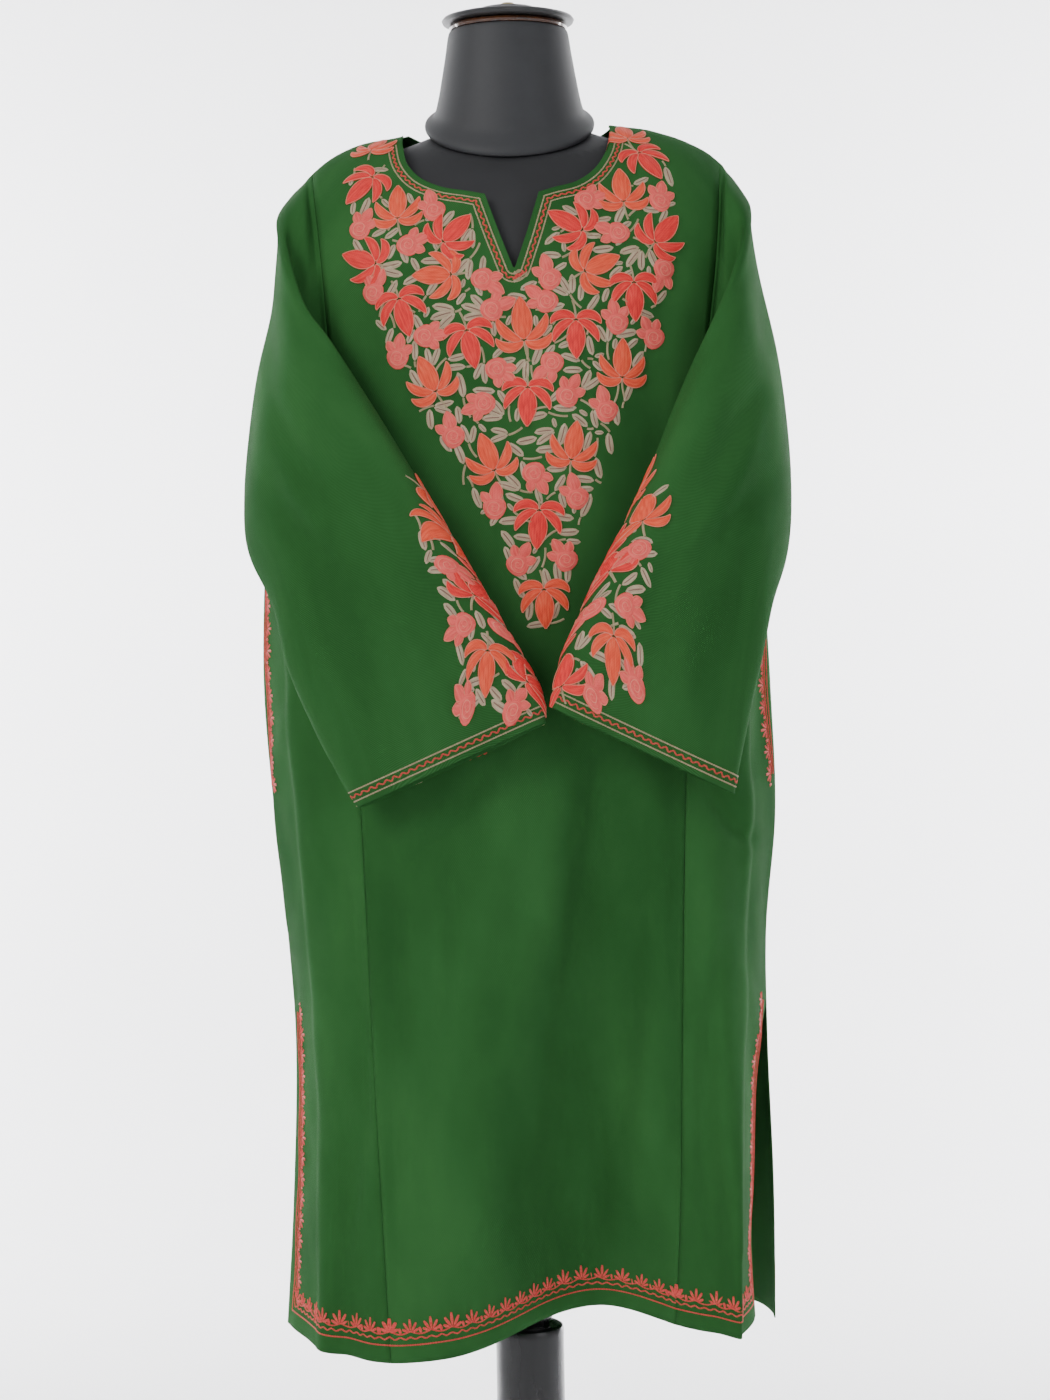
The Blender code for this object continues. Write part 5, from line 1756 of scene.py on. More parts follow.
@dataclass
class Stand:
    """The post under the hem and the round foot."""

    neck_radius: float = 0.0170
    tube_radius: float = 0.0210

    def build(self) -> None:
        """Places the post's two tubes and the foot."""
        steel = POST_STEEL.material()
        foot = POST_TOP + STACK_GAP
        top = TORSO_FOOT - STACK_GAP - foot
        upper = table(
            Rim,
            (0.0, top),
            (self.tube_radius, top),
            (self.tube_radius, 0.0080),
            (self.neck_radius, 0.0020),
            (self.neck_radius, 0.0),
            (0.0, 0.0),
        )
        put(turned("post_tube", upper, foot, 64), "post_tube", steel, "post", "post_upper")
        foot = BASE_HEIGHT + STACK_GAP
        top = POST_TOP - foot
        outer = table(
            Rim,
            (0.0, top),
            (POST_RADIUS - 0.0033, top),
            (POST_RADIUS - 0.0009, top - 0.0012),
            (POST_RADIUS, top - 0.0040),
            (POST_RADIUS, 0.0),
            (0.0, 0.0),
        )
        put(turned("post_sleeve", outer, foot, 72), "post_sleeve", steel, "post", "post_outer")
        base = table(
            Rim,
            (0.0, BASE_HEIGHT),
            (BASE_RADIUS - 0.0100, BASE_HEIGHT - 0.0030),
            (BASE_RADIUS - 0.0030, BASE_HEIGHT - 0.0060),
            (BASE_RADIUS, 0.0080),
            (BASE_RADIUS, 0.0015),
            (BASE_RADIUS - 0.0015, 0.0),
            (0.0, 0.0),
        )
        put(turned("foot_disc", base, 0.0, 160), "foot_disc", steel, "post", "stand_base")


class Lamp(NamedTuple):
    """A soft square light: its place, side, power and colour, and where it faces."""

    name: str
    place: tuple
    size: float
    watts: float
    tint: tuple
    aim: tuple = (0.0, 0.0, 1.0)


WHITE = (1.0, 1.0, 1.0)
LAMPS = table(
    Lamp,
    ("Key", (-2.2, -2.3, 2.9), 1.5, 62.0, (1.0, 0.985, 0.965)),
    ("Fill", (2.3, -2.4, 1.7), 2.4, 19.0, (0.965, 0.98, 1.0)),
    ("Rim", (1.6, 1.8, 2.6), 1.6, 16.0, WHITE),
    ("Rim left", (-1.8, 1.6, 2.2), 1.6, 10.0, WHITE),
    ("Wall -1", (-2.2, 1.5, 1.5), 1.5, 230.0, WHITE, (-0.6, 3.4, 1.2)),
    ("Wall 1", (2.2, 1.5, 1.5), 1.5, 230.0, WHITE, (0.6, 3.4, 1.2)),
)


@dataclass
class Studio:
    """The pale sweep, the soft lights and the camera at the photograph's angle."""

    distance: float = 2.4
    height: float = 1.10
    side: float = 0.0049
    aim: float = 0.978
    roll: float = math.radians(0.96)
    lens: float = 72.105
    floor_front: float = -6.0
    floor_back: float = 2.2
    bend: float = 1.2
    wall_top: float = 6.5
    half_width: float = 7.0

    def sweep(self) -> None:
        """A floor that curves up into a wall."""
        start, bend = self.floor_back, self.bend
        angles = np.linspace(0, math.pi / 2, 25)[1:]
        profile = [(self.floor_front, 0.0), (start, 0.0)]
        profile += [(start + bend * math.sin(a), bend - bend * math.cos(a)) for a in angles]
        profile.append((start + bend, self.wall_top))
        points = [(x, y, z) for x in (-self.half_width, self.half_width) for y, z in profile]
        count = len(profile)
        faces = [(i, count + i, count + i + 1, i + 1) for i in range(count - 1)]
        mesh = bpy.data.meshes.new("studio_sweep")
        mesh.from_pydata(points, [], faces)
        mesh.shade_smooth()
        obj = bpy.data.objects.new("studio_sweep", mesh)
        bpy.context.scene.collection.objects.link(obj)
        backdrop = PlainFinish("Pale sweep", (0.86, 0.86, 0.88), (0.90, 0.90, 0.92), 0.8, 1.5)
        mesh.materials.append(backdrop.material())

    def light(self, lamp: Lamp) -> None:
        """Places one light."""
        data = bpy.data.lights.new(lamp.name, "AREA")
        data.shape, data.size, data.energy, data.color = "SQUARE", lamp.size, lamp.watts, lamp.tint
        obj = bpy.data.objects.new(lamp.name, data)
        obj.location = lamp.place
        away = Vector(lamp.aim) - Vector(lamp.place)
        obj.rotation_euler = away.to_track_quat("-Z", "Y").to_euler()
        bpy.context.scene.collection.objects.link(obj)

    def camera(self) -> None:
        """The camera, from its measured place, aim and roll."""
        pitch = math.atan((self.height - self.aim) / self.distance)
        ahead = Vector((0.0, math.cos(pitch), -math.sin(pitch)))
        level, up = Vector((1.0, 0.0, 0.0)), Vector((0.0, math.sin(pitch), math.cos(pitch)))
        right = level * math.cos(self.roll) - up * math.sin(self.roll)
        top = level * math.sin(self.roll) + up * math.cos(self.roll)
        data = bpy.data.cameras.new("Camera")
        data.lens, data.sensor_width, data.sensor_fit = self.lens, 36.0, "AUTO"
        data.clip_start, data.clip_end = 0.05, 60.0
        obj = bpy.data.objects.new("Camera", data)
        turn = Matrix((right, top, -ahead)).transposed().to_4x4()
        obj.matrix_world = Matrix.Translation((self.side, -self.distance, self.height)) @ turn
        bpy.context.scene.collection.objects.link(obj)
        bpy.context.scene.camera = obj

    def build(self) -> None:
        """Sets up the whole studio."""
        self.sweep()
        for lamp in LAMPS:
            self.light(lamp)
        world = bpy.data.worlds.new("Studio")
        world.use_nodes = True
        sky = world.node_tree.nodes["Background"]
        sky.inputs["Color"].default_value = (0.93, 0.94, 0.97, 1.0)
        sky.inputs["Strength"].default_value = 0.56
        bpy.context.scene.world = world
        self.camera()


class Stitching:
    """A mesh in the making: threads of one tint, laid on one piece of cloth."""

    def __init__(self) -> None:
        self.points: list[np.ndarray] = []
        self.faces: list[np.ndarray] = []
        self.uvs: list[np.ndarray] = []
        self.count = 0

    def add(self, points: np.ndarray, faces: np.ndarray, uv: np.ndarray) -> None:
        """Adds a patch: points in space, corners of its quads and stitch coordinates in metres."""
        self.points.append(points)
        self.faces.append(faces + self.count)
        self.uvs.append(uv)
        self.count += len(points)

    def mesh(self, name: str) -> bpy.types.Mesh:
        """All patches as one mesh with the UV map Stitch."""
        points, faces = np.concatenate(self.points), np.concatenate(self.faces)
        mesh = bpy.data.meshes.new(name)
        mesh.from_pydata(points.tolist(), [], faces.tolist())
        layer = mesh.uv_layers.new(name="Stitch")
        uv = np.concatenate(self.uvs)[faces.reshape(-1)]
        layer.data.foreach_set("uv", uv.reshape(-1).astype(np.float32))
        mesh.shade_smooth()
        return mesh


class Turning(NamedTuple):
    """A flat place with a heading, in degrees from the drawing's right."""

    x: float
    y: float
    heading: float

    def ahead(self, far: float, turn: float = 0.0) -> "Turning":
        """The place a distance ahead, with the heading turned."""
        angle = math.radians(self.heading)
        return Turning(
            self.x + far * math.cos(angle), self.y + far * math.sin(angle), self.heading + turn
        )

    def turned(self, turn: float) -> "Turning":
        """The same place with its heading turned."""
        return Turning(self.x, self.y, self.heading + turn)

    def arc(self, length: float, bend: float, count: int) -> np.ndarray:
        """A line that leaves this place along its heading and bends evenly.

        Args:
            length: Its length.
            bend: How far it turns over its length, in degrees.
            count: How many points it has.

        Returns:
            The points, as count by 2.
        """
        share = (np.arange(count - 1) + 0.5) / (count - 1)
        heading = np.radians(self.heading + bend * share)
        steps = np.stack([np.cos(heading), np.sin(heading)], axis=1) * length / (count - 1)
        start = np.array([[self.x, self.y]])
        return np.concatenate([start, start + np.cumsum(steps, axis=0)])


class Blade(NamedTuple):
    """A filled shape of stitches: its middle line, the half widths along it and its thread."""

    line: np.ndarray
    half: np.ndarray
    tint: Tint
    rim: Tint | None = None
    heart: Tint | None = None

    def square(self) -> np.ndarray:
        """The flat directions square to the line, on its left."""
        along = np.gradient(self.line, axis=0)
        along /= np.maximum(np.linalg.norm(along, axis=1, keepdims=True), 1e-12)
        return np.stack([-along[:, 1], along[:, 0]], axis=1)


class Petal(NamedTuple):
    """One petal of a chinar leaf, in shares of the middle petal's length and in degrees."""

    turn: float
    away: float
    length: float
    half: float
    bend: float
    fullness: float


LEAF_PETALS = table(
    Petal,
    (138.0, 0.03, 0.78, 0.125, -118.0, 0.52),
    (-138.0, 0.03, 0.78, 0.125, 118.0, 0.52),
    (78.0, 0.06, 0.82, 0.130, -70.0, 0.50),
    (-78.0, 0.06, 0.82, 0.130, 70.0, 0.50),
    (0.0, 0.02, 1.00, 0.255, 0.0, 0.44),
)
BUD_LOBES = (
    table(
        Petal,
        (-54.0, 0.34, 0.80, 0.34, 16.0, 0.46),
        (52.0, 0.34, 0.86, 0.34, -16.0, 0.46),
        (2.0, 0.30, 1.16, 0.40, 0.0, 0.44),
    ),
    table(
        Petal,
        (48.0, 0.34, 0.90, 0.34, -14.0, 0.46),
        (-10.0, 0.26, 1.30, 0.46, 10.0, 0.42),
    ),
)


@dataclass(frozen=True)
class Drawing:
    """The motifs as flat shapes, each drawn from its own middle.

    Attributes:
        petal_points: Points along a petal.
        foot_power: How round a petal is towards its foot; smaller is rounder.
        tip_power: The same towards its tip.
        least_width: A petal's width at its ends, as a share of its widest.
        leaflet_points: Points along a leaflet.
        leaflet_bend: How far a leaflet turns over its length, in degrees.
        stem_half: Half the width of a stem.
    """

    petal_points: int = 13
    foot_power: float = 0.50
    tip_power: float = 0.74
    least_width: float = 0.06
    leaflet_points: int = 8
    leaflet_bend: float = 14.0
    stem_half: float = 0.0009

    def petal(self, place: Turning, petal: Petal, length: float, tint: Tint, rim: Tint | None) -> Blade:
        """A teardrop or horn, widest at a share of its length and pointed at its tip."""
        line = place.arc(length * petal.length, petal.bend, self.petal_points)
        at = np.linspace(0, 1, self.petal_points)
        early, left = at < petal.fullness, 1 - petal.fullness
        warp = np.where(early, at / petal.fullness / 2, 0.5 + (at - petal.fullness) / left / 2)
        half = length * petal.half
        width = half * np.sin(np.pi * warp) ** np.where(early, self.foot_power, self.tip_power)
        return Blade(line, np.maximum(width, half * self.least_width), tint, rim)

    def leaf(self, middle: Turning, size: float, tint: Tint, rim: Tint) -> list[Blade]:
        """A chinar leaf: a long middle petal between two pairs of horn-shaped ones."""
        joint, length = middle.ahead(-0.22 * size), size * 0.69
        feet = [joint.turned(petal.turn).ahead(length * petal.away) for petal in LEAF_PETALS]
        return [
            self.petal(foot, petal, length, tint, rim) for foot, petal in zip(feet, LEAF_PETALS)
        ]

    def lobes(self, middle: Turning, size: float) -> list[Blade]:
        """The rounded lobes on one side of a bud."""
        lobes = BUD_LOBES[int(abs(middle.heading) // 10) % len(BUD_LOBES)]
        feet = [middle.turned(lobe.turn).ahead(size * lobe.away) for lobe in lobes]
        return [
            self.petal(foot, lobe, size, Tint.PINK, Tint.PEACH) for foot, lobe in zip(feet, lobes)
        ]

    def leaflet(self, place: Turning, length: float, half: float) -> Blade:
        """A small leaf of a sprig, rounded at both ends: taupe, with a mauve heart."""
        line = place.arc(length, self.leaflet_bend, self.leaflet_points)
        at = np.linspace(0, 1, self.leaflet_points)
        width = half * np.sqrt(np.maximum(1 - np.abs(2 * at - 1) ** 2.6, 0.02))
        return Blade(line, width, Tint.TAUPE, None, Tint.MAUVE)

    def stem(self, line: np.ndarray) -> Blade:
        """A thin line of chain stitch."""
        return Blade(line, np.full(len(line), self.stem_half), Tint.KHAKI)


UV_SPREAD = 7.3


@dataclass
class Needle:
    """Stitches shapes on the pieces of cloth, one mesh for each tint and piece.

    Attributes:
        base: How far a thread's foot stands off the cloth.
        over: How far leaves and buds stand above the sprigs that run under them.
        leaflet_crown: How far the middle of a leaflet rises.
        crown: How far the middle of a filled shape rises above its foot.
        outline: Half the width of an outline.
        outline_crown: How far an outline rises above its foot.
        outline_foot: How far an outline's foot stands above its shape's.
        heart_crown: How far a leaflet's heart rises above its foot.
        heart_foot: How far the foot of a leaflet's heart stands off the cloth.
        bud_dome: The radius of a bud's dome, as a share of the bud's size.
        bud_height: How far that dome rises.
        spiral_points: Points along the spiral on a bud.
    """

    base: float = 0.00012
    over: float = 0.00060
    leaflet_crown: float = 0.00055
    crown: float = 0.00085
    outline: float = 0.00030
    outline_crown: float = 0.00040
    outline_foot: float = 0.00022
    heart_crown: float = 0.00022
    heart_foot: float = 0.00046
    bud_dome: float = 0.76
    bud_height: float = 0.0012
    spiral_points: int = 26
    works: dict[tuple[str, Tint], Stitching] = field(default_factory=dict)
    drawing: Drawing = field(default_factory=Drawing)

    def work(self, grid: ClothGrid, tint: Tint) -> Stitching:
        """The mesh in the making for one piece and tint."""
        return self.works.setdefault((grid.name, tint), Stitching())

    def fill(
        self, grid: ClothGrid, spot: Spot, blade: Blade, across: int, crown: float,
        foot: float | np.ndarray,
    ) -> None:
        """Stitches one shape, domed across its width.

        Args:
            grid: The cloth.
            spot: The drawing's origin on it.
            blade: The shape.
            across: Points across the shape.
            crown: How high its middle rises.
            foot: Extra height, of all of it or along it, where it lies on others.
        """
        foot = np.broadcast_to(foot, len(blade.line))[:, None]
        line, half, square = blade.line, blade.half, blade.square()
        share = np.linspace(-1, 1, across)
        flat = line[:, None] + square[:, None] * (half[:, None] * share)[..., None]
        dome = 1 - np.abs(share) ** 2.4
        fade = np.minimum(half / max(half.max(), 1e-9) * 1.6, 1.0)
        lift = self.base + foot + crown * fade[:, None] * dome
        lift[:, (0, -1)] = self.base * 0.4 + foot * (0.5 if blade.tint is not Tint.PEACH else 1.0)
        run = np.concatenate([[0.0], np.cumsum(np.linalg.norm(np.diff(line, axis=0), axis=1))])
        uv = np.stack([np.repeat(run[:, None], across, axis=1), half[:, None] * share], axis=2)
        points = grid.lay(spot, flat.reshape(-1, 2), lift.reshape(-1))
        uv = uv.reshape(-1, 2) + line[0] * UV_SPREAD
        self.work(grid, blade.tint).add(points, quads(len(line), across), uv)

    def stitch(self, grid: ClothGrid, spot: Spot, blades: Iterable[Blade], foot: float = 0.0) -> None:
        """Stitches some shapes with their outlines and hearts."""
        for blade in blades:
            crown = self.crown if blade.heart is None else self.leaflet_crown
            self.fill(grid, spot, blade, 3 if blade.half.max() < 0.0012 else 5, crown, foot)
            if blade.rim is not None:
                for side in (-1, 1):
                    edge = blade.line + blade.square() * (blade.half * side * 0.94)[:, None]
                    rim = Blade(edge, np.full(len(edge), self.outline), blade.rim)
                    rim_foot = foot + self.outline_foot
                    self.fill(grid, spot, rim, 3, self.outline_crown, rim_foot)
            if blade.heart is not None:
                heart = Blade(blade.line[1:-1], blade.half[1:-1] * 0.50, blade.heart)
                self.fill(grid, spot, heart, 3, self.heart_crown, self.heart_foot)

    def dome(
        self, grid: ClothGrid, spot: Spot, tint: Tint, middle: Turning, radius: float,
        height: float, foot: float,
    ) -> None:
        """A round dome of stitches laid in a spiral."""
        rings, around = 5, 18
        share = np.linspace(0.01, 1, rings)[:, None]
        angle = 2 * np.pi * np.arange(around + 1) / around
        reach = radius * share * (1 + 0.05 * np.sin(3 * angle + middle.x * 900))
        x, y = middle.x + reach * np.cos(angle), middle.y + reach * np.sin(angle)
        level = np.ones((rings, around + 1))
        lift = (self.base + foot + height * np.sqrt(np.maximum(1 - share**2, 0))) * level
        lift[-1] = self.base * 0.4 + foot * 0.5
        uv = np.stack([angle * radius * level, radius * share * level], axis=2)
        points = grid.lay(spot, np.stack([x, y], axis=2).reshape(-1, 2), lift.reshape(-1))
        self.work(grid, tint).add(points, quads(rings, around + 1), uv.reshape(-1, 2))

    def leaf(self, grid: ClothGrid, spot: Spot, heading: float, size: float, tint: Tint) -> None:
        """Stitches a chinar leaf with its stem."""
        middle = Turning(0.0, 0.0, heading)
        joint = middle.ahead(-0.24 * size, 180.0)
        self.stitch(grid, spot, [self.drawing.stem(joint.arc(size * 0.34, 18.0, 6))])
        self.stitch(grid, spot, self.drawing.leaf(middle, size, tint, Tint.PEACH), self.over)

    def bud(self, grid: ClothGrid, spot: Spot, heading: float, size: float) -> None:
        """Stitches a bud: a round dome of thread with rounded lobes on one side."""
        middle = Turning(0.0, 0.0, heading)
        self.stitch(grid, spot, self.drawing.lobes(middle, size), self.over)
        centre, foot = middle.ahead(-0.14 * size), self.over + 0.0003
        radius = size * self.bud_dome
        self.dome(grid, spot, Tint.PINK, centre, radius, self.bud_height, foot)
        count = self.spiral_points
        share, turn = np.linspace(0.12, 0.74, count), np.linspace(0, 3.4 * np.pi, count)
        turn, reach = turn + math.radians(heading), radius * share
        line = np.stack([centre.x + reach * np.cos(turn), centre.y + reach * np.sin(turn)], axis=1)
        rise = foot + self.bud_height * np.sqrt(1 - share**2)
        spiral = Blade(line, np.full(count, self.outline), Tint.PEACH)
        self.fill(grid, spot, spiral, 3, self.heart_crown, rise)

    def finish(self) -> dict[str, list[bpy.types.Object]]:
        """Places every mesh of stitches.

        Returns:
            The pieces of stitching that lie on each piece of cloth, by its name.
        """
        made: dict[str, list[bpy.types.Object]] = {}
        for (name, tint), stitching in self.works.items():
            title = name.replace("pheran_", "stitches_") + "_" + tint.name.lower()
            obj = put(stitching.mesh(title), title, ThreadFinish(tint).material(), "cloth")
            made.setdefault(name, []).append(obj)
        return made


class Motif(NamedTuple):
    """A motif on the front view: its middle, the way it points and its thread."""

    x: float
    z: float
    heading: float
    tint: Tint = Tint.RED
    size: float = 0.045


FRONT_LEAVES = table(
    Motif,
    (-0.112, 1.444, 70, Tint.ORANGE, 0.042),
    (0.096, 1.450, 100, Tint.ORANGE, 0.042),
    (-0.120, 1.407, 225),
    (-0.092, 1.386, 90, Tint.ORANGE),
    (-0.048, 1.363, 45),
    (-0.119, 1.343, 160),
    (-0.059, 1.329, 180, Tint.ORANGE),
    (-0.089, 1.301, 285),
    (-0.035, 1.274, 282),
    (0.008, 1.286, 95, Tint.ORANGE, 0.050),
    (0.051, 1.281, 270),
    (0.049, 1.369, 150),
    (0.091, 1.397, 95, Tint.ORANGE),
    (0.112, 1.424, 305),
    (0.123, 1.361, 50),
    (0.068, 1.334, 25, Tint.ORANGE),
    (0.099, 1.311, 272),
    (-0.067, 1.244, 115, Tint.ORANGE),
    (0.088, 1.254, 88, Tint.ORANGE),
    (0.011, 1.227, 268),
    (-0.020, 1.180, 110, Tint.ORANGE),
    (0.047, 1.188, 80, Tint.ORANGE),
    (0.018, 1.128, 265),
    (0.022, 1.064, 272, Tint.ORANGE),
)
FRONT_BUDS = table(
    Motif,
    (-0.122, 1.371, 60),
    (-0.082, 1.355, 20),
    (-0.063, 1.384, 110),
    (-0.022, 1.324, -30),
    (-0.112, 1.318, 70),
    (-0.069, 1.280, 0),
    (-0.093, 1.265, 80),
    (-0.015, 1.301, 30),
    (0.026, 1.307, 150),
    (0.030, 1.326, 110),
    (0.063, 1.390, 20),
    (0.122, 1.390, 80),
    (0.085, 1.362, 170),
    (0.123, 1.330, 250),
    (0.084, 1.290, 100),
    (0.113, 1.278, 120),
    (-0.012, 1.251, -40),
    (0.030, 1.255, 230),
    (0.044, 1.231, 60),
    (-0.026, 1.224, 200),
    (0.074, 1.219, 110),
    (-0.050, 1.200, 110),
    (0.016, 1.166, -60),
    (-0.017, 1.142, 90),
    (0.049, 1.149, 110),
    (0.002, 1.096, 60),
    (0.039, 1.099, 120),
)
SLEEVE_LEAVES = {
    -1: table(
        Motif,
        (-0.060, 1.122, 250, Tint.ORANGE),
        (-0.030, 1.073, 95),
        (-0.025, 1.016, 265, Tint.ORANGE),
        (0.015, 0.997, 80),
    ),
    1: table(
        Motif,
        (0.101, 1.134, 75, Tint.ORANGE),
        (0.072, 1.091, 70),
        (0.075, 1.025, 268, Tint.ORANGE),
        (0.035, 1.006, 75),
    ),
}
SLEEVE_BUDS = {
    -1: table(
        Motif,
        (-0.053, 1.094, -20),
        (-0.044, 1.047, 200),
        (-0.010, 1.040, 30),
        (-0.042, 0.984, 120),
        (-0.004, 0.981, 60),
    ),
    1: table(
        Motif,
        (0.095, 1.104, 200),
        (0.087, 1.060, -20),
        (0.057, 1.057, 160),
        (0.059, 0.991, 60),
        (0.092, 0.999, 120),
    ),
}


class Reach(NamedTuple):
    """How far a field of embroidery reaches to both sides at one height."""

    height: float
    left: float
    right: float


YOKE = table(
    Reach,
    (1.040, 0.008, 0.034),
    (1.100, -0.010, 0.048),
    (1.150, -0.036, 0.066),
    (1.233, -0.084, 0.098),
    (1.320, -0.122, 0.128),
    (1.425, -0.136, 0.138),
)
SLEEVE_FIELDS = {
    -1: table(
        Reach,
        (0.975, -0.052, 0.014),
        (1.010, -0.050, 0.012),
        (1.070, -0.062, -0.020),
        (1.135, -0.086, -0.060),
    ),
    1: table(
        Reach,
        (0.990, 0.040, 0.100),
        (1.040, 0.044, 0.098),
        (1.090, 0.072, 0.108),
        (1.145, 0.100, 0.118),
    ),
}


class Spray(NamedTuple):
    """One round of filling gaps with sprigs: tries, leaflets a sprig and their size."""

    tries: int
    leaflets: int
    length: float
    half: float


SPRAYS = table(
    Spray,
    (2600, 3, 0.0185, 0.0030),
    (3000, 3, 0.0150, 0.0027),
    (3400, 2, 0.0135, 0.0026),
    (4200, 1, 0.0125, 0.0025),
    (4200, 1, 0.0085, 0.0020),
)


class Layout:
    """A flat drawing on the front view that remembers which places are stitched."""

    def __init__(self, field_rows: tuple[Reach, ...], cell: float = 0.0006) -> None:
        self.left = Profile.of(field_rows, "height", "left")
        self.right = Profile.of(field_rows, "height", "right")
        self.low, self.high = field_rows[0].height, field_rows[-1].height
        self.cell = cell
        self.origin = np.array((-0.200, self.low - 0.060))
        shape = (0.400 / cell, (self.high - self.low + 0.120) / cell)
        self.taken = np.zeros([int(size) for size in shape], bool)
        self.closed = self.taken.copy()

    def cells(self, points: np.ndarray) -> tuple[np.ndarray, np.ndarray]:
        """The cells in which some points lie."""
        index = ((points.reshape(-1, 2) - self.origin) / self.cell).astype(int)
        return tuple(np.clip(index[:, axis], 0, self.taken.shape[axis] - 1) for axis in (0, 1))

    def cover(self, blade: Blade, middle: np.ndarray, room: float) -> np.ndarray:
        """Points all over a shape, with some room round it."""
        steps = max(int((blade.half.max() + room) * 2 / self.cell), 2)
        rows = np.column_stack([blade.line, blade.half, blade.square()])
        fine = spread(rows, len(rows) * 3)
        offset = (fine[:, 2:3] + room) * np.linspace(-1, 1, steps)
        return middle + fine[:, None, :2] + fine[:, None, 3:] * offset[..., None]

    def take(self, places: np.ndarray, blades: Iterable[Blade], middle: np.ndarray) -> None:
        """Marks the places of some shapes as stitched."""
        for blade in blades:
            places[self.cells(self.cover(blade, middle, self.cell))] = True

    def take_round(self, places: np.ndarray, middle: np.ndarray, radius: float) -> None:
        """Marks a disc as stitched."""
        ring = np.linspace(0, 2 * np.pi, 40)
        reach = np.arange(0, radius, self.cell * 0.8)[:, None]
        points = middle + np.stack([reach * np.cos(ring), reach * np.sin(ring)], axis=-1)
        places[self.cells(points)] = True

    def free(self, blade: Blade, middle: np.ndarray, room: float, under: float) -> bool:
        """Whether a shape fits, clear of closed places and no more than a share under motifs."""
        points = self.cover(blade, middle, room)
        x, z = points[..., 0], points[..., 1]
        inside = (x > self.left(z)) & (x < self.right(z)) & (z > self.low) & (z < self.high)
        cells = self.cells(points)
        hidden = self.taken[cells].mean()
        return bool(inside.mean() > 0.85 and hidden <= under and not self.closed[cells].any())


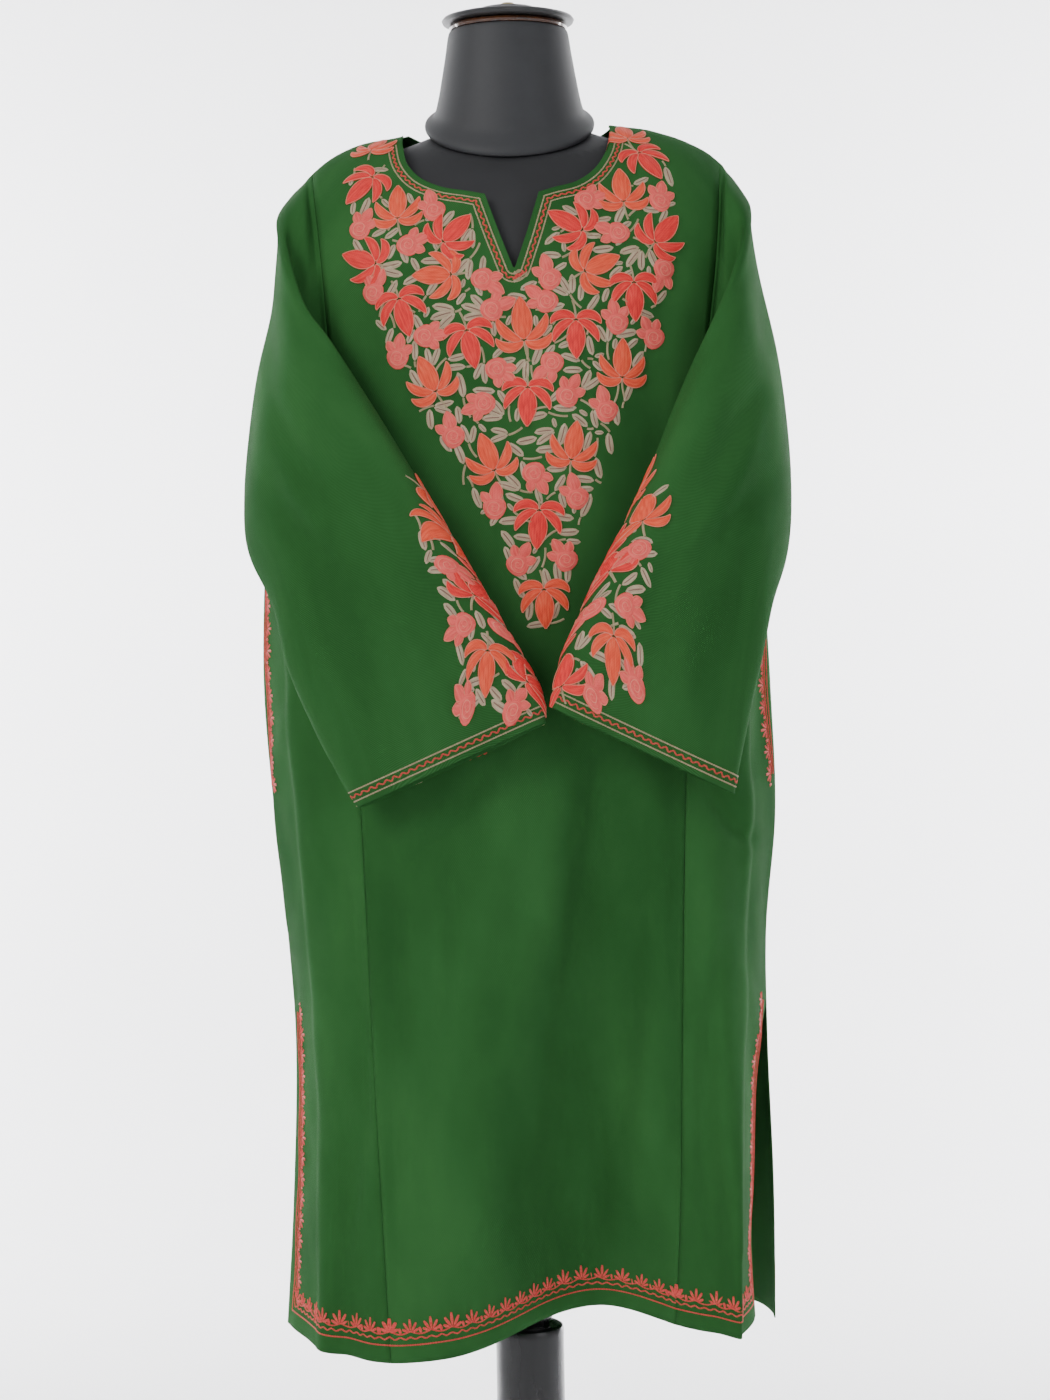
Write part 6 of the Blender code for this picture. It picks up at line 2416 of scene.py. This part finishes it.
@dataclass
class Embroiderer:
    """Lays out the chinar leaves, buds and sprigs and stitches them."""

    needle: Needle = field(default_factory=Needle)
    bud_size: float = 0.0124
    bud_room: float = 0.84
    leaflet_room: float = 0.0003
    leaflet_under: float = 0.38
    stem_room: float = -0.0002
    stem_under: float = 0.7
    stem_lengths: tuple[float, ...] = (0.0150, 0.0100, 0.0055)
    neck_room: float = 0.0155

    def motifs(
        self, grid: ClothGrid, layout: Layout, leaves: Sequence[Motif], buds: Sequence[Motif]
    ) -> None:
        """Stitches the leaves and buds of one field and marks their places."""
        drawing = self.needle.drawing
        for motif in buds:
            middle, flat = np.array((motif.x, motif.z)), Turning(0.0, 0.0, motif.heading)
            self.needle.bud(grid, grid.spot(motif.x, motif.z), motif.heading, self.bud_size)
            layout.take(layout.taken, drawing.lobes(flat, self.bud_size), middle)
            layout.take_round(layout.taken, middle, self.bud_size * self.bud_room)
        for motif in leaves:
            middle, flat = np.array((motif.x, motif.z)), Turning(0.0, 0.0, motif.heading)
            spot = grid.spot(motif.x, motif.z)
            self.needle.leaf(grid, spot, motif.heading, motif.size, motif.tint)
            blades = drawing.leaf(flat, motif.size, motif.tint, Tint.PEACH)
            layout.take(layout.taken, blades, middle)

    def sprigs(self, grid: ClothGrid, layout: Layout, seed: int) -> None:
        """Fills the gaps of a field with sprigs of leaflets on thin stems."""
        rng = np.random.default_rng(seed)
        drawing, made = self.needle.drawing, 0
        for spray in SPRAYS:
            for _ in range(spray.tries):
                z = rng.uniform(layout.low, layout.high)
                x = rng.uniform(float(layout.left(z)), float(layout.right(z)))
                root, middle = Turning(0.0, 0.0, rng.uniform(0, 360)), np.array((x, z))
                turns = (np.arange(spray.leaflets) - (spray.leaflets - 1) / 2) * rng.uniform(26, 36)
                size = rng.uniform(0.85, 1.12)
                blades = []
                for turn in turns:
                    foot = root.turned(turn).ahead(0.0030)
                    length = spray.length * size * (1 - abs(turn) / 300)
                    blade = drawing.leaflet(foot, length, spray.half * size)
                    if layout.free(blade, middle, self.leaflet_room, self.leaflet_under):
                        blades.append(blade)
                if len(blades) < max(spray.leaflets - 2, 1):
                    continue
                foot = root.turned(180).ahead(-0.0024)
                for length in self.stem_lengths:
                    stem = drawing.stem(foot.arc(length * size, 30.0, 6))
                    if layout.free(stem, middle, self.stem_room, self.stem_under):
                        blades.append(stem)
                        break
                self.needle.stitch(grid, grid.spot(x, z), blades)
                layout.take(layout.closed, blades, middle)
                made += 1
        LOG.info("%s: %d sprigs", grid.name, made)

    def yoke(self, grid: ClothGrid) -> None:
        """Stitches the field below the neck."""
        layout = Layout(YOKE)
        x = np.linspace(-0.0885, 0.0825, 400)
        height = np.interp(x, [row.x for row in NECK], [row.height for row in NECK])
        for step in np.arange(-0.0165, 0.080, layout.cell):
            layout.closed[layout.cells(np.stack([x, height + step], axis=1))] = True
        for edge in zip(x[::6], height[::6]):
            layout.take_round(layout.closed, np.array(edge), self.neck_room)
        self.motifs(grid, layout, FRONT_LEAVES, FRONT_BUDS)
        self.sprigs(grid, layout, SEED)

    def sleeve(self, grid: ClothGrid, side: int) -> None:
        """Stitches the column along a sleeve's fold, and its mirror on the hidden half."""
        layout = Layout(SLEEVE_FIELDS[side])
        self.motifs(grid, layout, SLEEVE_LEAVES[side], SLEEVE_BUDS[side])
        self.sprigs(grid, layout, SEED + side)
        for motif in SLEEVE_LEAVES[side]:
            spot, heading = self.mirrored(grid, motif)
            self.needle.leaf(grid, spot, heading, motif.size, motif.tint)
        for motif in SLEEVE_BUDS[side]:
            spot, heading = self.mirrored(grid, motif)
            self.needle.bud(grid, spot, heading, self.bud_size)

    def mirrored(self, grid: ClothGrid, motif: Motif) -> tuple[Spot, float]:
        """The place and heading of a motif's mirror image across the sleeve's fold."""
        spot = grid.spot(motif.x, motif.z)
        other = grid.spot_at(spot.row, 2 * grid.middle - spot.column, np.array((1.0, 0.0, 0.0)))
        angles = []
        for place in (spot, other):
            down = grid.sample(grid.by_row, np.array([place.row]), np.array([place.column]))[0]
            angles.append(math.degrees(math.atan2(down @ place.across, down @ place.along)))
        return other, angles[1] - (motif.heading - angles[0])


def stitch_tree() -> bpy.types.NodeTree:
    """A Geometry Nodes tree that sets a motif along lines, standing on the cloth."""
    tree = bpy.data.node_groups.new("Stitches along lines", "GeometryNodeTree")
    for name, kind in (
        ("Geometry", "Geometry"), ("Motif", "Object"), ("Spacing", "Float"), ("Unevenness", "Float"),
        ("Seed", "Int"), ("Thread", "Material"),
    ):
        tree.interface.new_socket(name, in_out="INPUT", socket_type="NodeSocket" + kind)
    tree.interface.new_socket("Geometry", in_out="OUTPUT", socket_type="NodeSocketGeometry")
    start, end = tree.nodes.new("NodeGroupInput"), tree.nodes.new("NodeGroupOutput")
    given = start.outputs
    curve = tree.nodes.new("GeometryNodeMeshToCurve")
    tree.links.new(given["Geometry"], curve.inputs["Mesh"])
    even = tree.nodes.new("GeometryNodeResampleCurve")
    even.mode = "LENGTH"
    tree.links.new(curve.outputs["Curve"], even.inputs["Curve"])
    tree.links.new(given["Spacing"], even.inputs["Length"])
    motif = tree.nodes.new("GeometryNodeObjectInfo")
    motif.inputs["As Instance"].default_value = True
    tree.links.new(given["Motif"], motif.inputs["Object"])
    turn = None
    for name, axis in (("up", "Z"), ("way", "X")):
        vector = tree.nodes.new("GeometryNodeInputNamedAttribute")
        vector.data_type = "FLOAT_VECTOR"
        vector.inputs["Name"].default_value = name
        align = tree.nodes.new("FunctionNodeAlignRotationToVector")
        align.axis = axis
        align.pivot_axis = "AUTO" if turn is None else "Z"
        if turn is not None:
            tree.links.new(turn, align.inputs["Rotation"])
        tree.links.new(vector.outputs["Attribute"], align.inputs["Vector"])
        turn = align.outputs["Rotation"]
    size = tree.nodes.new("FunctionNodeRandomValue")
    size.data_type = "FLOAT"
    for name, operation in (("Min", "SUBTRACT"), ("Max", "ADD")):
        bound = tree.nodes.new("ShaderNodeMath")
        bound.operation = operation
        bound.inputs[0].default_value = 1.0
        tree.links.new(given["Unevenness"], bound.inputs[1])
        socket_in = next(one for one in size.inputs if one.name == name and one.type == "VALUE")
        tree.links.new(bound.outputs[0], socket_in)
    tree.links.new(given["Seed"], size.inputs["Seed"])
    value = next(one for one in size.outputs if one.type == "VALUE")
    place = tree.nodes.new("GeometryNodeInstanceOnPoints")
    tree.links.new(even.outputs["Curve"], place.inputs["Points"])
    tree.links.new(motif.outputs["Geometry"], place.inputs["Instance"])
    tree.links.new(turn, place.inputs["Rotation"])
    tree.links.new(value, place.inputs["Scale"])
    real = tree.nodes.new("GeometryNodeRealizeInstances")
    tree.links.new(place.outputs["Instances"], real.inputs["Geometry"])
    thread = tree.nodes.new("GeometryNodeSetMaterial")
    tree.links.new(real.outputs["Geometry"], thread.inputs["Geometry"])
    tree.links.new(given["Thread"], thread.inputs["Material"])
    tree.links.new(thread.outputs["Geometry"], end.inputs["Geometry"])
    return tree


def raised(name: str, blades: Iterable[tuple[np.ndarray, np.ndarray, float]]) -> bpy.types.Mesh:
    """A motif of raised flat shapes.

    Args:
        name: The mesh's name.
        blades: For each shape its middle line, half widths and height.

    Returns:
        The mesh, flat on z = 0 with its shapes domed upwards.
    """
    points, faces = [], []
    for line, half, height in blades:
        along = np.gradient(line, axis=0)
        along /= np.linalg.norm(along, axis=1, keepdims=True)
        square = np.stack([-along[:, 1], along[:, 0]], axis=1) * half[:, None]
        start = len(points)
        for place, side, wide in zip(line, square, half):
            rise = height * min(wide / half.max() * 1.5, 1.0)
            points += [(*(place - side), 0.0), (*place, rise), (*(place + side), 0.0)]
        for row in range(len(line) - 1):
            first = start + row * 3
            faces += [(at, at + 3, at + 4, at + 1) for at in (first, first + 1)]
    mesh = bpy.data.meshes.new(name)
    mesh.from_pydata(points, [], faces)
    mesh.shade_smooth()
    return mesh


@dataclass(frozen=True)
class ChainLink:
    """One link of chain stitch, drawn as two strands that meet at both ends."""

    length: float = 0.0027
    width: float = 0.0008
    strand: float = 0.00032

    def mesh(self) -> bpy.types.Mesh:
        """The link, along +X."""
        blades = []
        at = np.array((0.0, 0.35, 0.75, 1.0))
        for side in (-1, 1):
            bow = side * self.width / 2 * np.sin(np.pi * at**0.8)
            line = np.stack([(at - 0.5) * self.length, bow], axis=1)
            blades.append((line, np.full(len(at), self.strand), self.strand * 1.6))
        return raised("Chain link", blades)


@dataclass(frozen=True)
class BorderFlower:
    """A fan of five small petals with a bud beside it, opening along +X."""

    reach: float = 0.0105
    pitch: float = 0.0170

    def mesh(self) -> bpy.types.Mesh:
        """The flower and its bud."""
        origin, blades = Turning(0.0, 0.0, 0.0), []
        at = np.linspace(0, 1, 6)
        shape = np.sqrt(np.maximum(1 - np.abs(2 * at - 1.15) ** 2.2, 0.05))
        for turn, length in ((-72, 0.62), (-36, 0.86), (0, 1.0), (36, 0.86), (72, 0.62)):
            line = origin.turned(turn).ahead(0.0012).arc(self.reach * length, -turn * 0.25, 6)
            blades.append((line, shape * 0.00115, 0.0008))
        bud = Turning(-0.0012, self.pitch / 2, 12.0).arc(0.0056, 0.0, 6)
        blades.append((bud, shape * 0.00125, 0.0008))
        return raised("Border flower", blades)


class Border(NamedTuple):
    """Where the lines of a flowered border run, as distances from the cloth's edge."""

    line: float
    zigzag: float
    vine: float


class EdgeLine(NamedTuple):
    """One of the three lines along the neck or a cuff: its distance from the edge and thread."""

    far: float
    tint: Tint


class Wave(NamedTuple):
    """A zigzag's or a vine's length from crest to crest and its height."""

    length: float
    height: float


NECK_LINES = table(
    EdgeLine,
    (0.0055, Tint.KHAKI),
    (0.0088, Tint.CORAL),
    (0.0120, Tint.KHAKI),
)
CUFF_LINES = table(
    EdgeLine,
    (0.0055, Tint.KHAKI),
    (0.0098, Tint.CORAL),
    (0.0140, Tint.KHAKI),
)
NECK_WAVE = Wave(length=0.0062, height=0.0013)
CUFF_WAVE = Wave(length=0.0072, height=0.0015)
HEM_WAVE = Wave(length=0.0085, height=0.0011)
VINE_HEIGHT = 0.0012
HEM_BORDER = Border(line=0.0145, zigzag=0.0200, vine=0.0245)
SLIT_BORDER = Border(line=0.0145, zigzag=0.0195, vine=0.0240)
POCKET_BORDER = Border(line=0.0100, zigzag=0.0142, vine=0.0175)


@dataclass
class BorderWork:
    """Sews lines of stitches and rows of flowers on the pieces of cloth."""

    pitch: float = 0.0021
    made: dict[str, list[bpy.types.Object]] = field(default_factory=dict)
    lines: dict[tuple[str, Tint, str], list[Track]] = field(default_factory=dict)

    def sew(self, grid: ClothGrid, tint: Tint, track: Track) -> None:
        """Adds one line of chain stitch."""
        track = track.even(self.pitch)
        along = unit(np.gradient(track.points, axis=0))
        self.lines.setdefault((grid.name, tint, "chain"), []).append(
            Track(track.points, track.normals, along)
        )

    def flowers(self, grid: ClothGrid, track: Track) -> None:
        """Adds one row of border flowers, opening away from the edge."""
        self.lines.setdefault((grid.name, Tint.CORAL, "flower"), []).append(track)

    def flowered(self, grid: ClothGrid, tracks: Sequence[Track]) -> None:
        """A whole flowered border, from its line, zigzag and vine tracks."""
        line, zigzag, vine = tracks
        self.sew(grid, Tint.CORAL, line)
        self.sew(grid, Tint.CORAL, zigzag.wave(*HEM_WAVE, True))
        self.sew(grid, Tint.CORAL, vine.wave(BorderFlower().pitch, VINE_HEIGHT, False))
        self.flowers(grid, vine)

    def finish(self) -> dict[str, list[bpy.types.Object]]:
        """Places every row of stitches.

        Returns:
            The rows of stitches that lie on each piece of cloth, by its name.
        """
        tree = stitch_tree()
        flower = BorderFlower()
        motifs = {
            "chain": (ChainLink().mesh(), self.pitch), "flower": (flower.mesh(), flower.pitch),
        }
        for (name, tint, kind), tracks in self.lines.items():
            mesh, spacing = motifs[kind]
            title = f"{name.replace('pheran_', 'border_')}_{tint.name.lower()}_{kind}"
            thread = ThreadFinish(tint, rows=False).material()
            stitches = self.along(title, tracks, mesh, spacing, tree, thread)
            self.made.setdefault(name, []).append(put(stitches, title, thread, "cloth"))
        return self.made

    def along(
        self, title: str, tracks: Sequence[Track], motif: bpy.types.Mesh, spacing: float,
        tree: bpy.types.NodeTree, thread: bpy.types.Material,
    ) -> bpy.types.Mesh:
        """Runs the Geometry Nodes tree on some tracks.

        Args:
            title: The mesh's name.
            tracks: The lines to follow.
            motif: What is set along them.
            spacing: How far apart.
            tree: The tree.
            thread: The stitches' material.

        Returns:
            The stitches as one plain mesh.
        """
        points, edges, ups, ways = [], [], [], []
        for track in tracks:
            start = sum(len(part) for part in points)
            count = len(track.points)
            edges += [(start + step, start + step + 1) for step in range(count - 1)]
            points.append(track.points + track.normals * 0.0001)
            ups.append(track.normals)
            ways.append(track.inward)
        mesh = bpy.data.meshes.new(title + "_lines")
        mesh.from_pydata(np.concatenate(points).tolist(), edges, [])
        for name, parts in (("up", ups), ("way", ways)):
            layer = mesh.attributes.new(name, "FLOAT_VECTOR", "POINT")
            layer.data.foreach_set("vector", np.concatenate(parts).reshape(-1).astype(np.float32))
        guide = bpy.data.objects.new(title + "_guide", mesh)
        helper = bpy.data.objects.new(title + "_motif", motif.copy())
        for obj in (guide, helper):
            bpy.context.scene.collection.objects.link(obj)
        modifier = guide.modifiers.new("Stitches", "NODES")
        modifier.node_group = tree
        values = {
            "Motif": helper, "Spacing": spacing * 0.999, "Unevenness": 0.08, "Seed": SEED + len(title),
            "Thread": thread,
        }
        for item in tree.interface.items_tree:
            if item.in_out == "INPUT" and item.name in values:
                modifier[item.identifier] = values[item.name]
        bpy.context.view_layer.update()
        graph = bpy.context.evaluated_depsgraph_get()
        made = bpy.data.meshes.new_from_object(guide.evaluated_get(graph))
        made.name = title
        for obj in (guide, helper):
            data = obj.data
            bpy.data.objects.remove(obj, do_unlink=True)
            bpy.data.meshes.remove(data)
        made.shade_smooth()
        return made


def joined(*tracks: Track) -> Track:
    """Some tracks end to end as one."""
    parts = [(track.points, track.normals, track.inward) for track in tracks]
    return Track(*(np.concatenate(rows) for rows in zip(*parts)))


def apart(track: Track, edge: np.ndarray, far: float) -> Track:
    """The part of a track that keeps a distance from an edge."""
    gaps = np.linalg.norm(track.points[:, None] - edge[None], axis=2).min(axis=1)
    return track.kept(gaps >= far)


@dataclass
class Borders:
    """The lines and flowers along the neck, the cuffs, the hem, the slits and the pockets."""

    work: BorderWork = field(default_factory=BorderWork)
    fine: float = 0.25

    def rows_between(self, grid: ClothGrid, column: int, low: float, high: float) -> np.ndarray:
        """Fine grid rows of one column between two heights."""
        height = grid.points[:, column, 2]
        rows = np.nonzero((height >= low) & (height <= high))[0]
        return np.arange(rows[0], rows[-1] + 0.01, self.fine)

    def side_track(self, grid: ClothGrid, column: int, rows: np.ndarray, far: float) -> Track:
        """A line beside one long edge of a piece."""
        inner, last = (3, 0.0) if column == 0 else (-4, grid.points.shape[1] - INSIDE)
        inward = grid.points[:, inner] - grid.points[:, column]
        inward = inward[np.clip(rows.astype(int), 0, len(inward) - 1)]
        columns = np.full(len(rows), last)
        return grid.inset(rows, columns, inward, far)

    def hem_track(self, grid: ClothGrid, far: float) -> Track:
        """A line beside the hem."""
        columns = np.arange(0, grid.points.shape[1] - 1, self.fine)
        return grid.inset(np.zeros(len(columns)), columns, np.array((0.0, 0.0, 1.0)), far)

    def hems(self, grid: ClothGrid, slits: Sequence[int]) -> None:
        """The border along a piece's hem and up its slits.

        Args:
            grid: The piece.
            slits: The columns, 0 or -1, whose lower part is a slit's edge.
        """
        tracks = []
        foot = grid.points[0]
        for far, slit_far in zip(HEM_BORDER, SLIT_BORDER):
            hem = self.hem_track(grid, far)
            before, after = [], []
            for column in slits:
                edge = grid.points[:, column]
                edge = edge[edge[:, 2] < SLIT_TOP]
                hem = apart(hem, edge, slit_far)
                rows = self.rows_between(grid, column, 0.0, SLIT_TOP - 0.004)
                side = apart(self.side_track(grid, column, rows, slit_far), foot, far)
                if column == 0:
                    before.append(side.kept(slice(None, None, -1)))
                else:
                    after.append(side)
            tracks.append(joined(*before, hem, *after))
        self.work.flowered(grid, tracks)

    def pocket(self, grid: ClothGrid, column: int) -> None:
        """The border along one edge of a pocket's slit."""
        rows = self.rows_between(grid, column, POCKET_FOOT - 0.004, POCKET_TOP + 0.010)
        tracks = [self.side_track(grid, column, rows, far) for far in POCKET_BORDER]
        self.work.flowered(grid, tracks)

    def edge_lines(
        self, grid: ClothGrid, lines: Sequence[EdgeLine], wave: Wave,
        track_at: Callable[[float], Track],
    ) -> None:
        """Sews the lines beside an edge, the coral one as a zigzag.

        Args:
            grid: The piece.
            lines: The lines.
            wave: The zigzag's size.
            track_at: Gives the course of a line at a distance from the edge.
        """
        for line in lines:
            track = track_at(line.far)
            if line.tint is Tint.CORAL:
                track = track.wave(*wave, True)
            self.work.sew(grid, line.tint, track)

    def cuff(self, grid: ClothGrid) -> None:
        """The three lines round a cuff."""
        columns = np.append(np.arange(0, grid.points.shape[1] - 1, 0.5), 0.0)
        rows = np.full(len(columns), len(grid.points) - INSIDE)
        last = grid.points.shape[1] - 1
        up = (grid.points[-9] - grid.points[-1])[np.clip(columns.astype(int), 0, last)]
        self.edge_lines(
            grid, CUFF_LINES, CUFF_WAVE, lambda far: grid.inset(rows, columns, up, far)
        )

    def front_neck(self, front: ClothGrid, panel: FrontPanel, far: float) -> Track:
        """A line along the neck, down one side of the notch and up the other."""
        first = panel.shoulder_columns - 1
        corner_right = first + panel.arc_columns - 1
        corner_left = corner_right + panel.notch_columns - 1
        last = corner_left + panel.arc_columns - 1
        tip = corner_right + int(np.argmin(front.points[-1, corner_right : corner_left + 1, 2]))
        edge = front.points[-1, first : last + 1]
        fine_edge = spread(edge, len(edge) * 4)
        corners, parts = (first, corner_right, tip, corner_left, last), []
        for start, end in zip(corners, corners[1:]):
            columns = np.arange(start, end + 0.01, self.fine)
            rows = np.full(len(columns), len(front.points) - INSIDE)
            part = front.inset(rows, columns, np.array((0.0, 0.0, -1.0)), far)
            parts.append(apart(part, fine_edge, far - 0.0004))
            if end == tip:
                parts.append(self.round_tip(front, tip, far))
        return joined(*parts)

    def neck(self, front: ClothGrid, back: ClothGrid, panel: FrontPanel) -> None:
        """The three lines round the neck."""
        self.edge_lines(
            front, NECK_LINES, NECK_WAVE, lambda far: self.front_neck(front, panel, far)
        )
        side = BackPanel.side_columns + 1
        inside = np.abs(back.points[-1, :, 0]) < BACK_NECK_HALF
        inside[:side] = inside[-side:] = False
        columns = np.nonzero(inside)[0]
        columns = np.arange(columns[0], columns[-1] + 0.01, self.fine)
        rows = np.full(len(columns), len(back.points) - INSIDE)
        inward = np.array((0.0, 1.0, -1.0))
        self.edge_lines(
            back, NECK_LINES, NECK_WAVE, lambda far: back.inset(rows, columns, inward, far)
        )

    def round_tip(self, front: ClothGrid, tip: int, far: float) -> Track:
        """The arc of a line round the notch's lowest point."""
        count = 14
        angle = np.radians(np.linspace(200, 340, count))
        spot = front.spot_at(len(front.points) - INSIDE, float(tip), np.array((1.0, 0.0, 0.0)))
        flat = far * np.stack([np.cos(angle), np.sin(angle)], axis=1)
        start = np.full(count, spot.row), np.full(count, spot.column)
        row, column = front.solve(spot.centre, spot.along, spot.across, flat, start)
        points = front.sample(front.points, row, column)
        return Track(points, front.sample(front.normals, row, column), unit(points - spot.centre))

    def build(self, grids: dict[str, ClothGrid], panel: FrontPanel) -> None:
        """Lays out every border."""
        front, back = grids["pheran_front"], grids["pheran_back"]
        self.neck(front, back, panel)
        self.hems(front, ())
        self.hems(back, (0, -1))
        for column in (0, -1):
            self.pocket(back, column)
        for name in ("pheran_gore_right", "pheran_gore_left"):
            self.hems(grids[name], (-1,))
            self.pocket(grids[name], -1)
        for name in ("pheran_sleeve_right", "pheran_sleeve_left"):
            self.cuff(grids[name])


class ClothPiece(NamedTuple):
    """A piece of cloth: its name, the node it stands for and what it rests on."""

    name: str
    node: str
    rests_on: tuple


BODY_PANELS = ("pheran_front", "pheran_back")
CLOTH_PIECES = table(
    ClothPiece,
    ("pheran_front", "front_panel", ("form_torso_cover", "pheran_back")),
    ("pheran_back", "back_panel", ("form_torso_cover",)),
    ("pheran_gore_right", "front_gore_right", BODY_PANELS),
    ("pheran_gore_left", "front_gore_left", BODY_PANELS),
    ("pheran_sleeve_right", "sleeve_right", BODY_PANELS),
    ("pheran_sleeve_left", "sleeve_left", BODY_PANELS),
)


@dataclass
class Garment:
    """The pheran: its cloth pieces with their stitching."""

    cloth: TwillFinish = field(default_factory=TwillFinish)
    front: FrontPanel = field(default_factory=FrontPanel)
    grids: dict[str, ClothGrid] = field(default_factory=dict)

    def panels(self) -> None:
        """Works out every piece's grid."""
        made = [self.front.grid(), BackPanel().grid()]
        made += [FrontGore(side).grid() for side in (-1, 1)]
        made += [Sleeve(-1, RIGHT_SLEEVE).grid(), Sleeve(1, LEFT_SLEEVE).grid()]
        self.grids = {grid.name: grid for grid in made}

    def shells(self) -> dict[str, bpy.types.Object]:
        """Places the pieces as thin shells.

        Returns:
            The shells by their names.
        """
        material = self.cloth.material()
        made = {}
        for piece in CLOTH_PIECES:
            mesh = self.grids[piece.name].mesh()
            obj = put(mesh, piece.name, material, "cloth", piece.node)
            solid = obj.modifiers.new("Thickness", "SOLIDIFY")
            solid.thickness, solid.offset = SHELL, -1.0
            made[piece.name] = obj
        return made

    def stitching(self) -> dict[str, list[bpy.types.Object]]:
        """Stitches the motifs and the borders.

        Returns:
            The pieces of stitching on each piece of cloth.
        """
        work = Embroiderer()
        work.yoke(self.grids["pheran_front"])
        work.sleeve(self.grids["pheran_sleeve_right"], -1)
        work.sleeve(self.grids["pheran_sleeve_left"], 1)
        made = work.needle.finish()
        borders = Borders()
        borders.build(self.grids, self.front)
        for name, pieces in borders.work.finish().items():
            made.setdefault(name, []).extend(pieces)
        return made

    def build(self) -> None:
        """Builds the garment and states its sheets."""
        self.panels()
        shells, stitching = self.shells(), self.stitching()
        for piece in CLOTH_PIECES:
            width, length, area = self.grids[piece.name].cut()
            LOG.info("%s: cut %.3f x %.3f m, area %.3f m2", piece.name, width, length, area)


def main() -> None:
    """Builds the whole visual model."""
    DressForm().build()
    Stand().build()
    Garment().build()
    Studio().build()
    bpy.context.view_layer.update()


if __name__ == "__main__":
    main()
